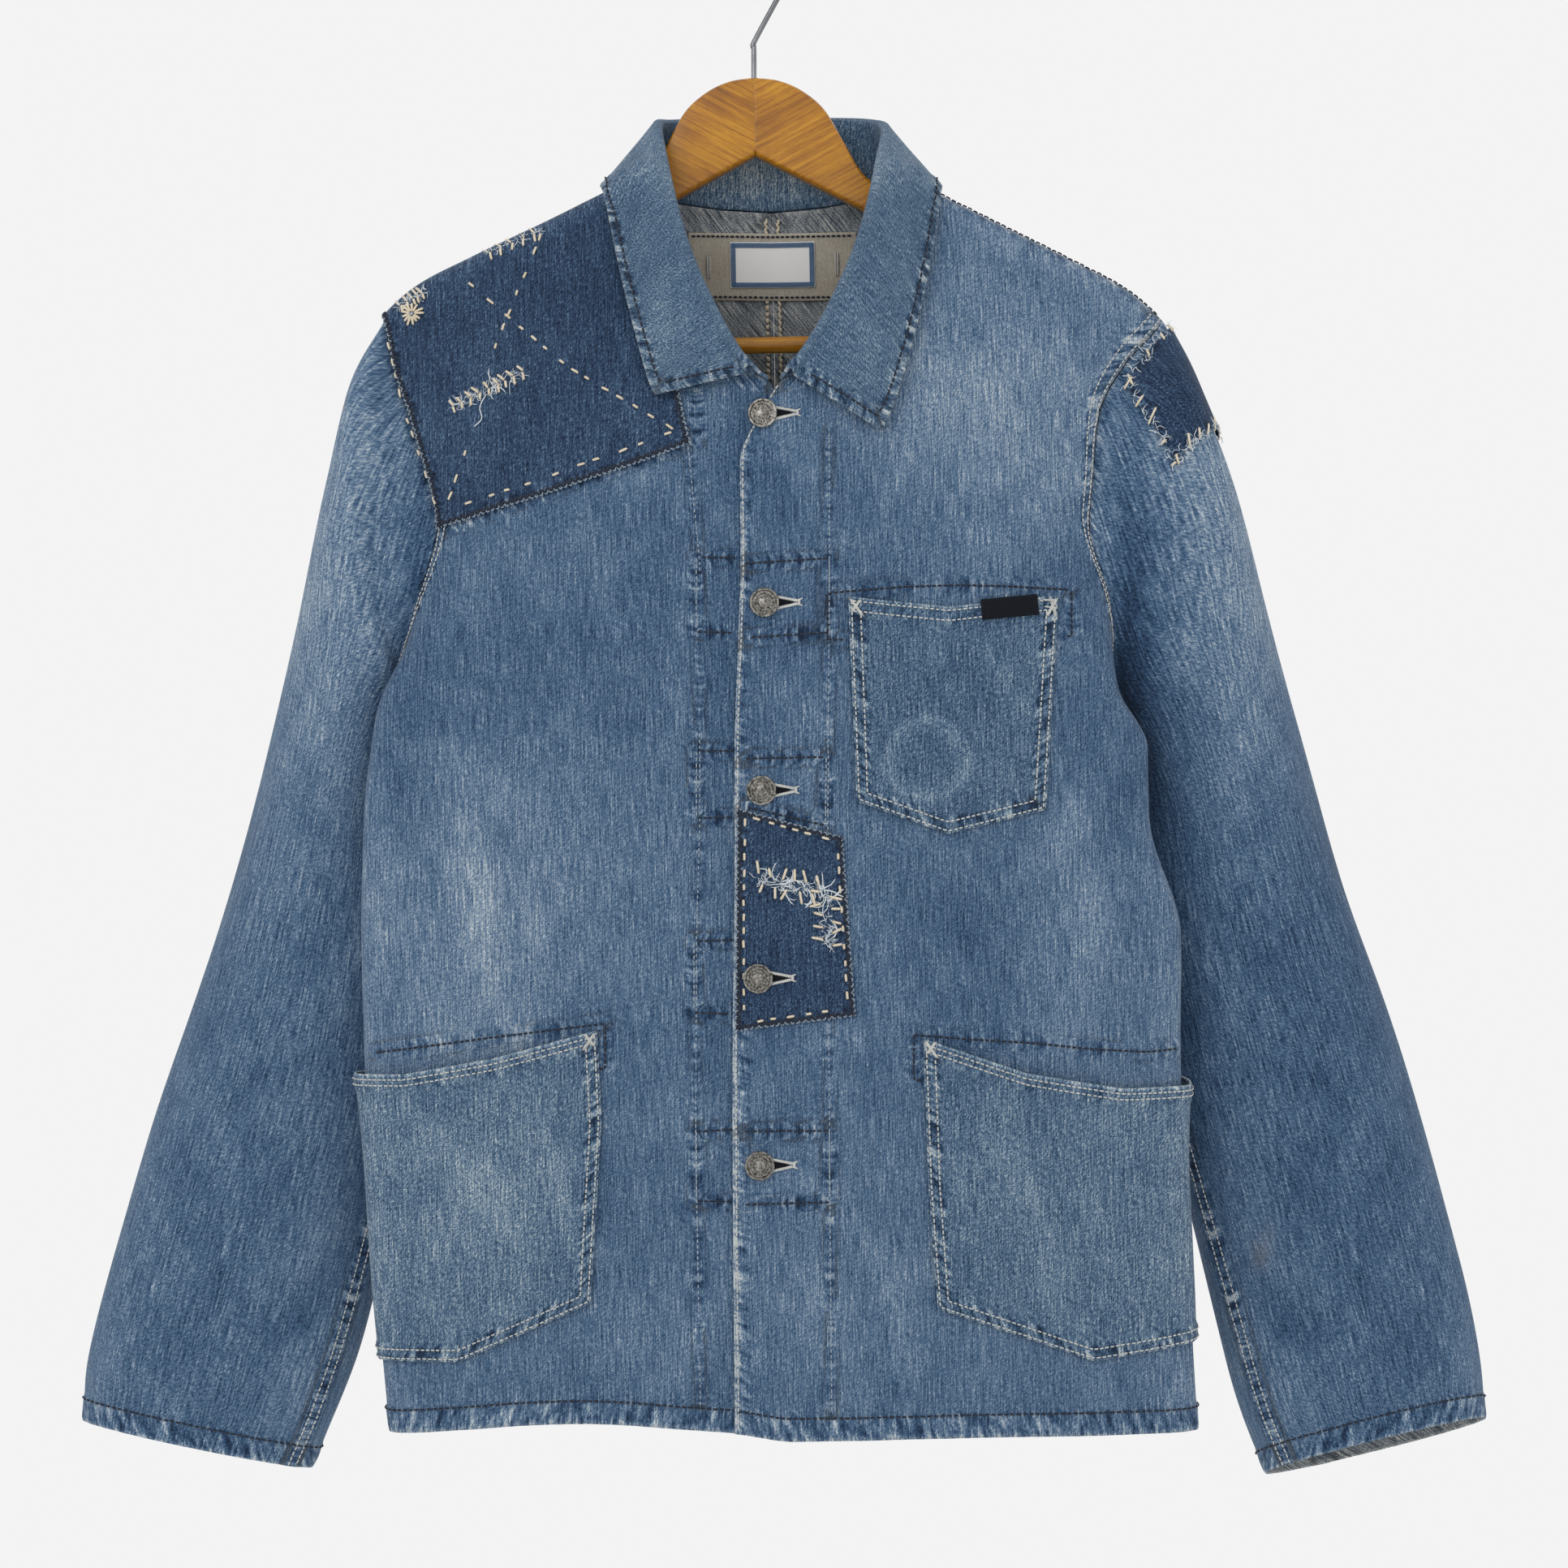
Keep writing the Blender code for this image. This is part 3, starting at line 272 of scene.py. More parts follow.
@dataclass
class BodyForm:
    """The rounded form of the body, shared by both fronts, both backs and all that is sewn on them."""

    folds: dict[Face, tuple[Fold, ...]]
    front_power: float = 3.5
    rows: tuple[BodyRow, ...] = (
        BodyRow(-140, 262, 262, -50, -2, 46, 2.8),
        BodyRow(-235, 239, 241, -50, -2, 47, 2.8),
        BodyRow(-262, 236, 219, -51, -3, 48, 2.8),
        BodyRow(-292, 227, 203, -52, -4, 48, 2.8),
        BodyRow(-350, 212, 195, -53, -6, 48, 2.8),
        BodyRow(-385, 211, 192, -54, -16, 48, 2.4),
        BodyRow(-420, 218, 194, -55, -28, 48, 2.0),
        BodyRow(-455, 235, 198, -55, -33, 48, 1.7),
        BodyRow(-490, 241.5, 214.5, -55, -33, 48, 1.5),
        BodyRow(-530, 246, 214.5, -55, -32, 48, 1.45),
        BodyRow(-600, 249, 231, -54, -30, 48, 1.45),
        BodyRow(-670, 248.5, 230.5, -54, -28, 48, 1.5),
        BodyRow(-760, 246, 232, -52, -25, 47, 1.6),
        BodyRow(-830, 242, 234.5, -51, -22, 46, 1.8),
        BodyRow(-890, 238, 237, -50, -20, 46, 2.0),
    )
    ridge_rows: tuple[RidgeRow, ...] = (
        RidgeRow(0, -106, -106),
        RidgeRow(80, -147.5, -147.5),
        RidgeRow(98, -156, -157.5),
        RidgeRow(135, -173.5, -177),
        RidgeRow(178, -193, -199.5),
        RidgeRow(213, -211, -219.5),
        RidgeRow(231, -227, -236),
        RidgeRow(262, -262, -271),
    )
    armhole_rows: tuple[ArmholeRow, ...] = (
        ArmholeRow(0.28, 56, 121),
        ArmholeRow(0.54, 56, 121),
        ArmholeRow(0.69, 64.6, 115.2),
        ArmholeRow(0.85, 91, 108),
        ArmholeRow(1.0, 106.0, 106.0),
    )
    ridge_half: float = 10.5
    ridge_fall: float = 2.6
    chest_fall: float = 105.0
    turn_steps: int = 60
    turn_end: float = 150.0
    shoulder_out: float = 231.0
    underarm: float = -455.0
    side_seam_angle: float = 106.0
    dense: dict[str, tuple] = field(default_factory=dict)

    def __post_init__(self) -> None:
        """Reads every column of both tables once, closely enough for straight lines in between."""
        heights, outs = np.arange(-900, -100, 0.5), np.arange(0, 270, 0.25)
        for rows, at, word in ((self.rows, heights, ""), (self.ridge_rows, outs, "ridge ")):
            for number, name in enumerate(rows[0]._fields[1:], start=1):
                self.dense[word + name] = at, through([(row[0], row[number]) for row in rows], at)

    def ridge(self, x: Any) -> np.ndarray:
        """Height of the top of the shoulders at x."""
        left, right = (np.interp(np.abs(x), *self.dense["ridge " + word]) for word in ("left", "right"))
        return np.where(np.asarray(x) < 0, left, right)

    def outline(self, height: np.ndarray, side: np.ndarray, angle: np.ndarray) -> tuple:
        """Level cross-section at an angle from the centre front, before the shoulders close in.

        Args:
            height: Heights of the cross-sections.
            side: -1 on the left, 1 on the right.
            angle: Angles from the centre front, in radians.

        Returns:
            x and depth.
        """
        read = {name: np.interp(height, *self.dense[name]) for name in BodyRow._fields[1:]}
        half = np.where(side < 0, read["left"], read["right"])
        sine, cosine = np.sin(angle), np.cos(angle)
        power = np.where(cosine >= 0, self.front_power, read["back_power"])
        radius = (np.abs(sine) ** power + np.abs(cosine) ** power) ** (-1 / power)
        depth = np.where(cosine >= 0, read["front"], read["back"]) - read["fold"]
        return side * half * np.abs(sine) * radius, read["fold"] + depth * np.abs(cosine) * radius

    def at_angle(self, angle: np.ndarray, height: np.ndarray, side: np.ndarray) -> np.ndarray:
        """Points of the form from the angle round it and the height."""
        x, depth = self.outline(height, side, angle)
        below = np.maximum(self.ridge(x) - height, 0)
        top = self.ridge_half * np.sqrt(1 - np.exp(-below / self.ridge_fall))
        chest = 1 - np.exp(-((below / self.chest_fall) ** 1.2))
        depth = depth * chest - top * (1 - chest) * np.clip(np.cos(angle) * 2.5, -1, 1)
        return np.stack([x, depth, height], -1)

    def unroll(self, height: np.ndarray, side: np.ndarray, face: Face) -> tuple:
        """Angles round each cross-section, and the cloth's length to each from the centre line."""
        quarter = np.linspace(0, 1, self.turn_steps + 1) * math.radians(self.turn_end)
        angles = quarter if face is Face.FRONT else math.pi - quarter
        x, y = self.outline(height[:, None], side[:, None], angles[None, :])
        return angles, way_along(np.stack([x.T, y.T], -1)).T

    def bare(self, across: np.ndarray, height: np.ndarray, face: Face) -> np.ndarray:
        """Points of the form from the distance across the cloth and the height, without creases."""
        side = np.where(across < 0, -1.0, 1.0)
        angles, run = self.unroll(height, side, face)
        at, row = np.abs(across), np.arange(len(across))
        n = np.clip((run < at[:, None]).sum(axis=1), 1, len(angles) - 1)
        low, high = run[row, n - 1], run[row, n]
        share = np.clip((at - low) / np.maximum(high - low, TINY), 0, 1)
        return self.at_angle(angles[n - 1] * (1 - share) + angles[n] * share, height, side)

    def place(self, across: Any, height: Any, face: Face, out: float = 0.0) -> np.ndarray:
        """Points on the creased cloth of the body.

        Args:
            across: Distances across the cloth from the centre line, negative on the left.
            height: Heights.
            face: The front or the back.
            out: Distance out from the cloth's outer face.

        Returns:
            Points in the upright frame, shaped as `across` with three values each.
        """
        shape = np.shape(across)
        across, height = np.ravel(across).astype(float), np.ravel(height).astype(float)
        point = self.bare(across, height, face)
        ahead = self.bare(across + 1.0, height, face) - self.bare(across - 1.0, height, face)
        above = self.bare(across, height + 1.0, face) - self.bare(across, height - 1.0, face)
        facing = 1 if face is Face.FRONT else -1
        rise = (self.crease(point, face) + out) * facing
        point = point + unit(np.cross(ahead, above)) * rise[:, None]
        point[:, 1] -= RIDGE_SEAM * facing
        return point.reshape(*shape, 3)

    def crease(self, point: np.ndarray, face: Face) -> np.ndarray:
        """Height of the folds and ripples over the smooth form, fading out at the shoulders' ridge."""
        x, z = point[:, 0], point[:, 2]
        rise = np.zeros(len(point))
        for fold in self.folds[face]:
            start = np.array(fold.start)
            line = fold.end - start
            size = np.linalg.norm(line)
            share = ((x - start[0]) * line[0] + (z - start[1]) * line[1]) / (line @ line)
            bend = 0.06 * size * np.sin(math.pi * np.clip(share, 0, 1))
            side = (-(x - start[0]) * line[1] + (z - start[1]) * line[0]) / size
            ends = smoothstep(-0.12, 0.3, share) * (1 - smoothstep(0.7, 1.12, share))
            rise += fold.rise * ends * np.exp(-(((side - bend) / fold.width) ** 2))
        shift = 0.0 if face is Face.FRONT else 2.1
        rise += 0.5 * np.sin(x / 19 + 1.3 * np.sin(z / 97 + shift) + shift)
        rise += 0.4 * np.sin(x / 34 - z / 120 + 2.2 * np.sin(z / 140) + shift)
        rise += 0.32 * np.sin(x / 9 + z / 55 + 1.7 * np.sin(x / 33 + z / 45))
        return rise * smoothstep(4, 60, self.ridge(x) - z)

    def across_at(self, angle: Any, height: np.ndarray, side: float, face: Face) -> np.ndarray:
        """Distance across the cloth to an angle round the body."""
        angle = np.broadcast_to(angle, height.shape)
        angles, run = self.unroll(height, np.full(len(height), float(side)), face)
        order = 1 if face is Face.FRONT else -1
        found = [np.interp(a, angles[::order], r[::order]) for a, r in zip(angle, run, strict=True)]
        return side * np.array(found)

    def across_of_x(self, x: Any, height: Any, face: Face = Face.FRONT) -> np.ndarray:
        """Distance across the cloth to the point of a face at x."""
        x, height = np.broadcast_arrays(np.asarray(x, float), np.asarray(height, float))
        shape, x, height = x.shape, x.ravel(), height.ravel()
        side = np.where(x < 0, -1.0, 1.0)
        angles, run = self.unroll(height, side, face)
        reach = np.abs(self.outline(height[:, None], side[:, None], angles[None, :])[0])
        near = np.arange(len(angles)) <= self.turn_steps * 90 // int(self.turn_end)
        pairs = zip(x, reach, run, strict=True)
        found = np.array([np.interp(abs(a), s[near], r[near]) for a, s, r in pairs])
        return (side * found).reshape(shape)

    def on_face(self, points: Any, face: Face = Face.FRONT) -> np.ndarray:
        """Points seen from the front, as distances across the cloth and heights."""
        x, height = np.array(points, float).T
        return np.stack([self.across_of_x(x, height, face), height], -1)

    def armhole(self, side: float, face: Face, levels: Any) -> tuple:
        """Angles round the body and heights on the armhole seam: level 0 is the shoulder point."""
        top = float(self.ridge(side * self.shoulder_out))
        share = (1 - np.cos(math.pi * np.asarray(levels, float))) / 2
        start = self.across_of_x([side * self.shoulder_out], [top], face)
        angles, run = self.unroll(np.array([top]), np.array([float(side)]), face)
        first = (0.0, math.degrees(np.interp(abs(start[0]), run[0], angles)))
        rows = [first] + [(row.share, getattr(row, face.value)) for row in self.armhole_rows]
        return np.radians(through(rows, share)), top + (self.underarm - top) * share


@dataclass
class PanelCut:
    """The cut of the fronts and backs: the areas of the body's form that they cover."""

    form: BodyForm
    neck_front: tuple = ((0, -272), (26, -265), (50, -243), (68, -212), (78, -178), (80, -147.5))
    neck_back: tuple = ((0, -163.6), (30, -162), (55, -158.5), (72, -153), (80, -147.5))
    hem: tuple = ((-236, -882), (-131, -876.5), (-35, -884), (0, -889), (104, -889), (236, -890))
    back_hem: float = -884.0
    placket_edge: tuple = (
        (-884, -35),
        (-664, -32),
        (-570, -29),
        (-476, -27),
        (-382, -22),
        (-318, -21),
        (-300, -14),
        (-275, 2),
    )
    underlap_edge: tuple = ((-884, 8), (-300, 8), (-274, -2))
    underlap_drop: float = 2.7
    underlap_ramp: float = 26.0
    neck_share: float = 0.36
    keep: tuple[float, float] = (8, 3)
    columns: int = 96
    rows: int = 222

    def grid(self, side: int, face: Face) -> Grid:
        """A panel as a fine grid of across and height, rows from the hem to the top.

        Args:
            side: -1 for the left panel, 1 for the right.
            face: The front or the back.

        Returns:
            Parameters shaped (rows, columns, 2), columns from the centre to the side.
        """
        form = self.form
        hem = through(self.hem, [side * 236])[0] if face is Face.FRONT else self.back_hem
        v = np.linspace(0, 1, self.rows)
        v = v + 0.35 * np.sin(math.pi * v) * v * (1 - v)
        shoulder = float(form.ridge(side * form.shoulder_out))
        heights = hem + (shoulder - hem) * v
        level = np.arccos(1 - 2 * np.clip((shoulder - heights) / (shoulder - form.underarm), 0, 1))
        angle, _ = form.armhole(side, face, level / math.pi)
        angle = np.where(heights < form.underarm, math.radians(form.side_seam_angle), angle)
        right = np.stack([form.across_at(angle, heights, side, face) - side * SEAM_GAP, heights], -1)
        u = np.unique(np.append(np.linspace(0, 1, self.columns), self.neck_share))
        top = self.top_line(side, face, u)
        if face is Face.FRONT:
            edge = self.placket_edge if side > 0 else self.underlap_edge
            top[0] = edge[-1][::-1]
            high = edge[0][0] + (edge[-1][0] - edge[0][0]) * v
            left = np.stack([through(edge, high), high], -1)
        else:
            top[0, 0] = side * FELLED_GAP
            left = np.stack([np.full(len(v), side * FELLED_GAP), hem + (top[0, 1] - hem) * v], -1)
        bottom_x = left[0, 0] + (right[0, 0] - left[0, 0]) * u
        low = through(self.hem, bottom_x) if face is Face.FRONT else np.full(len(u), hem)
        low[0], low[-1] = left[0, 1], right[0, 1]
        return fill(np.stack([bottom_x, low], -1), top, left, right, u, v, self.keep)

    def top_line(self, side: int, face: Face, levels: np.ndarray) -> np.ndarray:
        """The neckline out from the middle, then the shoulder seam, as rows of across and height."""
        neck = self.neck_front if face is Face.FRONT else self.neck_back
        neckline = along(neck, levels[levels <= self.neck_share] / self.neck_share)
        share = (levels[levels > self.neck_share] - self.neck_share) / (1 - self.neck_share)
        out = neck[-1][0] + (self.form.shoulder_out - neck[-1][0]) * share
        x = side * np.append(neckline[:, 0], out)
        height = np.append(neckline[:, 1], self.form.ridge(side * out))
        return self.form.on_face(np.stack([x, height], -1), face)

    def closing(self, side: int, face: Face) -> tuple[np.ndarray, np.ndarray]:
        """How far a top edge moves to meet its neighbour along the shoulder, by the distance out."""
        tops = [self.grid(side, near)[-1, round(self.neck_share * self.columns) + 1 :] for near in Face]
        front, back = (self.form.place(*top.T, near) for top, near in zip(tops, Face, strict=True))
        middle = (front + back) / 2
        return np.abs(middle[:, 0]), middle - (front if face is Face.FRONT else back)

    def place(self, side: int, face: Face) -> Place:
        """How parameters of one panel become points, with the left front tucked under the right."""
        outs, shift = self.closing(side, face)

        def placed(across: np.ndarray, height: np.ndarray, out: float) -> np.ndarray:
            points = self.form.place(across, height, face, out)
            x, below = np.abs(points[..., 0]), self.form.ridge(points[..., 0]) - points[..., 2]
            for axis in (1, 2):
                points[..., axis] += np.interp(x, outs, shift[:, axis]) * (1 - smoothstep(1, 10, below))
            if side < 0 and face is Face.FRONT:
                edge = through(self.placket_edge, height)
                share = (across - edge + 6 + self.underlap_ramp) / self.underlap_ramp
                points[..., 1] += self.underlap_drop * np.clip(share, 0, 1)
            return points

        return placed


def fill(bottom: Grid, top: Grid, left: Grid, right: Grid, u: Any, v: Any, keep: tuple = (1, 1)) -> Grid:
    """Fills in a grid between four edges that share their corners.

    Args:
        bottom: The bottom row of points.
        top: The top row.
        left: The first column.
        right: The last column.
        u: Column positions from 0 to 1.
        v: Row positions from 0 to 1.
        keep: The larger, the less far the bends of the left and right edges reach in.

    Returns:
        The grid, rows from bottom to top.
    """
    u, v = u[None, :, None], v[:, None, None]
    near, far = (1 - u) ** keep[0], u ** keep[1]
    across = (1 - v) * bottom[None] + v * top[None]
    upward = near * left[:, None] + far * right[:, None]
    low = near * bottom[0] + far * bottom[-1]
    high = near * top[0] + far * top[-1]
    return across + upward - (1 - v) * low - v * high


class SleeveRow(NamedTuple):
    """One ring of a sleeve: its outer and inner edges, front and back depths, and two tilts."""

    outer: tuple[float, float]
    inner: tuple[float, float]
    front: float
    back: float
    inner_back: float = 0
    back_drop: float = 0


class SleeveFold(NamedTuple):
    """A ridge round a sleeve: the row and turn where it starts, where it ends, and its rise."""

    row: float
    turn: float
    end_row: float
    end_turn: float
    rise: float


@dataclass
class SleeveForm:
    """The tube of one sleeve, from the armhole to the cuff."""

    form: BodyForm
    side: int
    table: tuple[SleeveRow, ...]
    folds: tuple[SleeveFold, ...]
    power: float = 2.2
    half_columns: int = 44
    straight: int = 4
    """The row from which the tube runs straight."""
    rings: np.ndarray = field(init=False)

    def __post_init__(self) -> None:
        """Works out the fine rings, which start at the outer edge and go round by the front."""
        steps = np.linspace(0, 1, self.half_columns + 1)
        levels = crowded(self.half_columns + 1, 0.24)
        side = np.full(len(levels), float(self.side))
        halves = []
        for face in Face:
            angle, height = self.form.armhole(self.side, face, levels)
            halves.append(self.form.at_angle(angle, height, side))
        first = np.concatenate([halves[0], halves[1][-2:0:-1]])
        first[:, 0] += self.side * FELLED_GAP
        rings = [first]
        for number, row in enumerate(self.table, start=1):
            share = number / len(self.table)
            turn = math.pi * (levels * (1 - share) + steps * share)
            turn = np.concatenate([turn, 2 * math.pi - turn[-2:0:-1]])
            sine, cosine = np.sin(turn), np.cos(turn)
            radius = (abs(sine) ** self.power + abs(cosine) ** self.power) ** (-1 / self.power)
            sine, cosine = sine * radius, cosine * radius
            outer, inner = np.array(row.outer), np.array(row.inner)
            middle = (outer + inner)[None] / 2 + (outer - inner)[None] / 2 * cosine[:, None]
            depth = (row.front + row.back) / 2 - (row.back - row.front) / 2 * sine
            height = middle[:, 1] + row.back_drop * sine
            rings.append(np.stack([middle[:, 0], depth - row.inner_back * cosine, height], -1))
        self.rings = np.array(rings)

    def place(self, turn: Any, row: Any, out: float = 0.0) -> np.ndarray:
        """Points on the creased sleeve.

        Args:
            turn: Positions round it, 0 at the outer edge, 0.25 at the front and 0.5 at the inner edge.
            row: Positions down the sleeve, 0 at the armhole and 10 at the cuff.
            out: Distance out from the cloth's outer face.

        Returns:
            Points in the upright frame.
        """
        shape = np.shape(row)
        row, turn = np.ravel(row).astype(float), np.ravel(turn).astype(float)
        count, point = self.rings.shape[1], []
        for down, round_by in ((0, 0), (0.02, 0), (0, 0.004), (-0.02, 0), (0, -0.004)):
            turns = ((turn + round_by) % 1) * count
            column = turns.astype(int) % count
            share = (turns - np.floor(turns))[:, None]
            found, beside = (smooth_rows(self.rings, row + down, (column + k) % count) for k in (0, 1))
            point.append(found * (1 - share) + beside * share)
        normal = unit(np.cross(point[2] - point[4], point[1] - point[3]) * self.side)
        return (point[0] + normal * (self.crease(row, turn) + out)[:, None]).reshape(*shape, 3)

    def grain(self, params: Grid) -> Grid:
        """Where the cloth was cut from: its warp runs straight down the sleeve, at its cap too.

        Args:
            params: Turns round the sleeve and rows down it.

        Returns:
            Turns and rows of the same points on the flat cloth.
        """
        turn, row = params[..., 0], params[..., 1]
        level = self.table[self.straight]
        down = unit(np.array(level.outer) - self.table[0].outer)
        across = np.array(level.inner) - level.outer
        across = across - (across @ down) * down
        point = self.place(turn, row)
        seen = point[..., ::2] - level.outer
        cosine = 1 - 2 * (seen @ across) / (across @ across)
        sine = (level.front + level.back - 2 * point[..., 1]) / (level.back - level.front)
        arc = np.arctan2(sine, cosine) / (2 * math.pi)
        arc += np.round(turn - arc)
        arc = turn + (arc - turn) * (1 - smoothstep(self.straight / 2, self.straight + 0.5, row))
        return np.stack([arc, seen @ down / SLEEVE_ROW], -1)

    def crease(self, row: np.ndarray, turn: np.ndarray) -> np.ndarray:
        """Height of the folds and ripples over the smooth tube, fading at the armhole and the cuff."""
        rise = np.zeros(len(row))
        for fold in self.folds:
            line = np.array([(fold.end_row - fold.row) * 60, (fold.end_turn - fold.turn) * 300])
            x, y = (row - fold.row) * 60, ((turn - fold.turn + 0.5) % 1 - 0.5) * 300
            share = (x * line[0] + y * line[1]) / (line @ line)
            side = (x * line[1] - y * line[0]) / np.linalg.norm(line)
            ends = smoothstep(-0.15, 0.3, share) * (1 - smoothstep(0.7, 1.15, share))
            rise += fold.rise * ends * np.exp(-((side / 11) ** 2))
        wave = 2 * math.pi * turn
        rise += 0.5 * np.sin(3 * wave + row * 0.8 + 1.1 * np.sin(row * 1.3))
        rise += 0.35 * np.sin(5 * wave - row * 1.7 + self.side)
        rise += 0.25 * np.sin(9 * wave + row * 2.9)
        return rise * smoothstep(0.05, 1.2, row) * (1 - 0.7 * smoothstep(9.2, 9.9, row))


class CollarRow(NamedTuple):
    """One section of the collar: its place along the neckline, its roll and its outer edge."""

    share: float
    roll: tuple[float, float, float]
    edge: tuple[float, float]
    lift: float


@dataclass
class CollarForm:
    """The collar: a stand round the neckline, a roll, and a fall that lies over the shoulders."""

    cut: PanelCut
    left: tuple[CollarRow, ...] = (
        CollarRow(0.0, (0, 27, -105), (0, -172), 6),
        CollarRow(0.14, (-34, 26, -105), (-48, -170), 6),
        CollarRow(0.25, (-57, 15, -108), (-90, -161), 7),
        CollarRow(0.34, (-63, -4, -113), (-98, -156), 8),
        CollarRow(0.45, (-60, -25, -134), (-95, -174), 8),
        CollarRow(0.58, (-53, -37, -168), (-89, -205), 8),
        CollarRow(0.72, (-43, -45, -202), (-82, -237), 8),
        CollarRow(0.86, (-28, -50, -236), (-74, -269), 8),
        CollarRow(0.99, (-14, -54, -263), (-69.6, -281), 8),
    )
    right: tuple[CollarRow, ...] = (
        CollarRow(0.0, (0, 27, -105), (0, -172), 6),
        CollarRow(0.14, (34, 26, -106), (48, -171), 6),
        CollarRow(0.25, (58, 15, -110), (90, -164), 6),
        CollarRow(0.34, (65, -4, -118), (99, -158), 6),
        CollarRow(0.45, (61, -25, -138), (97, -178), 6),
        CollarRow(0.58, (54, -37, -169), (90, -213), 7),
        CollarRow(0.72, (43, -45, -202), (81, -249), 7),
        CollarRow(0.86, (25, -50, -238), (70, -285), 7),
        CollarRow(0.99, (7, -54, -265), (61, -304), 7),
    )
    roll_radius: float = 3.2
    stand_start: float = 1.25
    back_share: float = 0.34
    end_share: float = 0.99
    sections: int = 70  # each side
    steps: int = 40  # from the seam to the outer edge

    def neck_point(self, side: int, share: float) -> np.ndarray:
        """A point of the neckline seam: share 0 is the centre back and 1 the centre front."""
        form = self.cut.form
        if share <= self.back_share:
            face, line, at = Face.BACK, self.cut.neck_back, share / self.back_share
        else:
            at = (share - self.back_share) / (1 - self.back_share)
            face, line = Face.FRONT, self.cut.neck_front[::-1]
        x, height = along([(side * x, height) for x, height in line], [at])[0]
        across = form.across_of_x([x], [height], face)
        return form.place(across, [height], face)[0]

    def section(self, side: int, share: float) -> np.ndarray:
        """Control points of one section, from its seam over the roll to its outer edge."""
        rows, form = (self.left if side < 0 else self.right), self.cut.form
        face = Face.BACK if share < self.back_share else Face.FRONT

        def column(name: str, place: int) -> float:
            return float(through([(row.share, getattr(row, name)[place]) for row in rows], share))

        def clear(x: float, height: float) -> np.ndarray:
            across = form.across_of_x([x], [height], face)
            return form.place(across, [height], face, lift)[0]

        lift = float(through([(row.share, row.lift) for row in rows], share))
        seam = self.neck_point(side, share)
        roll = np.array([column("roll", place) for place in range(3)])
        edge = clear(column("edge", 0), column("edge", 1))
        rise = unit(roll - seam)
        fall = unit(edge - roll - rise * ((edge - roll) @ rise))
        start = seam + rise * self.stand_start
        radius = self.roll_radius
        neck = roll - rise * radius
        turns = np.linspace(0, math.pi, 7)
        arc = [neck + fall * radius * (1 - math.cos(t)) + rise * radius * math.sin(t) for t in turns]
        falls = []
        for step in (0.25, 0.5, 0.75):
            point = arc[-1] + (edge - arc[-1]) * step
            if point[2] < form.ridge(point[0]) - lift:
                depth = clear(point[0], point[2])[1]
                point[1] = min(point[1], depth) if face is Face.FRONT else max(point[1], depth)
            else:
                point[2] = max(point[2], form.ridge(point[0]) + lift)
            falls.append(point)
        points = np.array([start, (start + neck) / 2, *arc, *falls, edge])
        # How far along each control point counts: the roll is short, so its points lie close together.
        where = np.concatenate([[0, 4], 8 + np.arange(7) * 1.4, 16.4 + 5.9 * np.arange(1, 5)])
        at = np.interp(np.linspace(0, where[-1], self.steps), where, np.arange(len(where)))
        return smooth_rows(points[:, None], at)[:, 0]

    def grid(self) -> Grid:
        """The whole collar as points: one column per section from its left end to its right end."""
        shares = np.linspace(0, self.end_share, self.sections)
        left = [self.section(-1, share) for share in shares[::-1]]
        right = [self.section(1, share) for share in shares[1:]]
        grid = np.array(left + right)
        for _ in range(3):  # evens out the sections where one rule takes over from another
            grid[1:-1] = (grid[:-2] + 2 * grid[1:-1] + grid[2:]) / 4
        return grid.transpose(1, 0, 2)


def placer_of(points: Grid) -> Place:
    """Makes a place function of column and row numbers for a ready grid of points."""
    normal = normals_of(points)

    def placed(column: np.ndarray, row: np.ndarray, out: float) -> np.ndarray:
        column = np.clip(column, 0, points.shape[1] - 1.001)
        row = np.clip(row, 0, points.shape[0] - 1.001)
        i, j = column.astype(int), row.astype(int)
        s, t = (column - i)[..., None], (row - j)[..., None]
        moved = points + normal * out
        low = moved[j, i] * (1 - s) + moved[j, i + 1] * s
        high = moved[j + 1, i] * (1 - s) + moved[j + 1, i + 1] * s
        return low * (1 - t) + high * t

    return placed


# ---------------------------------------------------------------- cloth and thread


class Edge(Enum):
    """The four edges of a piece's grid."""

    LEFT = "left"
    RIGHT = "right"
    BOTTOM = "bottom"
    TOP = "top"


@dataclass
class Seam:
    """What is sewn along an edge.

    `reach` is how far the folded cloth goes in, `pucker` how strongly it draws up, `wear` how pale its rim
    is, `band` how much thicker the fold makes it, and `pale` how wide the pale rim is.
    """

    reach: float = 9.0
    pucker: float = 1.0
    wear: float = 1.0
    band: float = 0.7
    pale: float = 2.0


@dataclass
class Line:
    """A stitched line inside a piece that puckers the cloth on both sides of it."""

    points: Any
    reach: float = 7.0
    pucker: float = 0.7


class Spot(NamedTuple):
    """A soft oval of change in the cloth, where it is seen from the front, or a ring of it."""

    x: float
    height: float
    wide: float
    tall: float
    amount: float
    ring: float = 0.0


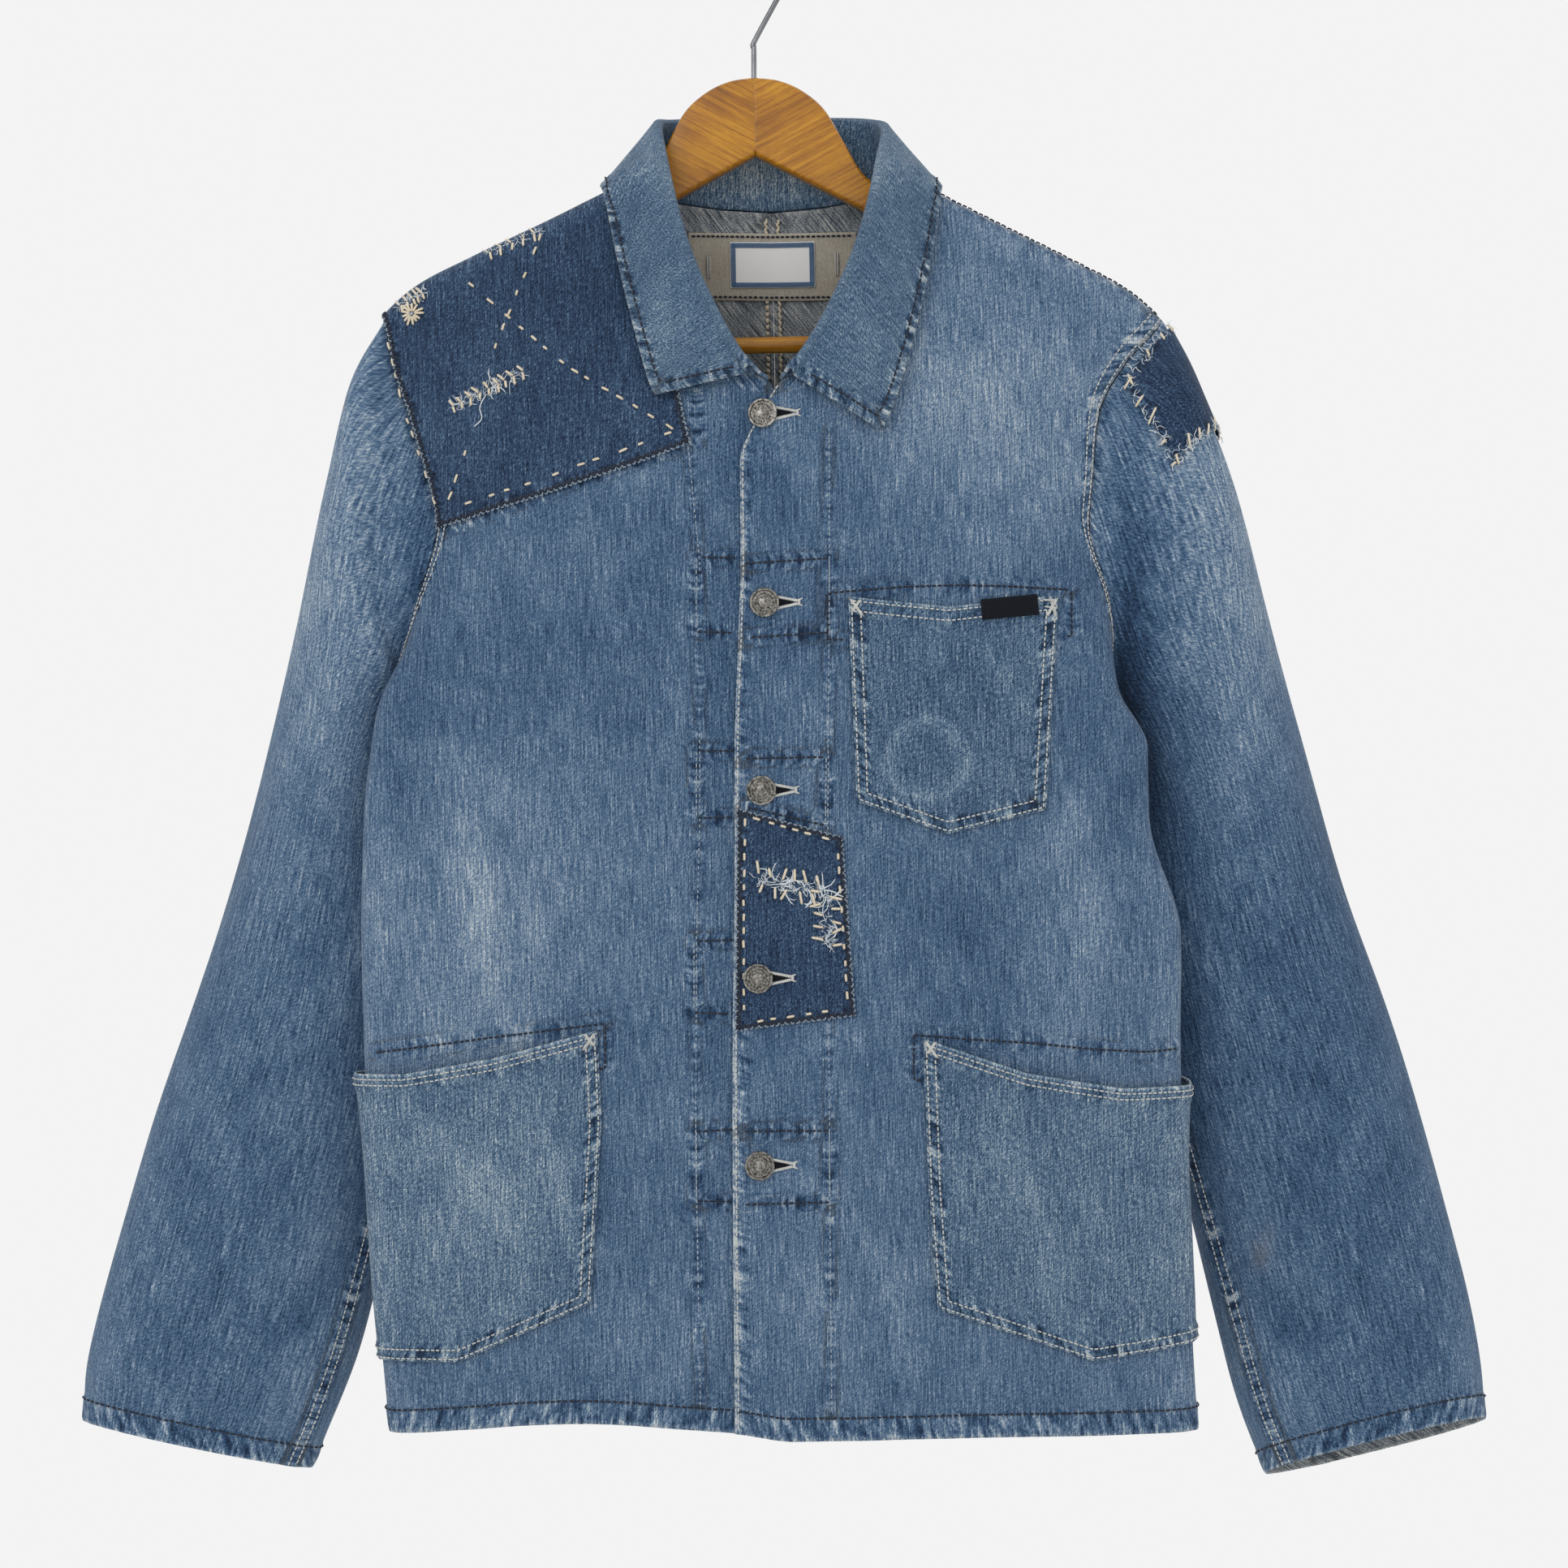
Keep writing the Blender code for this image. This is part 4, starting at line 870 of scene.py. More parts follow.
@dataclass
class Sheet:
    """One cut piece of cloth: where its grid lies, and what is worked into it."""

    node: str
    params: Grid
    place: Place
    kind: str = "cloth"
    out: float = 0.0
    thick: float = CLOTH_THICK
    inward: bool = False
    closed: bool = False
    tone: float = 0.0
    seams: dict[Edge, Seam] = field(default_factory=dict)
    lines: list[Line] = field(default_factory=list)
    # Soft ovals of fade, and of painted light and shade where the cloth stands in shadow or in light.
    fades: tuple[Spot, ...] = ()
    stains: tuple[Spot, ...] = ()
    lift: Grid | None = None
    flat_scale: tuple[float, float] = (1.0, 1.0)
    rise: Grid | None = None
    grain: Callable[[Grid], Grid] | None = None

    def flat(self, params: Any) -> np.ndarray:
        """Parameters as millimetres on the flat cloth."""
        return np.asarray(params, float) * self.flat_scale

    def face(self) -> tuple[Grid, Grid]:
        """The side that shows, before it is puckered, and its outward direction."""
        a, b = self.params[..., 0], self.params[..., 1]
        points = self.place(a, b, self.out)
        outward = unit(self.place(a, b, self.out + 1.0) - points)
        if self.lift is not None:
            points = points + outward * self.lift[..., None]
        return points, -outward if self.inward else outward

    def measures(self, points: Grid) -> dict[Edge, np.ndarray]:
        """Distance over the cloth from each point of the grid to each edge, in millimetres."""
        across, up = way_along(points.swapaxes(0, 1)).T, way_along(points)
        ways = across, across[:, -1:] - across, up, up[-1:] - up
        return dict(zip(Edge, ways, strict=True))

    def worked(self, points: Grid) -> tuple[np.ndarray, np.ndarray, np.ndarray]:
        """What the seams do at each point.

        Args:
            points: The side that shows.

        Returns:
            The seam field (way along it, distance from it, pucker), the wear, and the cloth's rise.
        """
        far = self.measures(points)
        shape = points.shape[:2]
        nearest, run = np.full(shape, 99.0), np.zeros(shape)
        pucker, wear, rise = np.zeros(shape), np.zeros(shape), np.zeros(shape)
        for edge, seam in self.seams.items():
            distance = far[edge]
            way = far[Edge.BOTTOM] if edge in (Edge.LEFT, Edge.RIGHT) else far[Edge.LEFT]
            closer = distance < nearest
            nearest, run = np.where(closer, distance, nearest), np.where(closer, way, run)
            inside = 1 - smoothstep(seam.reach - 0.8, seam.reach + 2.4, distance)
            pucker = np.maximum(pucker, seam.pucker * inside)
            rise = np.maximum(rise, seam.band * inside)
            wear = np.maximum(wear, seam.wear * (1 - smoothstep(0.3, seam.pale, distance)))
        for line in self.lines:
            distance, way = distance_to(self.flat(self.params), self.flat(line.points))
            here = line.pucker * (1 - smoothstep(line.reach * 0.4, line.reach, distance))
            better = here > pucker
            run, pucker = np.where(better, way, run), np.where(better, here, pucker)
            nearest = np.where(better, distance + 3, nearest)
        wave = run * 2 * math.pi / PUCKER_PITCH + 1.7 * np.sin(run / 13) + nearest / 4
        rise += PUCKER_HEIGHT * pucker * np.sin(wave)
        rise -= 0.5 * (wear > 0) * (1 - smoothstep(0, 2.0, nearest))  # the rounded rim of the fold
        return np.stack([run, nearest, pucker], -1), wear, rise

    def build(self, slot: str, rests: tuple, *finishes: Any) -> None:
        """Makes the shell with its fields for the dye and the painted light and shade, the seams and the
        weave, and hides the imported solid that it stands for.

        Args:
            slot: A material slot's name; not used.
            rests: Names of what it hangs from; not used.
            finishes: The cloth's face, then its reverse where that differs.
        """
        points, outward = self.face()
        seam_field, wear, self.rise = self.worked(points)
        points = points + outward * self.rise[..., None]
        turned = (normals_of(points) * outward).sum() < 0
        # The painted light and shade of the ovals goes into this value together with the fades and the
        # rubbing.
        fade_and_painted_light = self.tone + spread_of(self.fades, points) + self.rubbed(points, outward)
        look = np.stack([fade_and_painted_light, spread_of(self.stains, points), wear], -1)
        flat = self.flat(self.grain(self.params) if self.grain else self.params)
        cloth = np.concatenate([flat, np.zeros_like(flat[..., :1])], -1)
        fields = {"cloth": cloth, "seam": seam_field, "look": look}
        piece = shell(f"{self.node}_{self.kind}", points, fields, self.closed, turned)
        for finish in finishes:
            piece.data.materials.append(made(finish))
        wall = piece.modifiers.new("wall", "SOLIDIFY")
        wall.thickness = self.thick * MM
        wall.offset = -1
        wall.material_offset = len(finishes) - 1
        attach(piece, EVERYWHERE)
        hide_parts(self.node)
        flat, area = self.cut()
        list(rests)
        LOG.info("%s: %d x %d points", piece.name, *points.shape[:2])

    def rubbed(self, points: Grid, outward: Grid, reach: int = 4, pale: float = 0.07) -> np.ndarray:
        """How much paler rubbing has left what stands out of the cloth around it, and the hollows darker.

        Args:
            points: The side that shows.
            outward: The way out of the cloth.
            reach: How many points away the cloth around is felt.
            pale: How much paler a millimetre makes it.

        Returns:
            The change at each point.
        """
        kept = points[:, :-1] if self.closed else points
        rows, columns = kept.shape[:2]
        around = np.pad(kept, ((reach, reach), (0, 0), (0, 0)), mode="reflect", reflect_type="odd")
        sides = {"mode": "wrap"} if self.closed else {"mode": "reflect", "reflect_type": "odd"}
        around = np.pad(around, ((0, 0), (reach, reach), (0, 0)), **sides)
        mean = np.zeros_like(kept)
        for down, right in ((0, reach), (2 * reach, reach), (reach, 0), (reach, 2 * reach)):
            mean += around[down : down + rows, right : right + columns] / 4
        relief = ((kept - mean) * outward[:, :columns]).sum(-1)
        change = np.clip(relief * (-pale if self.inward else pale), -0.13, 0.07)
        return np.concatenate([change, change[:, :1]], axis=1) if self.closed else change

    def cut(self) -> tuple[tuple[float, float], float]:
        """Flat width and length of the piece in metres, and its area in square metres."""
        points = self.face()[0]
        far = self.measures(points)
        wide, tall = (float(far[edge].max()) for edge in (Edge.LEFT, Edge.BOTTOM))
        first = points[1:, 1:] - points[:-1, :-1]
        second = points[1:, :-1] - points[:-1, 1:]
        area = float(np.linalg.norm(np.cross(first, second), axis=-1).sum()) / 2
        return (wide * MM, tall * MM), min(area, wide * tall) * MM * MM

    def inset(self, edge: Edge, distance: float, trim: tuple[float, float] = (0, 0)) -> np.ndarray:
        """A line of parameters at a distance in from an edge.

        Args:
            edge: The edge.
            distance: How far in, in millimetres.
            trim: How much is left off its start and its end, in millimetres.

        Returns:
            Parameters along the line.
        """
        grid = self.params
        if edge in (Edge.LEFT, Edge.RIGHT):
            grid = grid.transpose(1, 0, 2)
        if edge in (Edge.RIGHT, Edge.TOP):
            grid = grid[::-1]
        part = grid[: max(4, len(grid) // 2)]
        run = way_along(self.place(part[..., 0], part[..., 1], 0.0))
        line = np.array([read_line(part[:, k], run[:, k], distance) for k in range(part.shape[1])])
        way = way_along(self.place(line[:, 0], line[:, 1], 0.0))
        at = np.linspace(trim[0], way[-1] - trim[1], max(8, int(way[-1] / 3)))
        return read_line(line, way, at)

    def surface(self, line: Any, off: float) -> tuple[np.ndarray, np.ndarray]:
        """Points of a line of parameters on the finished side that shows, and the way out there."""
        line = np.asarray(line, float)
        base = self.place(line[:, 0], line[:, 1], self.out)
        outward = unit(self.place(line[:, 0], line[:, 1], self.out + 1.0) - base)
        lift, flat = np.zeros(len(line)), self.flat(self.params).reshape(-1, 2)
        for n, at in enumerate(self.flat(line)):
            nearest = np.argmin(((flat - at) ** 2).sum(axis=1))
            if self.lift is not None:
                lift[n] += self.lift.reshape(-1)[nearest]
            if self.rise is not None:
                lift[n] += self.rise.reshape(-1)[nearest] * (-1 if self.inward else 1)
        base = base + outward * lift[:, None]
        outward = -outward if self.inward else outward
        return base + outward * off, outward


def spread_of(spots: tuple[Spot, ...], points: Grid) -> np.ndarray:
    """Adds up soft ovals of change at each point."""
    total = np.zeros(points.shape[:2])
    for spot in spots:
        across, upward = points[..., 0] - spot.x, points[..., 2] - spot.height
        far = np.hypot(across / spot.wide, upward / spot.tall)
        if spot.ring:
            far = (np.hypot(across, upward) - spot.ring) / spot.wide
        total += spot.amount * np.exp(-(far**2))
    return total


def distance_to(flat: Grid, line: np.ndarray) -> tuple[np.ndarray, np.ndarray]:
    """Distance from each point of the flat cloth to a line, and how far along the line that is.

    Args:
        flat: Points in millimetres of flat cloth.
        line: The line's corners, on the same cloth.

    Returns:
        Distances and ways along, shaped as the grid.
    """
    best, way, run = np.full(flat.shape[:2], 1e6), np.zeros(flat.shape[:2]), 0.0
    for start, end in zip(line[:-1], line[1:], strict=True):
        step = end - start
        size = float(np.linalg.norm(step))
        share = np.clip(((flat - start) @ step) / max(size * size, TINY), 0, 1)
        distance = np.linalg.norm(flat - (start + share[..., None] * step), axis=2)
        way = np.where(distance < best, run + share * size, way)
        best = np.minimum(best, distance)
        run += size
    return best, way


def shell(name: str, points: Grid, fields: dict, closed: bool, turned: bool) -> bpy.types.Object:
    """Makes a one-layer mesh on a grid of points.

    Args:
        name: The piece's name.
        points: Points in the upright frame.
        fields: Vector fields for its material, each shaped as the points.
        closed: Whether its last column lies on its first, so that it is a tube.
        turned: Whether its faces are wound the other way.

    Returns:
        The new piece, shaded smooth.
    """
    rows, columns = points.shape[:2]
    faces = quads(rows, columns, False)[:, :: -1 if turned else 1]
    kept = columns - 1 if closed else columns
    place = (faces // columns) * kept + (faces % columns) % kept
    piece = piece_of(name, points[:, :kept], place.tolist())
    for word, values in fields.items():
        layer = piece.data.attributes.new(word, "FLOAT_VECTOR", "CORNER")
        corners = values.reshape(-1, 3)[faces.reshape(-1)]
        layer.data.foreach_set("vector", np.ascontiguousarray(corners, np.float32).ravel())
    return piece


@dataclass
class Needlework:
    """Thread laid on cloth: stitches, tacks and loose strands gathered into one piece."""

    name: str
    thick: float = 0.62
    sides: int = 4
    vertices: list = field(default_factory=list)
    faces: list = field(default_factory=list)
    luck: random.Random = field(default_factory=lambda: random.Random(7))

    def strand(self, line: np.ndarray, normal: np.ndarray, thick: float | None = None) -> None:
        """Adds a thread along a line of points, tapered to a point at both ends.

        Args:
            line: Points in the upright frame.
            normal: Which way is out of the cloth.
            thick: The thread's width, or its usual one.
        """
        wide = (thick or self.thick) / 2
        ways = unit(np.gradient(line, axis=0))
        side = unit(np.cross(ways, normal))
        over = np.cross(side, ways)
        start, count, rings = len(self.vertices), self.sides, len(line) - 2
        for n in range(1, rings + 1):
            for a in np.arange(count) * 2 * math.pi / count:
                self.vertices.append(line[n] + wide * (math.cos(a) * side[n] + math.sin(a) * 0.8 * over[n]))
        self.vertices.extend([line[0], line[-1]])
        first, end = start + rings * count, start + (rings - 1) * count
        for c in range(count):
            d = (c + 1) % count
            self.faces.append((first, start + d, start + c))
            self.faces.append((first + 1, end + c, end + d))
            for low in range(start, end, count):
                self.faces.append((low + c, low + d, low + count + d, low + count + c))

    def stitch(self, start: np.ndarray, end: np.ndarray, normal: np.ndarray, rise: float = 0.5) -> None:
        """Adds one stitch that comes out of the cloth, lies on it and goes back in."""
        line = [start - normal * 0.35]
        for share in (0.14, 0.5, 0.86):
            line.append(start + (end - start) * share + normal * rise * (1 if share == 0.5 else 0.75))
        line.append(end - normal * 0.35)
        self.strand(np.array(line), normal)

    def tack(self, sheet: Sheet, ends: Any, off: float, rise: float) -> None:
        """Adds one stitch on a piece.

        Args:
            sheet: The piece that it is sewn through.
            ends: Its start, middle and end in the piece's own parameters.
            off: Height of its ends over the outer face.
            rise: How high its middle stands over its ends.
        """
        base, normal = sheet.surface(ends, off)
        self.stitch(base[0], base[2], normal[1], rise)

    def row(
        self,
        sheet: Sheet,
        line: np.ndarray,
        length: float = 3.0,
        gap: float = 0.7,
        wobble: float = 0.1,
        off: float = 0.15,
    ) -> None:
        """Adds a row of stitches along a line on a piece.

        Args:
            sheet: The piece that it is sewn through.
            line: The line in the piece's own parameters.
            length: Length of a stitch that shows.
            gap: Cloth between two stitches.
            wobble: How unevenly they are set, as a share.
            off: Height over the outer face.
        """
        base, normal = sheet.surface(line, off)
        run = way_along(base)
        at = self.luck.uniform(0, gap)
        while at + length < run[-1]:
            size = length * (1 + self.luck.uniform(-wobble, wobble))
            ends = [read_line(base, run, at), read_line(base, run, at + size)]
            up = read_line(normal, run, at + size / 2)
            side = unit(np.cross(up, ends[1] - ends[0]))
            shift = side * self.luck.uniform(-1, 1) * wobble * length * 0.3
            self.stitch(ends[0] + shift, ends[1], up)
            at += size + gap * (1 + self.luck.uniform(-wobble, wobble) * 2)

    def zigzag(self, sheet: Sheet, line: np.ndarray, wide: float, step: float, off: float = 0.15) -> None:
        """Adds a machine zigzag over a line on a piece."""
        base, normal = sheet.surface(line, off)
        run = way_along(base)
        count = max(2, int(run[-1] / step))
        at = run[-1] * np.arange(count + 1) / count
        up = read_line(normal, run, at)
        side = unit(np.cross(up, read_line(base, run, at + 1) - read_line(base, run, at - 1)))
        hand = np.where(np.arange(count + 1) % 2, 1, -1)[:, None]
        points = read_line(base, run, at) + side * wide / 2 * hand
        for k in range(count):
            self.stitch(points[k], points[k + 1], up[k], 0.35)

    def make(self, finish: Any, slot: str) -> None:
        """Turns what was sewn into a piece that rides with the jacket."""
        piece = piece_of(self.name, np.array(self.vertices), self.faces)
        piece.data.materials.append(made(finish))
        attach(piece, EVERYWHERE)
        LOG.info("%s: %d faces", self.name, len(self.faces))


# ---------------------------------------------------------------- finishes


def linear(colour: str) -> tuple[float, float, float, float]:
    """Turns an sRGB hex colour to linear."""
    values = [int(colour[k : k + 2], 16) / 255 for k in (1, 3, 5)]
    return (*[v / 12.92 if v <= 0.04045 else ((v + 0.055) / 1.055) ** 2.4 for v in values], 1.0)


def made(finish: Any) -> bpy.types.Material:
    """The material of a finish, which is made once."""
    return bpy.data.materials.get(finish.name) or finish.make()


class Recipe:
    """A material in the making."""

    def __init__(self, name: str, roughness: float, **uniform: Any) -> None:
        """Starts a material.

        Args:
            name: Its name.
            roughness: Its roughness.
            uniform: Other values that are the same all over, by socket name with _ for a space.
        """
        self.material = bpy.data.materials.new(name)
        self.material.use_nodes = True
        self.tree = self.material.node_tree
        self.shader = self.tree.nodes["Principled BSDF"]
        self.shader.inputs["Roughness"].default_value = roughness
        for word, value in uniform.items():
            self.shader.inputs[word.replace("_", " ")].default_value = value

    def add(self, kind: str, inputs: dict, out: Any = 0, stops: tuple = (), **settings: Any) -> Any:
        """Adds a node with its settings and links.

        Args:
            kind: The node's kind, without its usual first word.
            inputs: What goes into each socket: another node's socket or a value.
            out: The socket that is wanted.
            stops: Positions and colours of a ramp.
            settings: The node's own settings.

        Returns:
            One of its outputs.
        """
        node = self.tree.nodes.new("ShaderNode" + kind)
        for word, value in settings.items():
            setattr(node, word, value)
        for place, (at, colour) in enumerate(stops):
            points = node.color_ramp.elements
            point = points[place] if place < 2 else points.new(at)
            point.position, point.color = at, linear(colour)
        for socket, value in inputs.items():
            if isinstance(value, bpy.types.NodeSocket):
                self.tree.links.new(value, node.inputs[socket])
            else:
                node.inputs[socket].default_value = value
        return node.outputs[out]

    def streaks(self, where: Any, size: tuple[float, float], turn: float, strength: float) -> Any:
        """Uneven marks of one size lying one way, as a value about zero.

        Args:
            where: Where on the cloth, in millimetres.
            size: Width and length of a mark, in millimetres.
            turn: How far it leans, in degrees.
            strength: How far the value swings.

        Returns:
            The value's socket.
        """
        scale, lean = (size[0], size[1], size[0]), (0.0, 0.0, math.radians(turn))
        placed = self.add("Mapping", {0: where, "Rotation": lean, "Scale": scale}, vector_type="TEXTURE")
        noise = self.add("TexNoise", {"Vector": placed, "Scale": 1.0, "Detail": 2.0, "Roughness": 0.6})
        return self.sum_of(noise, 2 * strength, -strength)

    def sum_of(self, value: Any, times: Any, plus: Any) -> Any:
        """A value multiplied by one number, with another added."""
        return self.add("Math", {0: value, 1: times, 2: plus}, operation="MULTIPLY_ADD")

    def product(self, value: Any, times: Any) -> Any:
        """Two values multiplied."""
        return self.add("Math", {0: value, 1: times}, operation="MULTIPLY")

    def noise(self, where: Any, scale: float, detail: float, **more: Any) -> Any:
        """Even noise at one scale."""
        inputs = {"Vector": where, "Scale": scale, "Detail": detail, **more}
        return self.add("TexNoise", inputs)

    def millimetres(self) -> Any:
        """Where on the object, in millimetres."""
        where = self.add("TexCoord", {}, "Object")
        return self.add("VectorMath", {0: where, 1: (1000.0, 1000.0, 1000.0)}, operation="MULTIPLY")

    def total(self, *values: Any) -> Any:
        """Adds up values."""
        result = values[0]
        for value in values[1:]:
            result = self.add("Math", {0: result, 1: value}, operation="ADD")
        return result

    def dress(self, colour: Any, height: Any, depth: float) -> bpy.types.Material:
        """Joins a colour and a relief to the shader.

        Args:
            colour: The colour's socket.
            height: The relief's socket, from 0 to 1.
            depth: The relief's depth, in millimetres.

        Returns:
            The finished material.
        """
        bump = self.add("Bump", {"Height": height, "Distance": depth * MM, "Strength": 1.0})
        self.tree.links.new(bump, self.shader.inputs["Normal"])
        self.tree.links.new(colour, self.shader.inputs["Base Color"])
        return self.material


DYE_STOPS = (0.0, 0.25, 0.5, 0.74, 1.0)
"""Where a dyed cloth's five colours lie, from its full dye to its bare yarn."""
FADED_INDIGO = ("#14243a", "#2c4766", "#506a86", "#8496a8", "#c9cfd0")
WASHED_INDIGO = ("#15253a", "#2d4763", "#506a84", "#8497a6", "#c9cfce")
DARK_INDIGO = ("#070f20", "#15263f", "#2d4460", "#566f8a", "#a3b1bd")
REVERSE_GREY = ("#3b4550", "#656d76", "#8e9498", "#b3b5b3", "#d6d5ce")
KHAKI = ("#6a665e", "#8b857a", "#a8a194", "#c0b9ab", "#d8d2c5")
LABEL_WHITE = ("#b4c0cc", "#dcdfe2", "#f0efed")
LABEL_BLUE = ("#3d618a", "#56799f", "#8ba4bf")
TAPE_BLACK = ("#05070c", "#0c1018", "#2a2f39")


@dataclass(frozen=True)
class Twill:
    """Cotton twill, woven and then worn: a soft, dry cloth with upright slubs and fine slanting ribs.

    Indigo only colours the outside of the warp yarns, so every rub lets pale cotton through: at folded
    edges, on the ridges of puckers beside the stitching and over the areas that are worn most.
    """

    name: str
    colours: tuple[str, ...]
    base: float = 0.5
    slub: float = 0.5
    rib: float = 0.5
    rope: float = 1.15
    lean: float = -28.0
    line: float = 2.4
    cloud: float = 0.12
    sheen: float = 0.12

    def make(self) -> bpy.types.Material:
        """Builds the cloth's material."""
        recipe = Recipe(self.name, 0.93, Sheen_Weight=self.sheen, Specular_IOR_Level=0.22)
        words = ("cloth", "seam", "look")
        cloth, seam, look = (recipe.add("Attribute", {}, "Vector", attribute_name=word) for word in words)
        run, far, pucker = recipe.add("SeparateXYZ", {0: seam}).node.outputs
        # The first value of look holds the fades together with the painted light and shade.
        fade_and_painted_light, stain, wear = recipe.add("SeparateXYZ", {0: look}).node.outputs
        # Ring-spun warp: yarns 0.5 mm apart, drawn 0.6 mm apart, with slubs 45 mm long.
        yarns = recipe.streaks(cloth, (0.6, 17.0), 0, self.slub)
        slubs = recipe.streaks(cloth, (1.2, 45.0), 0, self.slub * 0.42)
        # The twill line climbs to the right at 62 degrees; its pitch of 0.8 mm is drawn as it is.
        ribs = recipe.streaks(cloth, (0.8, self.line), self.lean, self.rib)
        weft = recipe.streaks(cloth, (1.3, 0.6), 0, self.rib * 0.8)
        clouds = recipe.streaks(cloth, (38.0, 55.0), 8, self.cloud)
        blots = recipe.streaks(cloth, (9.0, 14.0), 0, self.cloud * 0.6)
        rope = self.roping(recipe, run, far, pucker)
        worn = recipe.product(recipe.product(wear, 0.34), recipe.total(yarns, 1.0))
        value = recipe.total(yarns, slubs, ribs, weft, clouds, blots, rope, worn, fade_and_painted_light, self.base)
        places = DYE_STOPS if len(self.colours) == len(DYE_STOPS) else (0.0, 0.5, 1.0)
        colour = recipe.add("ValToRGB", {0: value}, stops=tuple(zip(places, self.colours, strict=True)))
        soil = {0: stain, 6: colour, 7: linear("#7a6a58")}
        colour = recipe.add("Mix", soil, 2, data_type="RGBA", clamp_factor=True)
        relief = recipe.total(yarns, ribs, weft, 0.5)
        return recipe.dress(colour, recipe.total(relief, recipe.product(rope, 2.4)), 0.3)

    def roping(self, recipe: Recipe, run: Any, far: Any, pucker: Any) -> Any:
        """The slanting light and dark ridges that washing raises beside a seam.

        Args:
            recipe: The material in the making.
            run: Way along the seam, in millimetres.
            far: Distance from it.
            pucker: How strongly it puckers there.

        Returns:
            A value about zero.
        """
        slant = recipe.sum_of(far, 0.28, run)
        where = recipe.add("CombineXYZ", {0: slant, 1: far})
        ridge = recipe.streaks(where, (5.0, 15.0), 0, self.rope)
        fine = recipe.streaks(where, (2.0, 7.0), 0, self.rope * 0.35)
        # The ridges come unevenly; a weak wave every 8.5 mm gives them their beat.
        phase = recipe.sum_of(slant, 2 * math.pi / 8.5, recipe.total(ridge, ridge))
        wave = recipe.product(recipe.add("Math", {0: phase}, operation="SINE"), self.rope * 0.07)
        return recipe.product(recipe.total(ridge, fine, wave, -0.07), pucker)


@dataclass(frozen=True)
class Thread:
    """Spun sewing thread, twisted from plies: matt, with fine slanting shade across it."""

    name: str
    light: str
    dark: str

    def make(self) -> bpy.types.Material:
        """Builds the thread's material."""
        recipe = Recipe(self.name, 0.85, Sheen_Weight=0.2, Specular_IOR_Level=0.25)
        where = recipe.millimetres()
        ply = recipe.streaks(where, (0.35, 1.2), 35, 0.5)
        patchy = recipe.streaks(where, (7.0, 7.0), 0, 0.35)
        value = recipe.total(ply, patchy, 0.5)
        colour = recipe.add("ValToRGB", {0: value}, stops=((0.0, self.dark), (1.0, self.light)))
        return recipe.dress(colour, value, 0.12)


@dataclass(frozen=True)
class Wood:
    """Beech, steamed, turned to shape and varnished: honey brown with darker flecks and a soft gloss."""

    name: str
    lean: float = 0.0

    def make(self) -> bpy.types.Material:
        """Builds the wood's material; its grain runs along local X once leant."""
        recipe = Recipe(self.name, 0.36, Coat_Weight=0.12, Coat_Roughness=0.3)
        lean = {0: recipe.millimetres(), "Rotation": (0.0, math.radians(self.lean), 0.0)}
        placed = recipe.add("Mapping", lean, vector_type="TEXTURE")
        long = recipe.add("Mapping", {0: placed, "Scale": (60.0, 4.0, 2.4)}, vector_type="TEXTURE")
        rings = recipe.sum_of(recipe.noise(long, 1.0, 3.0, Distortion=0.6), 0.75, 0.14)
        # Beech rays show as short dark flecks, 2 mm long and 0.3 mm wide; drawn twice as wide.
        short = recipe.add("Mapping", {0: placed, "Scale": (4.5, 0.8, 0.6)}, vector_type="TEXTURE")
        flecks = recipe.sum_of(recipe.noise(short, 1.0, 1.0), 0.24, -0.12)
        broad = recipe.sum_of(recipe.noise(placed, 0.022, 2.0), 0.5, -0.25)
        value = recipe.total(rings, flecks, broad)
        stops = ((0.2, "#724204"), (0.42, "#985f05"), (0.6, "#b77c0d"), (0.85, "#d29b24"))
        colour = recipe.add("ValToRGB", {0: value}, stops=stops)
        return recipe.dress(colour, value, 0.1)


@dataclass(frozen=True)
class Metal:
    """Plated metal, pressed or drawn: bright where it is rubbed, dull and brown in its hollows."""

    name: str
    bright: str
    dull: str
    roughness: float
    grain: float = 0.6

    def make(self) -> bpy.types.Material:
        """Builds the metal's material."""
        recipe = Recipe(self.name, self.roughness, Metallic=1.0)
        where = recipe.millimetres()
        fine = recipe.noise(where, 3.0, 2.0)
        value = recipe.sum_of(recipe.total(recipe.noise(where, self.grain, 4.0), fine), 2.4, -1.9)
        colour = recipe.add("ValToRGB", {0: value}, stops=((0.0, self.dull), (1.0, self.bright)))
        return recipe.dress(colour, fine, 0.04)


@dataclass(frozen=True)
class Plaster:
    """The studio's painted floor: pale and matt, with a faint unevenness."""

    name: str = "pale painted floor"

    def make(self) -> bpy.types.Material:
        """Builds the floor's material."""
        recipe = Recipe(self.name, 0.9)
        patchy = recipe.noise(recipe.add("TexCoord", {}, "Object"), 6.0, 3.0)
        stops = ((0.3, "#ebebea"), (0.7, "#f2f2f1"))
        colour = recipe.add("ValToRGB", {0: patchy}, stops=stops)
        return recipe.dress(colour, patchy, 0.2)


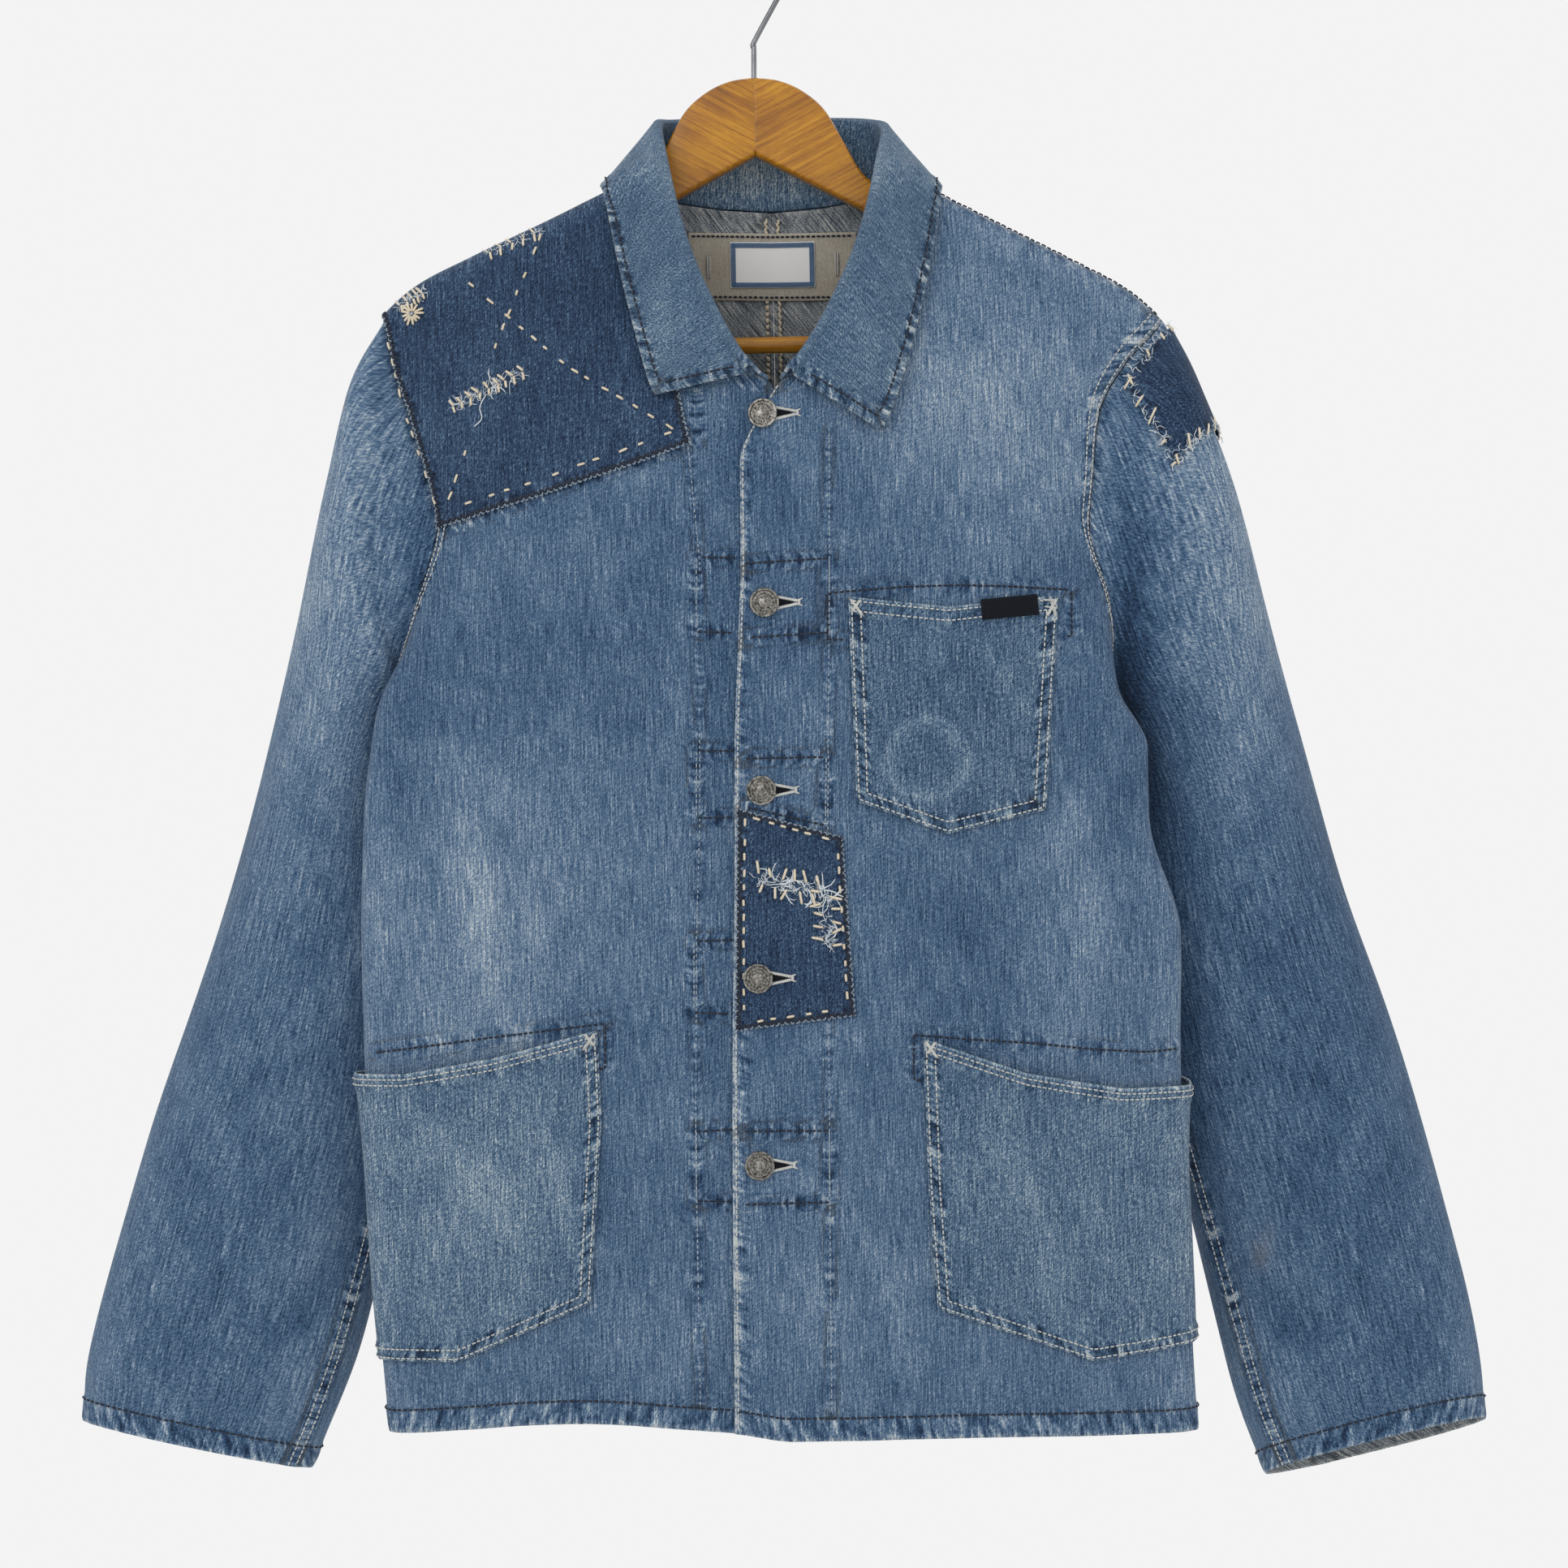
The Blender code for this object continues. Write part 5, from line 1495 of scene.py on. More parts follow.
DENIM = Twill("washed mid-blue denim twill", FADED_INDIGO, 0.45)
POCKET = Twill("washed denim twill, pockets", WASHED_INDIGO, 0.455, rib=0.65)
COLLAR = Twill("washed denim twill, collar", WASHED_INDIGO, 0.4, slub=0.4, rib=0.7)
INDIGO = Twill("dark indigo denim twill", DARK_INDIGO, 0.43, slub=0.42, rib=0.6)
REVERSE = Twill(
    "reverse of denim, weft side",
    REVERSE_GREY,
    0.42,
    slub=0.15,
    rib=1.0,
    rope=0.5,
    lean=38.0,
    line=24.0,
)
"""The pale weft covers this side; its fine slanting lines are drawn broader than they are."""
KHAKI_TWILL = Twill("khaki cotton twill", KHAKI, 0.54, slub=0.15, rib=0.3, rope=0.3)
LABEL = Twill("woven label satin", LABEL_WHITE, 1.05, slub=0.2, rib=0.1, rope=0.1)
BORDER = Twill("woven label border", LABEL_BLUE, 0.5, slub=0.2, rib=0.1, rope=0.1)
TAPE = Twill("black woven tape", TAPE_BLACK, 0.45, slub=0.1, rib=0.3, sheen=0.05)
NAVY = Thread("navy sewing thread", "#1d2a40", "#080f1c")
ECRU = Thread("ecru sewing thread", "#e4e3dc", "#9fa3a4")
FADED = Thread("faded blue sewing thread", "#b4bfc8", "#71869b")
SAND = Thread("sand darning thread", "#f1e9d8", "#c6b391")
FLUFF = Thread("bare cotton yarns", "#eef0f0", "#b3c3d0")
NICKEL = Metal("tarnished nickel plate", "#aaa7a1", "#302d29", 0.34)
WIRE = Metal("bright plated steel wire", "#8d8f92", "#6b6d70", 0.22, grain=0.05)


# ---------------------------------------------------------------- the jacket, piece by piece

HANGER_HALVES = ("hanger_half_left", "hanger_half_right")


@dataclass
class Panels:
    """The two fronts and the two backs, with their hems, facings and felled seams."""

    cut: PanelCut
    facings: tuple = (
        ((31, -300), (29.6, -378), (25.7, -533), (23.2, -712), (21.5, -873)),
        ((-52, -300), (-45.6, -377), (-48.6, -532), (-51.7, -598), (-54.3, -710), (-54.6, -869)),
    )
    """The stitched line of the facing: right, then left."""
    boxes: tuple = (
        (
            ((-19, -379), (29.5, -376.8), (28.8, -420), (-20, -422)),
            ((-21, -492), (25.6, -492), (24.3, -531.6), (-22, -520)),
            ((-25.6, -708), (23.3, -708.5), (22.5, -750), (-26.4, -750.5)),
        ),
        (
            ((-25, -375.3), (-47.5, -374.9), (-48.3, -418), (-26, -419)),
            ((-27, -487.4), (-49.6, -487), (-50.3, -526), (-29, -526)),
            ((-30, -597), (-53, -597.4), (-53.9, -638.7), (-32, -640)),
            ((-32.6, -707), (-53.8, -707.5), (-54.6, -748), (-34, -749)),
        ),
    )
    """The stitched boxes round the button places, each open to the front edge: right, then left."""
    pocket_marks: tuple = (
        (
            ((27.6, -424), (27.9, -397.1), (70.8, -394.1), (103.8, -393.7), (137, -395.1), (170.4, -397.4)),
            ((170.4, -397.4), (169.6, -424.5), (163.8, -424.4)),
            ((27.3, -424), (38.2, -424.2)),
            ((73.3, -653.9), (108, -657.4), (141, -660), (178.7, -664.6), (208.3, -666.9), (228, -666)),
            ((73.3, -653.9), (72.7, -680.2), (79, -680.3)),
        ),
        (
            ((-240, -659), (-174.3, -651.2), (-105.3, -643.9)),
            ((-105.3, -643.9), (-105.8, -670.2), (-110, -670.2)),
        ),
    )
    """The stitching over the pocket mouths that holds the reinforcement behind: right, then left."""
    fades: tuple[Spot, ...] = (
        Spot(121, -285, 95, 70, 0.17),
        Spot(-182, -590, 44, 80, 0.16),
        Spot(-120, -560, 60, 90, 0.06),
        Spot(165, -590, 34, 70, 0.12),
        Spot(20, -810, 90, 70, 0.05),
        Spot(-95, -430, 95, 80, -0.07),
        Spot(110, -600, 60, 60, -0.08),
        Spot(-90, -690, 60, 90, -0.04),
        Spot(40, -350, 40, 80, -0.04),
        # Painted shade: the two narrow darker ovals beside the side seams below the arms.
        Spot(-225, -430, 26, 90, -0.14),
        Spot(200, -450, 26, 110, -0.14),
        Spot(0, -330, 60, 70, -0.06),
    )
    back_fades: tuple[Spot, ...] = (
        Spot(-110, -330, 110, 80, 0.14),
        Spot(120, -320, 110, 80, 0.14),
        Spot(20, -640, 120, 120, 0.06),
        Spot(-150, -800, 80, 60, -0.05),
    )
    under_patch: tuple = ((-46, -270), (-46, -306), (-120, -329), (-200, -356))
    """Where the left front is drawn up below the shoulder's patch."""
    sheets: dict[str, Sheet] = field(default_factory=dict)

    def front(self, side: int) -> Sheet:
        """One front, with the stitched lines that hold its facing and its reinforcements."""
        seen, hand = self.cut.form.on_face, 0 if side > 0 else 1
        lines = [Line(seen(self.facings[hand]), 5, 0.55)]
        lines += [Line(seen(box), 7, 0.85) for box in self.boxes[hand]]
        lines += [Line(seen(mark), 8, 0.55) for mark in self.pocket_marks[hand]]
        if side < 0:
            lines.append(Line(seen(self.under_patch), 7, 0.9))
        seams = {
            Edge.LEFT: Seam(9, 0.6 if side > 0 else 0.2, 1.25 if side > 0 else 0.0, 0.4, 5.8),
            Edge.RIGHT: Seam(10, 0.9),
            Edge.BOTTOM: Seam(14, 0.7, 0.8),
            Edge.TOP: Seam(9, 0.8, 0.5),
        }
        grid, place = self.cut.grid(side, Face.FRONT), self.cut.place(side, Face.FRONT)
        return Sheet(f"front_{SIDES[side]}", grid, place, seams=seams, lines=lines, fades=self.fades)

    def back(self, side: int) -> Sheet:
        """One back, felled to the other at the centre."""
        folded = (Seam(8, 0.8, 0.6), Seam(9, 0.8), Seam(14, 0.7, 0.8), Seam(9, 0.8, 0.5))
        seams = dict(zip(Edge, folded, strict=True))
        grid, place = self.cut.grid(side, Face.BACK), self.cut.place(side, Face.BACK)
        return Sheet(f"back_{SIDES[side]}", grid, place, seams=seams, fades=self.back_fades)

    def build(self) -> None:
        """Builds all four panels."""
        for side in SIDES:
            for sheet in (self.front(side), self.back(side)):
                sheet.build("denim", HANGER_HALVES, DENIM, REVERSE)
                self.sheets[sheet.node] = sheet

    def sew(self, navy: Needlework, ecru: Needlework, faded: Needlework, sand: Needlework) -> None:
        """Sews the panels' own seams.

        Args:
            navy: The dark topstitching.
            ecru: The pale topstitching.
            faded: The thinner thread of the facings.
            sand: The thick pale thread of the chain stitch inside.
        """
        seen = self.cut.form.on_face
        backs = [self.sheets[f"back_{word}"] for word in SIDES.values()]
        for hand, word, back in zip((1, 0), SIDES.values(), backs, strict=True):
            front = self.sheets[f"front_{word}"]
            for sheet in (front, back):
                navy.row(sheet, sheet.inset(Edge.BOTTOM, 13.5, (1, 3)))
                ecru.row(sheet, sheet.inset(Edge.RIGHT, 2.0, (14, 4)), length=2.4)
                ecru.row(sheet, sheet.inset(Edge.RIGHT, 8.2, (14, 9)), length=2.4)
            for distance in (2.0, 7.6):
                navy.row(back, back.inset(Edge.TOP, distance, (10, 4)))
            navy.row(front, front.inset(Edge.TOP, 2.0, (30, 4)))
            faded.row(front, seen(self.facings[hand]), length=2.2, gap=1.2)
            for box in self.boxes[hand]:
                for start, thread in enumerate((navy, faded, navy)):
                    thread.row(front, seen(even(box[start : start + 2], 20)), length=2.8)
            for mark in self.pocket_marks[hand]:
                navy.row(front, seen(even(mark, 60)), length=2.7)
        right = self.sheets["front_right"]
        ecru.row(right, right.inset(Edge.LEFT, 2.2, (3, 2)), length=2.6)
        for back in backs:
            for distance in (1.8, 7.2):
                ecru.row(back, back.inset(Edge.LEFT, distance, (14, 4)), length=2.6)
        for back in backs:
            lining = Sheet("inside", back.params, back.place, out=-CLOTH_THICK, inward=True)
            line = lining.inset(Edge.LEFT, 3.9)
            line = line[(line[:, 1] > -420) & (line[:, 1] < -166)]
            for shift in (-0.4, 0.4):
                sand.row(lining, line + (shift, 0), length=3.0, gap=0.8, off=0.9)


@dataclass
class Sleeves:
    """The two tubular sleeves, with a felled seam down each and stitched cuffs."""

    form: BodyForm
    rows: int = 170
    left: tuple[SleeveRow, ...] = (
        SleeveRow((-251, -267), (-219, -463), -37, 36, 14),
        SleeveRow((-265.5, -325), (-217, -476), -36, 45, 18),
        SleeveRow((-285, -402), (-216, -500), -27, 58, 14),
        SleeveRow((-307, -479), (-216, -551), -19, 66, 6),
        SleeveRow((-331, -556), (-217, -616), -15, 66),
        SleeveRow((-357, -634), (-224, -681), -10, 60),
        SleeveRow((-385, -712), (-238, -752), -6, 51),
        SleeveRow((-410, -790), (-257, -827), -3, 43),
        SleeveRow((-422, -840), (-273, -874), -2, 38),
        SleeveRow((-426.5, -880), (-289.5, -911), -1, 34),
    )
    right: tuple[SleeveRow, ...] = (
        SleeveRow((248, -277), (188, -463), -37, 36, 14),
        SleeveRow((269.5, -335), (192, -476), -35, 45, 18),
        SleeveRow((290, -412.5), (198, -502), -26, 58, 14),
        SleeveRow((312, -491), (204, -562), -18, 66, 6),
        SleeveRow((335, -569), (209, -628), -13, 66),
        SleeveRow((361, -648), (221, -692), -9, 60),
        SleeveRow((382.5, -727), (238, -763), -6, 52, 0, 2),
        SleeveRow((402, -805), (256, -840), -4, 44, 0, 5),
        SleeveRow((411, -855), (268, -889), -3, 40, 0, 7),
        SleeveRow((414, -896), (282, -926), -3, 38, 0, 8),
    )
    folds: tuple[SleeveFold, ...] = (
        SleeveFold(1.6, 0.34, 3.4, 0.2, 1.8),
        SleeveFold(2.6, 0.4, 4.6, 0.26, -1.5),
        SleeveFold(3.8, 0.1, 5.2, 0.24, 1.4),
        SleeveFold(4.6, 0.38, 6.2, 0.2, 1.5),
        SleeveFold(6.4, 0.12, 8.0, 0.3, 1.2),
        SleeveFold(7.2, 0.4, 8.6, 0.28, -1.2),
        SleeveFold(2.0, 0.6, 3.8, 0.8, 1.8),
        SleeveFold(3.6, 0.9, 5.4, 0.7, 1.6),
        SleeveFold(5.6, 0.62, 7.0, 0.82, -1.4),
    )
    seams: tuple = (
        ((0.44, 0.3), (0.43, 3), (0.415, 6), (0.405, 8), (0.4, 10)),
        ((0.62, 0.3), (0.64, 4), (0.66, 7), (0.68, 10)),
    )
    """The seam before the inner edge, then the one behind it: turns and rows."""
    around: float = 352.0
    sheets: list[Sheet] = field(default_factory=list)

    def build(self) -> None:
        """Builds both sleeves."""
        for side, word in SIDES.items():
            tube = SleeveForm(self.form, side, self.left if side < 0 else self.right, self.folds)
            turn = np.linspace(0, 1, 2 * tube.half_columns + 1)
            row = (1 - crowded(self.rows, 0.5)) * 10
            fades = (
                Spot(side * 262, -370, 34, 90, 0.14),
                Spot(side * 285, -500, 34, 90, 0.04),
                # Painted shade below the armpit, on the middle of the sleeve.
                Spot(side * 320, -600, 70, 130, -0.09 if side < 0 else -0.18),
                Spot(side * 350, -800, 70, 120, -0.08 if side < 0 else -0.12),
                # Painted shadow of the gap between the sleeve and the body, along the sleeve's inner edge.
                Spot(side * 215, -540, 30, 160, -0.2),
                Spot(side * 206, -520, 13, 190, -0.35),
                Spot(side * 240, -700, 24, 100, -0.16),
            )
            sheet = Sheet(
                f"sleeve_{word}",
                np.stack(np.meshgrid(turn, row), -1),
                tube.place,
                closed=True,
                seams={Edge.BOTTOM: Seam(14, 0.7, 0.8), Edge.TOP: Seam(5, 0.5, 0.6, 0.0)},
                lines=[Line(even(seam, 90), 9, 0.9) for seam in self.seams],
                fades=fades,
                stains=(Spot(279, -793, 5, 8, 0.3), Spot(283, -780, 3, 5, 0.22)),
                flat_scale=(self.around, -SLEEVE_ROW),
                grain=tube.grain,
            )
            sheet.build("denim", HANGER_HALVES, DENIM, REVERSE)
            self.sheets.append(sheet)

    def sew(self, navy: Needlework, ecru: Needlework) -> None:
        """Sews the cuffs and the two rows down each long seam."""
        for sheet in self.sheets:
            navy.row(sheet, sheet.inset(Edge.BOTTOM, 13.5))
            for seam in self.seams:
                for shift in (-0.008, 0.008):
                    ecru.row(sheet, even(seam, 90) + (shift, 0), length=2.5)


@dataclass
class Collar:
    """The two-ply collar, topstitched round its edge."""

    form: CollarForm
    sheet: Sheet | None = None

    def build(self) -> None:
        """Builds the collar in one piece."""
        points = self.form.grid()
        rows, columns = points.shape[:2]
        wide, tall = way_along(points[-1])[-1], way_along(points[:, columns // 2])[-1]
        self.sheet = Sheet(
            "collar",
            np.stack(np.meshgrid(np.arange(columns) * 1.0, np.arange(rows) * 1.0), -1),
            placer_of(points),
            thick=2.0,
            seams={edge: Seam(7.5, 1.0, 0.7) for edge in (Edge.LEFT, Edge.RIGHT, Edge.TOP)},
            # The third oval is painted light on the inside of the stand at the back of the neck, where it
            # lies in the hanger's shade.
            fades=(Spot(-72, -255, 30, 40, 0.1), Spot(70, -270, 30, 40, 0.1), Spot(4, -141, 60, 20, 0.3)),
            flat_scale=(wide / (columns - 1), tall / (rows - 1)),
        )
        self.sheet.build("faded_denim", HANGER_HALVES, COLLAR)

    def sew(self, navy: Needlework) -> None:
        """Sews one row of topstitching round the fall and down its ends."""
        for edge, trim in ((Edge.TOP, (6, 6)), (Edge.LEFT, (26, 5)), (Edge.RIGHT, (26, 5))):
            navy.row(self.sheet, self.sheet.inset(edge, 6.0, trim), length=3.2)


@dataclass(frozen=True)
class SewnOn:
    """A piece that is sewn on the body, seen from the front: its edges run outward from the middle."""

    node: str
    mouth: tuple
    bottom: tuple
    size: tuple[int, int]
    out: float = ON_PANEL + POCKET_THICK
    thick: float = POCKET_THICK
    bend: tuple = ()
    """Where its inner edge bends on the way down."""
    to_side_seam: int = 0
    """The side whose seam its outer edge is caught in."""

    def laid(self, form: BodyForm, place: Place, face: Face = Face.FRONT, **worked: Any) -> Sheet:
        """Lays the piece out on the body.

        Args:
            form: The body.
            place: How the body's parameters become points.
            face: The front, or the inside of the back.
            worked: Seams, lines, fades with their painted light and shade, and lift of the sheet.

        Returns:
            The sheet.
        """
        u, v = crowded(self.size[0], 0.5), crowded(self.size[1], 0.5)
        inner, outer = (self.bottom[0], *self.bend, self.mouth[0]), (self.bottom[-1], self.mouth[-1])
        lines = (self.bottom, u), (self.mouth, u), (inner, v), (outer, v)
        edges = [form.on_face(along(line, shares), face) for line, shares in lines]
        if self.to_side_seam:
            side, angle = self.to_side_seam, math.radians(form.side_seam_angle)
            last = form.across_at(angle, edges[3][:, 1], side, face) - side * 2 * SEAM_GAP
            for line, ends in ((edges[0], last[0]), (edges[1], last[-1])):
                start = line[0, 0]
                reach = (line[:, 0] - start) / (line[-1, 0] - start)
                line[:, 0] = start + (ends - start) * reach
            edges[3][:, 0] = last
        inward = face is Face.BACK
        return Sheet(
            self.node,
            fill(*edges, u, v),
            place,
            out=self.out,
            thick=self.thick,
            inward=inward,
            **worked,
        )


CHEST_POCKET = SewnOn(
    "chest_pocket",
    ((40, -399.5), (98, -406.5), (162, -401)),
    ((42.5, -518), (95, -538), (152, -525)),
    (84, 84),
)
LEFT_POCKET = SewnOn(
    "pocket_left",
    ((-110, -647.5), (-155, -662.5), (-194, -671), (-243, -671)),
    ((-117, -806), (-183, -839), (-243, -839)),
    (80, 84),
    bend=((-108.5, -700),),
    to_side_seam=-1,
)
RIGHT_POCKET = SewnOn(
    "pocket_right",
    ((78.5, -656), (126, -677), (170, -687), (204, -687), (229, -678)),
    ((84, -813), (156, -845.5), (230, -834)),
    (80, 84),
    bend=((80, -741),),
    to_side_seam=1,
)


@dataclass
class Pockets:
    """The chest pocket and the two lower pockets, whose mouths gape a little."""

    cut: PanelCut
    gape: float = 4.5
    crossed: tuple = ((0.8, -0.8, 8.5, -12.0), (7.5, -1.5, 1.5, -9.5))
    hashed: tuple = (
        (1.2, -1.0, 8.0, -13.0),
        (5.5, -0.8, 2.2, -12.5),
        (0.8, -3.5, 9.5, -2.6),
        (1.0, -7.5, 9.0, -6.6),
    )
    ring: tuple[float, float, float] = (84.3, -494.2, 23.5)
    sheets: dict[SewnOn, Sheet] = field(default_factory=dict)

    def build(self) -> None:
        """Builds the three pockets."""
        seams = {edge: Seam(9, 0.9, 0.6, pale=1.4) for edge in Edge}
        seams[Edge.TOP] = Seam(10, 0.45, 0.8, 0.9)
        x, height, radius = self.ring
        fades = (
            Spot(-170, -740, 50, 55, 0.13),
            Spot(150, -750, 50, 55, 0.04),
            Spot(100, -460, 60, 60, -0.07),
            Spot(x, height, 2.2, 1, 0.11, radius),
            Spot(x, height, 4.0, 1, 0.07, radius * 0.84),
            Spot(x - 14, height - 4, 9, 12, -0.06),
        )
        for pocket, side in ((CHEST_POCKET, 1), (LEFT_POCKET, -1), (RIGHT_POCKET, 1)):
            place = self.cut.place(side, Face.FRONT)
            sheet = pocket.laid(self.cut.form, place, seams=seams, fades=fades)
            u, v = (np.linspace(0, 1, count) for count in pocket.size)
            gape = self.gape if pocket.to_side_seam else 0.6
            sheet.lift = gape * np.sin(math.pi * u)[None, :] ** 0.8 * smoothstep(0.55, 1.0, v)[:, None]
            sheet.lift += 1.2 * np.sin(math.pi * u)[None, :] * np.sin(math.pi * v)[:, None]
            sheet.build("faded_denim", ("front_" + SIDES[side],), POCKET)
            self.sheets[pocket] = sheet

    def sew(self, ecru: Needlework) -> None:
        """Sews double rows round the pockets, the mouths' bands and the crossed tacks."""
        for pocket, sheet in self.sheets.items():
            for distance in (1.8, 7.0):
                for edge in (Edge.LEFT, Edge.RIGHT, Edge.BOTTOM):
                    ecru.row(sheet, sheet.inset(edge, distance, (distance, distance)), length=2.5)
            for distance in (3.2, 6.6) if pocket.to_side_seam else (2.4, 8.2):
                ecru.row(sheet, sheet.inset(Edge.TOP, distance, (2, 2)), length=2.5)
            self.tack(ecru, sheet, sheet.params[-1, 0], pocket.to_side_seam or 1, self.crossed)
            if pocket is CHEST_POCKET:
                self.tack(ecru, sheet, sheet.params[-1, -1], -1, self.hashed)

    def tack(self, ecru: Needlework, sheet: Sheet, corner: np.ndarray, way: int, strokes: tuple) -> None:
        """Adds one hand-sewn tack in a mouth's corner.

        Args:
            ecru: The pale thread.
            sheet: The pocket.
            corner: The corner's parameters.
            way: 1 where the pocket lies to the right of the corner.
            strokes: Each stitch's two ends, from the corner, in millimetres.
        """
        for stroke in strokes:
            ends = corner + np.reshape(stroke, (2, 2)) * (way, 1)
            for shift in (-0.45, 0.45):
                ecru.tack(sheet, even(ends + (shift, 0), 3), 0.35, 0.8)


@dataclass
class NeckPieces:
    """The twill patch inside the back of the neck, and the blank label sewn on it."""

    form: BodyForm
    patch: SewnOn = SewnOn(
        "neck_patch",
        ((-51, -174.5), (51, -176)),
        ((-51, -214), (51, -216)),
        (60, 30),
        -3.5,
        PATCH_THICK,
    )
    label: SewnOn = SewnOn(
        "neck_label",
        ((-26, -180), (26, -180.5)),
        ((-26, -207), (26, -207.5)),
        (40, 26),
        -4.9,
        PATCH_THICK,
    )
    sheets: list[Sheet] = field(default_factory=list)

    def build(self) -> None:
        """Builds the patch and the label."""

        def place(across: Any, height: Any, out: float) -> np.ndarray:
            return self.form.place(across, height, Face.BACK, out)

        seams = [{edge: seam for edge in Edge} for seam in (Seam(3, 0.4, 0.4, 0.0), Seam(2, 0.3, 0.2, 0.0))]
        stains = (Spot(-30, -196, 14, 10, 0.2), Spot(40, -208, 12, 6, 0.25))
        patch = self.patch.laid(self.form, place, Face.BACK, seams=seams[0], stains=stains)
        patch.build("twill", ("back_left", "back_right"), KHAKI_TWILL)
        label = self.label.laid(self.form, place, Face.BACK, seams=seams[1])
        label.build("label_cloth", ("neck_patch",), LABEL)
        self.sheets = [patch, label]

    def sew(self, navy: Needlework, ecru: Needlework, blue: Needlework) -> None:
        """Sews both down, with two thread loops beside the label."""
        patch, label = self.sheets
        for edge, distance in ((Edge.TOP, 2.0), (Edge.BOTTOM, 2.2)):
            navy.row(patch, patch.inset(edge, distance, (2, 2)), length=2.4)
        for x in (-39.0, 39.0):
            base, normal = patch.surface(even(((x, -187), (x, -202)), 12), 0.5)
            base = base + normal * (1.3 * np.sin(np.linspace(0, math.pi, 12)))[:, None]
            for shift in (-0.7, 0.7):
                ecru.strand(base + (shift, 0, 0), normal[6], 0.9)
        for edge in Edge:
            for distance in (0.9, 1.9, 2.9):
                blue.zigzag(label, label.inset(edge, distance, (1, 1)), 0.9, 0.8)


@dataclass
class ShoulderForm:
    """The cloth over one shoulder, unrolled: x, and the way over the ridge, negative in front."""

    form: BodyForm
    ways: int = 400
    deepest: float = 260.0

    def fall(self, way: Any) -> np.ndarray:
        """Height below the ridge at a distance over the cloth from it."""
        below = self.deepest * np.linspace(0, 1, self.ways) ** 2
        depth = self.form.ridge_half * np.sqrt(1 - np.exp(-below / self.form.ridge_fall))
        return np.interp(np.abs(way), way_along(np.stack([below, depth], -1)), below)

    def way_of(self, below: Any) -> np.ndarray:
        """Distance over the cloth from the ridge to a height below it."""
        ways = np.linspace(0, self.deepest, self.ways)
        return np.interp(below, self.fall(ways), ways)

    def place(self, x: Any, way: Any, out: float) -> np.ndarray:
        """Points on the shoulder's cloth."""
        x, way = np.asarray(x, float), np.asarray(way, float)
        height = self.form.ridge(x) - self.fall(way)
        across = [self.form.across_of_x(x, height, face) for face in Face]
        both = [self.form.place(at, height, face, out) for at, face in zip(across, Face, strict=True)]
        return np.where((way < 0)[..., None], *both)

    def seen(self, points: Any) -> np.ndarray:
        """Points of the front as parameters."""
        points = np.array(points, float)
        below = np.maximum(self.form.ridge(points[:, 0]) - points[:, 1], 0.02)
        return np.stack([points[:, 0], -self.way_of(below)], -1)

    def armhole_x(self, side: int, face: Face, below: Any) -> np.ndarray:
        """x on the armhole seam at heights below the ridge."""
        angle, height = self.form.armhole(side, face, np.linspace(0, 0.8, 60))
        x, _ = self.form.outline(height, np.full(60, float(side)), angle)
        return np.interp(below, self.form.ridge(x) - height, x)


PLACKET_PATCH = SewnOn(
    "placket_patch",
    ((-26.5, -521), (34, -538.5)),
    ((-30, -649.5), (39.5, -642)),
    (56, 80),
    ON_PANEL + PATCH_THICK,
    PATCH_THICK,
)


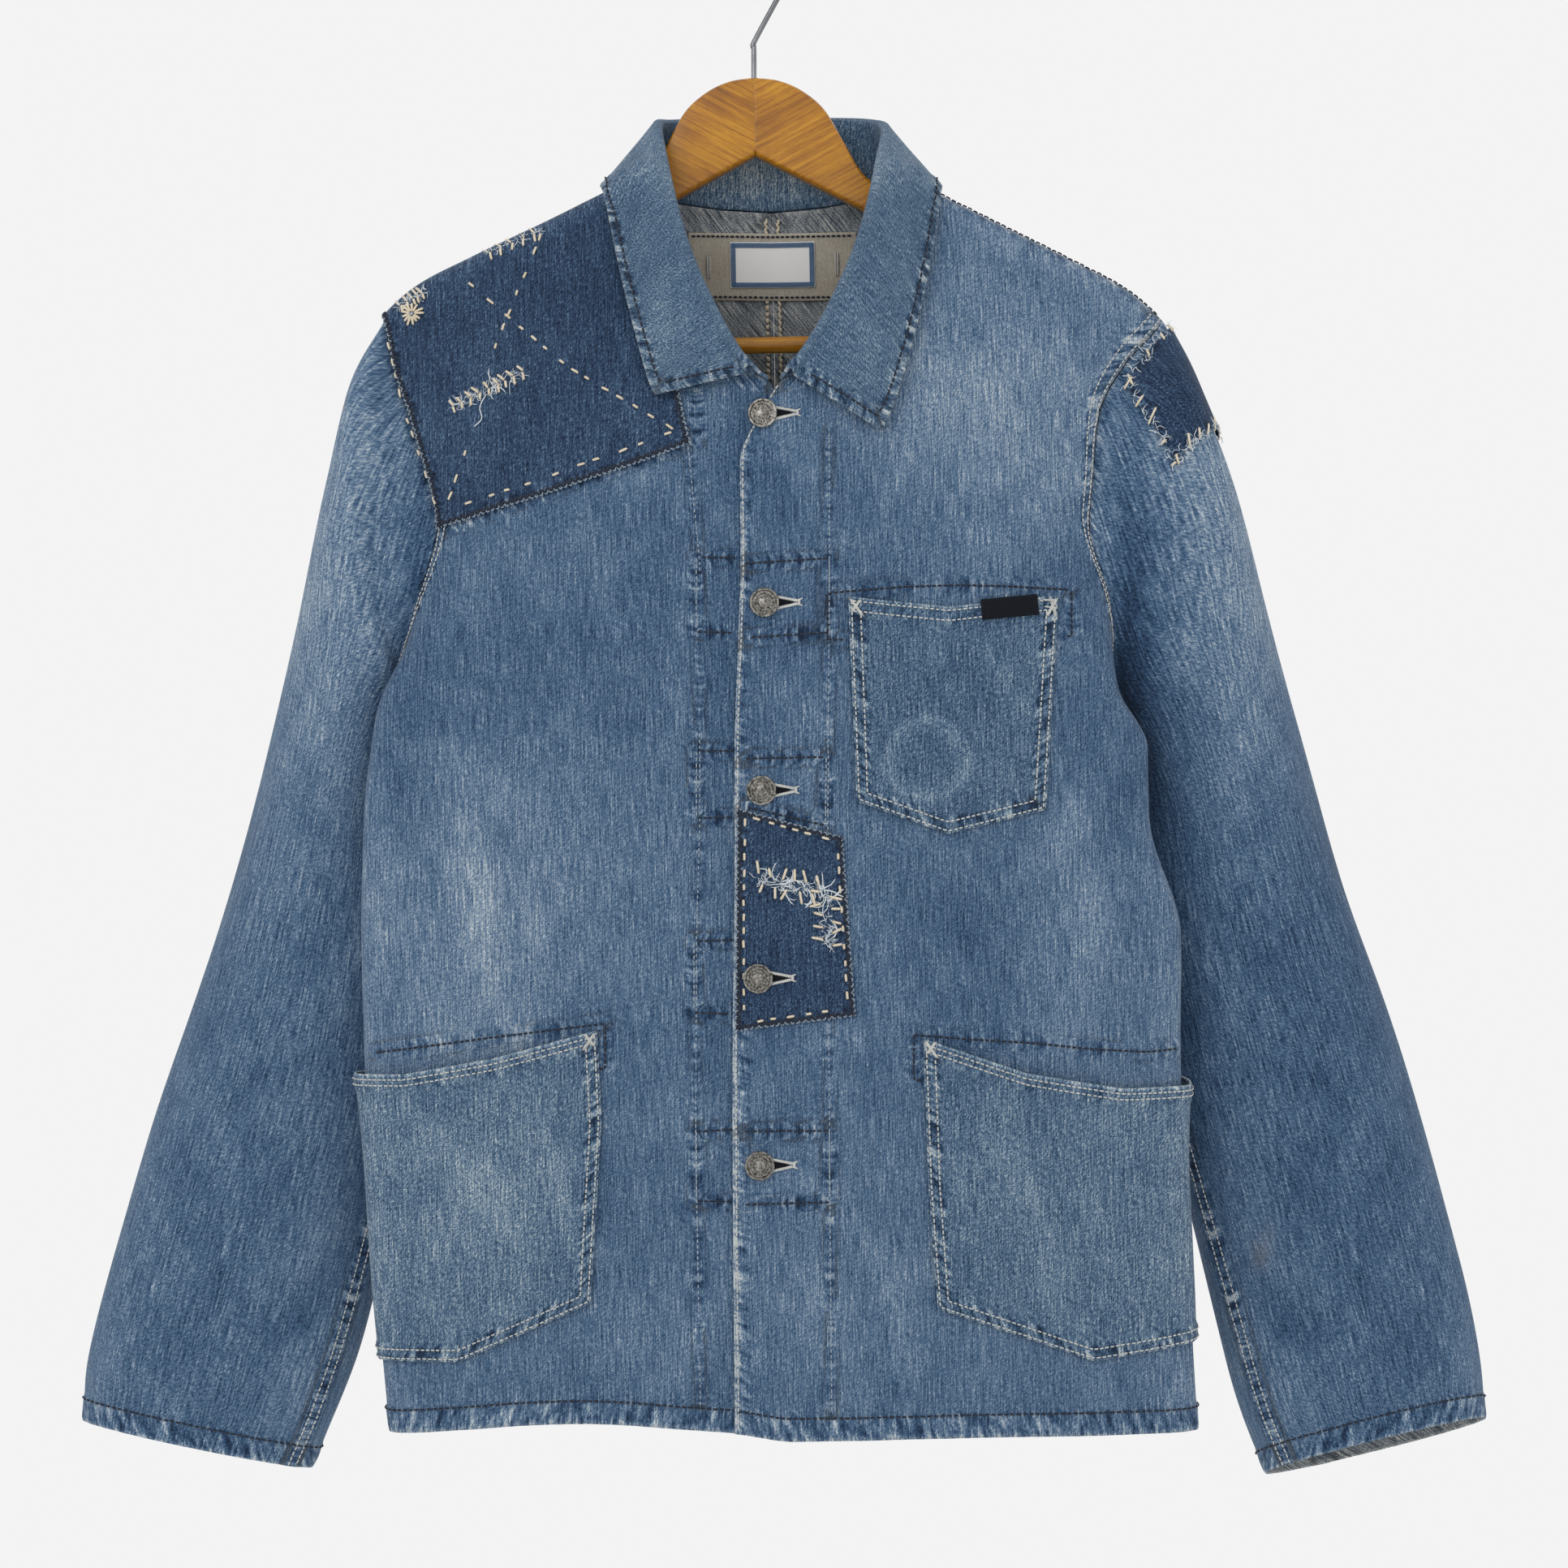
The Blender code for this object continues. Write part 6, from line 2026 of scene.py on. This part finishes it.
@dataclass
class Patches:
    """The three dark patches: over a shoulder, on the placket and over the top of a sleeve."""

    cut: PanelCut
    sleeves: Sleeves
    shoulder: ShoulderForm
    shoulder_inner: tuple = ((0, -86), (30, -85), (68, -77), (100, -62), (130, -58), (176, -50))
    shoulder_low: tuple[float, float] = (176.0, 152.0)
    shoulder_behind: float = 56.0
    shoulder_rows: tuple[tuple, ...] = (
        ((-228, -239), (-219, -277), (-206, -315), (-198, -341)),
        ((-184, -341), (-142, -329), (-96, -314), (-58, -301)),
        ((-184, -204), (-148, -237), (-120, -262), (-58, -301)),
        ((-135, -179), (-156, -230), (-166, -256)),
        ((-178, -302), (-194, -346)),
    )
    star: tuple[float, float, float] = (-213, -226, 7.5)
    slit: tuple = ((-190, -284), (-166, -272.5), (-144, -262))
    ridge_frays: tuple = (((-170, -192.5), (-152, -185.5), (-136, -179)), ((-221, -222), (-204, -213)))
    placket_rows: tuple[tuple, ...] = (
        ((-22, -526), (-24, -580), (-25, -645)),
        ((-19, -526), (31, -541)),
        ((31, -545), (35.5, -638)),
        ((-20, -644.5), (32, -638)),
    )
    tear: tuple = ((-17, -561), (-4, -564.5), (11, -567), (23, -569), (24.5, -584), (24.5, -603))
    sleeve_low: tuple = ((0.185, 1.0), (0.1, 1.36), (0.0, 1.58), (-0.117, 1.45))
    """The sleeve patch's lower edge and its top, as turns and rows of the sleeve."""
    sleeve_top: tuple = ((0.15, 0.13), (-0.117, 0.13))
    sheets: dict[str, Sheet] = field(default_factory=dict)

    def build(self) -> None:
        """Builds the three patches."""
        folded = {edge: Seam(5, 0.5, 0.5, 0.0, 1.6) for edge in Edge}
        place = self.cut.place(1, Face.FRONT)
        sheets = (
            self.over_shoulder(folded),
            PLACKET_PATCH.laid(self.cut.form, place, seams=folded),
            self.over_sleeve(),
        )
        rests = ("front_left", "back_left"), ("front_right",), ("sleeve_right",)
        for sheet, below in zip(sheets, rests, strict=True):
            sheet.build("indigo", below, INDIGO)
            self.sheets[sheet.node] = sheet

    def over_shoulder(self, seams: dict[Edge, Seam]) -> Sheet:
        """The patch over the left shoulder, from its slanting lower edge to its edge behind."""
        u, v = crowded(96, 0.4), np.linspace(0, 1, 130)
        low = self.shoulder.way_of(np.array(self.shoulder_low))
        last = float(self.shoulder.way_of(self.shoulder_behind))
        start = -(low[0] + (low[1] - low[0]) * u)
        way = start[None, :] + (last - start[None, :]) * v[:, None]
        below = self.shoulder.fall(way)
        inner = through(self.shoulder_inner, np.where(way < 0, below, 0))
        ends = [self.shoulder.armhole_x(-1, face, below) for face in Face]
        outer = np.where(way < 0, *ends) + 2 * SEAM_GAP
        return Sheet(
            "shoulder_patch",
            np.stack([inner + (outer - inner) * u[None, :], way], -1),
            self.shoulder.place,
            out=OVER_SEAM + PATCH_THICK,
            thick=PATCH_THICK,
            seams=seams,
            fades=(Spot(-110, -215, 40, 30, -0.06), Spot(-190, -300, 30, 30, 0.05)),
        )

    def over_sleeve(self) -> Sheet:
        """The raw-edged patch over the cap of the right sleeve."""
        turn, row = crowded(70, 0.4), crowded(60, 0.4)
        bottom, top = along(self.sleeve_low, turn), along(self.sleeve_top, turn)
        left, right = (along((self.sleeve_low[k], self.sleeve_top[k]), row) for k in (0, -1))
        return Sheet(
            "sleeve_patch",
            fill(bottom, top, left, right, turn, row),
            self.sleeves.sheets[1].place,
            out=OVER_SEAM + PATCH_THICK,
            thick=PATCH_THICK,
            seams={edge: Seam(4, 0.6, 0.6, 0.0) for edge in Edge},
            tone=-0.07,
            flat_scale=(self.sleeves.around, -SLEEVE_ROW),
        )

    def sew(self, navy: Needlework, faded: Needlework, sand: Needlework) -> None:
        """Sews the patches' edges and their rows of running stitches.

        Args:
            navy: The machine zigzag over their edges.
            faded: The paler zigzag at their rims.
            sand: The hand stitches.
        """
        patch = self.sheets["shoulder_patch"]
        for edge in (Edge.BOTTOM, Edge.RIGHT, Edge.LEFT, Edge.TOP):
            navy.zigzag(patch, patch.inset(edge, 2.0), 3.2, 1.9)
            faded.zigzag(patch, patch.inset(edge, 0.7), 2.2, 1.5)
        for row in self.shoulder_rows:
            line = self.shoulder.seen(even(row, 50))
            sand.row(patch, line, length=4.8, gap=8.0, wobble=0.3, off=0.3)
        patch = self.sheets["placket_patch"]
        for edge in Edge:
            navy.zigzag(patch, patch.inset(edge, 1.7), 3.0, 1.9)
            faded.zigzag(patch, patch.inset(edge, 0.6), 2.0, 1.5)
        for row in self.placket_rows:
            line = self.cut.form.on_face(even(row, 40))
            sand.row(patch, line, length=4.4, gap=5.0, wobble=0.22, off=0.3)

    def mend(self, sand: Needlework, fluff: Needlework) -> None:
        """Darns the worn places and leaves their bare yarns showing.

        Args:
            sand: The darning thread.
            fluff: Bare cotton yarns.
        """
        patch, seen = self.sheets["shoulder_patch"], self.shoulder.seen
        x, height, radius = self.star
        spokes = 13
        for k in range(spokes):
            turn = 2 * math.pi * k / spokes + sand.luck.uniform(-0.1, 0.1)
            way = np.array((math.cos(turn), math.sin(turn)))
            reach = radius * sand.luck.uniform(0.8, 1.05)
            ends = np.array((x, height)) + np.array((1.2, reach / 2, reach))[:, None] * way
            sand.tack(patch, seen(ends), 0.4, 0.6)
        self.tangle(fluff, patch, seen([(x - 3, height), (x + 3, height)]), 2.5, 16, 4)
        line = even(self.slit, 24)
        self.fishbone(sand, line, 9, 4.8)
        self.tangle(fluff, patch, seen(line[2:22]), 1.7, 80, 6, 0.3)
        self.tangle(fluff, patch, seen(line[4:20]), 1.0, 6, 13, 0.5)
        for fray in self.ridge_frays:
            line = even(fray, 16)
            self.tangle(fluff, patch, seen(line), 2.2, 36, 5)
            self.fishbone(sand, line, 5, 4.2)
        loose = seen([(-168, -276), (-172, -284), (-171, -291), (-176, -296)])
        base, normal = patch.surface(loose, 0.9)
        fluff.strand(smooth_rows(base[:, None], np.linspace(0, 3, 16))[:, 0], normal[1], 0.7)
        patch, seen = self.sheets["placket_patch"], self.cut.form.on_face
        line = even(self.tear, 30)
        self.tangle(fluff, patch, seen(line), 2.4, 110, 6)
        self.tangle(fluff, patch, seen(line[4:24]), 1.3, 24, 15, 0.75)
        spokes = 21
        for k in range(spokes):
            share = (k + 0.5) / spokes
            at, ahead = along(line, (share, min(share + 0.02, 1)))
            way = unit(ahead - at)
            side = np.array((way[1], -way[0])) * (1 if k % 2 else -1)
            lean = way * sand.luck.uniform(-0.5, 0.5)
            reach = (side + lean) * sand.luck.uniform(5.5, 8.5)
            sand.tack(patch, seen(at + side * 2.2 + np.outer((0, 0.5, 1), reach)), 0.7, 0.9)

    def fishbone(self, sand: Needlework, line: Grid, pairs: int, size: float) -> None:
        """Crosses a mend of the shoulder's patch with slanting pairs of stitches.

        Args:
            sand: The darning thread.
            line: The mend's line, seen from the front.
            pairs: Number of pairs.
            size: Length of one stitch.
        """
        for share in (np.arange(pairs) + 0.5) / pairs:
            at, ahead = along(line, (share, min(share + 0.05, 1)))
            way = unit(ahead - at)
            side = np.array((way[1], -way[0]))
            for hand in (-1, 1):
                lean = way * sand.luck.uniform(-0.6, -0.1)
                reach = (side * hand + lean) * size * sand.luck.uniform(0.8, 1.15)
                ends = at + np.outer((0, 0.5, 1), reach) + way * sand.luck.uniform(-1, 1)
                sand.tack(self.sheets["shoulder_patch"], self.shoulder.seen(ends), 0.5, 0.6)

    def tangle(
        self,
        fluff: Needlework,
        patch: Sheet,
        line: Any,
        wide: float,
        count: int,
        size: float,
        thick: float = 0.34,
    ) -> None:
        """Scatters short curled yarns along a line.

        Args:
            fluff: The bare yarns.
            patch: The cloth.
            line: The line's parameters.
            wide: How far to each side they start, in millimetres.
            count: How many.
            size: Their usual length.
            thick: Their usual width.
        """
        base, normal = patch.surface(line, 0.25)
        luck = fluff.luck
        for _ in range(count):
            at = luck.random() * (len(base) - 1)
            up = normal[int(at)]
            point = base[int(at)] + (base[min(int(at) + 1, len(base) - 1)] - base[int(at)]) * (at % 1)
            first = unit(np.cross(up, (0.0, 0.0, 1.0)))
            second = np.cross(up, first)
            turn = luck.uniform(0, 2 * math.pi)
            spread = max(-1.6, min(1.6, luck.gauss(0, 0.7))) * wide
            point = point + second * spread * 0.6 + first * luck.uniform(-1, 1) * wide * 0.6
            strand, bend = [point], luck.uniform(-0.5, 0.5)
            for step in range(6):
                turn += bend + luck.uniform(-0.35, 0.35)
                move = (math.cos(turn) * first + math.sin(turn) * second) * size / 6
                hump = 0.22 * math.sin(math.pi * (step + 1) / 6) * luck.uniform(0.4, 1.4)
                strand.append(strand[-1] + move + up * hump * (1 if step < 3 else -0.8))
            fluff.strand(np.array(strand), up, luck.uniform(0.6, 1.5) * thick)

    def whip(self, sand: Needlework, fluff: Needlework) -> None:
        """Whips the raw edges of the sleeve's patch and lets their yarns hang."""
        patch = self.sheets["sleeve_patch"]
        for edge in Edge:
            line, deeper = patch.inset(edge, 0.6), patch.inset(edge, 5.2)
            shares = np.linspace(0.03, 0.97, max(3, int(len(line) / 3.2)))
            starts, ends = along(line, shares), along(deeper, shares)
            away = starts + (starts - ends) * 0.75
            for start, end in zip(away, ends, strict=True):
                jitter = sand.luck.uniform(-0.008, 0.008), sand.luck.uniform(-0.04, 0.04)
                base, normal = patch.surface([start, (start + end) / 2, end + jitter], 0.4)
                sand.stitch(base[0] - normal[0] * 1.6, base[2], normal[1], 0.9)
            self.tangle(fluff, patch, line, 2.0, len(line) * 2, 6)


@dataclass
class Tab:
    """The blank black tape caught in the chest pocket's mouth."""

    cut: PanelCut
    tape: SewnOn = SewnOn(
        "pocket_tab",
        ((116, -403), (149, -400.5)),
        ((117, -415), (150, -412.5)),
        (30, 14),
        5.6,
        0.8,
    )

    def build(self) -> None:
        """Builds the tape."""
        seams = {edge: Seam(1.5, 0.2, 0.3, 0.0) for edge in Edge}
        place = self.cut.place(1, Face.FRONT)
        self.tape.laid(self.cut.form, place, kind="tape", seams=seams).build("tape", ("chest_pocket",), TAPE)


def stand_in(piece: bpy.types.Object, node: str, finish: Any) -> None:
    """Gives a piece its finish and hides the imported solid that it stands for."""
    piece.data.materials.append(made(finish))
    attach(piece, EVERYWHERE)
    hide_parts(node)
    LOG.info("%s", piece.name)


def lathe(name: str, profile: list, frame_of: tuple, around: int, wave: Any = None) -> bpy.types.Object:
    """Turns a profile round an axis.

    Args:
        name: The piece's name.
        profile: Rows of radius and height, from one end of the axis to the other.
        frame_of: Centre, first direction, second direction and axis, in the upright frame.
        around: Number of segments.
        wave: Extra height for a radius and a turn.

    Returns:
        The new piece.
    """
    centre, first, second, axis = (np.asarray(v, float) for v in frame_of)
    turns = np.arange(around) * 2 * math.pi / around
    rows = []
    for radius, height in profile:
        rise = height + (wave(radius, turns) if wave else np.zeros(around))
        ring = radius * (np.cos(turns)[:, None] * first + np.sin(turns)[:, None] * second)
        rows.append(centre + ring + rise[:, None] * axis)
    return piece_of(name, np.array(rows), capped(len(profile), around), 45)


def capped(rows: int, around: int) -> list:
    """Faces round a closed grid, with one face over each end."""
    ends = np.arange(around)
    return [*quads(rows, around, True).tolist(), ends[::-1].tolist(), (ends + (rows - 1) * around).tolist()]


@dataclass
class Buttons:
    """Five pressed metal buttons and the buttonholes that they are through."""

    panels: Panels
    places: tuple = ((-7.3, -291.5), (-8.5, -402), (-12.4, -510.7), (-16.4, -619.5), (-17.5, -728))
    radius: float = 8.6
    rim: float = 2.6
    notches: int = 28
    hole: float = 20.0
    patch_heights: tuple[float, float] = (-645.0, -537.0)

    def profile(self) -> list:
        """The button's section, from the middle of its back to the middle of its face."""
        r, h = self.radius, self.rim
        turns = np.linspace(math.pi * 0.9, 0, 9)
        edge = [(r - 0.5 + 0.5 * math.sin(t), h - 0.55 + 0.55 * math.cos(t)) for t in turns]
        ring = [(r * 0.84, h - 0.12), (r * 0.8, h - 0.75), (r * 0.76, h - 0.8), (r * 0.74, h - 0.32)]
        band = [(r * share, h - 0.3) for share in (0.7, 0.66, 0.62, 0.58, 0.54, 0.5)]
        inner = [(r * 0.47, h - 0.28), (r * 0.45, h - 0.7), (r * 0.41, h - 0.7), (r * 0.38, h - 0.3)]
        shares = (0.34, 0.26, 0.18, 0.1, 0.02)
        dome = [(r * share, h - 0.3 + 0.5 * (1 - (share / 0.36) ** 2)) for share in shares]
        return [(0.02, 0.1), (r * 0.86, 0.1), *edge, *ring, *band, *inner, *dome]

    def notch(self, radius: float, turns: np.ndarray) -> np.ndarray:
        """The small radiating notches in the band between the two rings."""
        inside = 0.53 * self.radius <= radius <= 0.67 * self.radius
        return (0.24 if inside else 0.0) * np.sign(np.cos(self.notches * turns))

    def build(self) -> None:
        """Builds the five buttons."""
        place = self.panels.cut.place(1, Face.FRONT)
        low, high = self.patch_heights
        for number, (x, height) in enumerate(self.places, start=1):
            off = 0.3 + (2.0 if low < height < high else 0)
            at = self.panels.cut.form.on_face([(x, height), (x + 1, height), (x, height + 1)])
            points = place(at[:, 0], at[:, 1], off)
            first = unit(points[1] - points[0])
            axis = unit(np.cross(first, points[2] - points[0]))
            frame_of = points[0], first, np.cross(axis, first), axis
            button = lathe(f"button_{number}_metal", self.profile(), frame_of, 112, self.notch)
            stand_in(button, f"button_{number}", NICKEL)

    def sew(self, ecru: Needlework, dark: Needlework, patch: Sheet) -> None:
        """Works the buttonholes: two satin legs that meet past the button, over black strands painted as the
        shadow in the slit.

        Args:
            ecru: The buttonhole thread.
            dark: The black strands painted as the shadow in each slit.
            patch: The placket's patch, which one buttonhole is worked through.
        """
        right, seen = self.panels.sheets["front_right"], self.panels.cut.form.on_face
        low, high = self.patch_heights
        for x, height in self.places:
            sheet = patch if low < height < high else right
            tip = x + self.hole
            for hand in (-1, 1):
                leg = even(((x + 7, height + 3.4 * hand), (tip - 1, height + 0.9 * hand)), 12)
                ecru.zigzag(sheet, seen(leg), 1.7, 0.55, 0.3)
                whisker = even(((tip - 1, height + hand), (tip + 2.2, height + 2.2 * hand)), 3)
                ecru.tack(sheet, seen(whisker), 0.35, 0.5)
            bar = even(((tip, height - 1.6), (tip, height + 1.6)), 5)
            ecru.zigzag(sheet, seen(bar), 1.8, 0.42, 0.35)
            # Three black strands in each slit: painted shadow where the slit opens.
            for hand in (-1, 0, 1):
                slit = even(((x + 5, height + 2 * hand), (tip - 3, height + 0.3 * hand)), 8)
                base, normal = sheet.surface(seen(slit), 0.05)
                dark.strand(base, normal[0], 2.4)


@dataclass
class Hanger:
    """The shaped wooden hanger in two halves, with its round bar and its wire hook."""

    form: BodyForm
    middle: float = -9.0
    apex: float = -87.4
    thick: float = 14.0
    dome: tuple = ((0, 0), (15, 2.2), (30, 9.4), (42, 20.5), (52, 38), (62, 56), (76, 70))
    under: float = 2.3  # the wood below the shoulders' ridge
    low_apex: float = -133.6
    low_slope: float = 0.53
    tall: float = 26.7
    meets: tuple[float, float] = (62.0, 110.0)
    end: float = 207.0
    ear: float = 178.0
    ear_low: float = -257.0
    bar_height: float = -246.0
    bar_radius: float = 4.9
    corner: float = 3.6
    around: int = 48
    wire: float = 1.6
    hook_radius: float = 21.8
    hook_centre: float = -20.2
    neck_top: float = -62.3

    def top(self, distance: float, side: int) -> float:
        """Height of the upper edge at a distance from the middle joint."""
        last = self.dome[-1][0]
        dome = self.apex - through(self.dome, min(distance, last))
        dome = dome - max(distance - last, 0) * self.low_slope
        arm = float(self.form.ridge(self.middle + side * distance)) - self.under
        share = float(smoothstep(self.meets[0], self.meets[1], distance))
        return float(dome) * (1 - share) + arm * share

    def section(self, distance: float, side: int) -> np.ndarray:
        """Points round one section, in the upright frame."""
        top = self.top(distance, side)
        low = self.low_apex - self.low_slope * distance
        share = float(np.clip((distance - self.meets[0]) / (self.meets[1] - self.meets[0]), 0, 1))
        low = low * (1 - share) + (top - self.tall) * share
        low += (self.ear_low - low) * float(smoothstep(self.ear - 4, self.ear + 2, distance))
        middle, half, thick = (top + low) / 2, (top - low) / 2, self.thick / 2
        if distance > self.ear:
            rounding = math.sqrt(max(1 - ((distance - self.ear) / (self.end + 0.3 - self.ear)) ** 3, 0.0004))
            middle = top - half * rounding - half * (1 - rounding) * 0.6
            half, thick = half * rounding, thick * rounding
        corner = min(self.corner, thick * 0.9, half * 0.9)
        turn = np.arange(self.around) * 2 * math.pi / self.around + math.pi / self.around
        across = np.sign(np.cos(turn)) * (thick - corner) + corner * np.cos(turn)
        upward = np.sign(np.sin(turn)) * (half - corner) + corner * np.sin(turn)
        x = np.full(self.around, self.middle + side * distance)
        return np.stack([x, across, middle + upward], -1)

    def build(self) -> None:
        """Builds both halves, the bar and the hook."""
        arm, ear = np.linspace(1.2, self.ear - 5, 90), np.linspace(self.ear - 4, self.end, 40)
        stations = np.concatenate([[0.03, 0.5], arm, ear])
        for side, word in SIDES.items():
            grid = np.array([self.section(float(at), side) for at in stations])
            joint = grid[0, :, 1:].mean(axis=0)
            grid[0, :, 1:] = joint + (grid[0, :, 1:] - joint) * 0.985
            faces = [face[::side] for face in capped(len(stations), self.around)]
            half = piece_of(f"hanger_{word}_wood", grid, faces, 60)
            finish = Wood(f"varnished beech, {word}", -28.0 * side)
            stand_in(half, f"hanger_half_{word}", finish)
        self.build_bar()
        self.build_hook()

    def build_bar(self) -> None:
        """The round bar, let into the arms at both ends."""
        reach, radius = self.ear - 1.25, self.bar_radius
        ends = ((0.02, -reach), (radius - 0.5, -reach), (radius, -reach + 0.6))
        turned = [(radius + 0.06 * math.sin(at / 31), at) for at in np.linspace(-reach + 2, reach - 2, 40)]
        profile = [*ends, *turned, *((wide, -at) for wide, at in ends[::-1])]
        at = (self.middle, 0, self.bar_height)
        bar = lathe("hanger_bar_wood", profile, (at, (0, 1, 0), (0, 0, 1), (1, 0, 0)), 40)
        stand_in(bar, "hanger_bar", Wood("varnished beech, bar"))

    def build_hook(self) -> None:
        """The wire: straight up out of the wood, round the open bend, and a short flare at its tip."""
        foot, radius = hang((self.middle, 0, self.apex))[2] / MM + SEAM_GAP, self.hook_radius
        line = [(0.0, at) for at in np.linspace(foot, self.neck_top - 6, 8)]
        line.append((0.8, self.neck_top - 2))
        for turn in np.radians(np.linspace(-24, 205, 60)):
            line.append((radius * math.cos(turn), self.hook_centre + radius * math.sin(turn)))
        line.append((line[-1][0] - 2.5, line[-1][1] - 5.4))
        line.append((line[-1][0] - 4.0, line[-1][1] - 4.5))
        points = np.array([(x, 0.0, z) for x, z in line])
        fine = smooth_rows(points[:, None], np.linspace(0, len(points) - 1, 400))[:, 0]
        curve = bpy.data.curves.new("hanger_hook_wire", "CURVE")
        curve.dimensions = "3D"
        curve.bevel_depth = self.wire * MM
        curve.bevel_resolution = 6
        curve.use_fill_caps = True
        spline = curve.splines.new("POLY")
        spline.points.add(len(fine) - 1)
        for place, point in zip(spline.points, fine, strict=True):
            place.co = (*(point * MM), 1)
        hook = bpy.data.objects.new("hanger_hook_wire", curve)
        bpy.context.scene.collection.objects.link(hook)
        stand_in(hook, "hanger_hook", WIRE)


@dataclass
class Studio:
    """A pale room with soft light and a level camera in front of the jacket."""

    camera_at: tuple[float, float, float] = (0.0179, -2.055, -0.5071)
    lens: float = 79.3
    sensor: float = 36.0
    floor_height: float = -1.28
    floor_half: float = 1.15
    sky: str = "#ffffff"
    sky_strength: float = 0.9

    def build(self) -> None:
        """Builds the floor, the lights, the world and the camera."""
        scene = bpy.context.scene
        scene.view_settings.view_transform = "Standard"
        world = bpy.data.worlds.new("soft studio")
        scene.world = world
        world.use_nodes = True
        background = world.node_tree.nodes["Background"]
        background.inputs["Color"].default_value = linear(self.sky)
        background.inputs["Strength"].default_value = self.sky_strength
        half = self.floor_half
        mesh = bpy.data.meshes.new("floor")
        corners = [(-half, -half), (half, -half), (half, half), (-half, half)]
        mesh.from_pydata([(x, y, self.floor_height) for x, y in corners], [], [(0, 1, 2, 3)])
        mesh.materials.append(made(Plaster()))
        floor = bpy.data.objects.new("floor", mesh)
        scene.collection.objects.link(floor)
        self.lamp("key", (-1.1, -1.9, 0.55), 1.1, 9.0)
        self.lamp("fill", (1.5, -1.7, -0.1), 1.6, 2.0)
        self.lamp("back", (0.4, 1.9, 0.6), 1.6, 6.0)
        camera = bpy.data.cameras.new("camera")
        camera.lens = self.lens
        camera.sensor_width = self.sensor
        camera.sensor_fit = "HORIZONTAL"
        seat = bpy.data.objects.new("camera", camera)
        seat.location = self.camera_at
        seat.rotation_euler = (math.radians(90), 0, 0)
        scene.collection.objects.link(seat)
        scene.camera = seat

    def lamp(self, name: str, at: tuple[float, float, float], size: float, power: float) -> None:
        """Adds a soft square lamp that faces the jacket's middle."""
        light = bpy.data.lights.new(name, "AREA")
        light.shape = "SQUARE"
        light.size = size
        light.energy = power
        lamp = bpy.data.objects.new(name, light)
        lamp.location = at
        aim = Vector((0.02, 0, -0.5)) - Vector(at)
        lamp.rotation_euler = aim.to_track_quat("-Z", "Y").to_euler()
        bpy.context.scene.collection.objects.link(lamp)


def main() -> None:
    """Builds the jacket and its hanger in order, sews it, and sets the studio up."""
    logging.basicConfig(level=logging.INFO, format="%(name)s: %(message)s")
    form = BodyForm(folds=CREASES)
    cut = PanelCut(form)
    navy, ecru = Needlework("navy_stitching", 1.25), Needlework("ecru_stitching", 0.9)
    sand, fluff = Needlework("darning_stitches", 1.5), Needlework("bare_yarns", 0.4)
    faded = Needlework("facing_stitching", 0.75)
    # The buttonhole strands are black thread painted as the shadow inside the slits.
    blue, dark = Needlework("label_border", 0.7), Needlework("buttonhole_slit_shadows", 2.0)
    panels, sleeves = Panels(cut), Sleeves(form)
    collar, pockets = Collar(CollarForm(cut)), Pockets(cut)
    neck, patches = NeckPieces(form), Patches(cut, sleeves, ShoulderForm(form))
    buttons = Buttons(panels)
    for part in (panels, sleeves, collar, pockets, neck, patches, Tab(cut), buttons, Hanger(form)):
        part.build()
    panels.sew(navy, ecru, faded, sand)
    sleeves.sew(navy, ecru)
    collar.sew(navy)
    pockets.sew(ecru)
    neck.sew(navy, ecru, blue)
    patches.sew(navy, faded, sand)
    patches.mend(sand, fluff)
    patches.whip(sand, fluff)
    buttons.sew(ecru, dark, patches.sheets["placket_patch"])
    navy.make(NAVY, "denim")
    ecru.make(ECRU, "denim")
    faded.make(FADED, "denim")
    sand.make(SAND, "indigo")
    fluff.make(FLUFF, "indigo")
    blue.make(BORDER, "label_cloth")
    # The slits' painted shadow is drawn in the black tape's material.
    dark.make(TAPE, "denim")
    Studio().build()


CREASES: dict[Face, tuple[Fold, ...]] = {
    Face.FRONT: (
        Fold((-215, -470), (-120, -560), 14, 1.5),
        Fold((-190, -500), (-175, -650), 13, 1.9),
        Fold((-150, -540), (-155, -655), 10, 1.5),
        Fold((-120, -340), (-95, -470), 12, 1.2),
        Fold((205, -470), (130, -575), 13, 1.7),
        Fold((175, -560), (165, -660), 12, 1.7),
        Fold((-60, -320), (-75, -520), 11, 1.4),
        Fold((60, -560), (150, -650), 14, -1.8),
        Fold((-30, -780), (-90, -870), 12, 1.8),
        Fold((40, -760), (70, -880), 11, 1.8),
        Fold((200, -300), (120, -380), 14, 1.8),
        Fold((110, -700), (160, -830), 13, 1.9),
        Fold((190, -720), (215, -820), 11, 1.6),
        Fold((-205, -700), (-150, -800), 13, 1.9),
        Fold((-150, -690), (-125, -790), 10, 1.5),
    ),
    Face.BACK: (
        Fold((-200, -420), (-90, -560), 15, 2.8),
        Fold((200, -430), (80, -560), 15, 2.8),
        Fold((-60, -240), (-30, -520), 17, 1.8),
        Fold((70, -260), (40, -560), 17, 1.8),
        Fold((-160, -640), (-110, -860), 17, -2.0),
        Fold((150, -600), (120, -860), 17, 2.0),
    ),
}


if __name__ == "__main__":
    main()
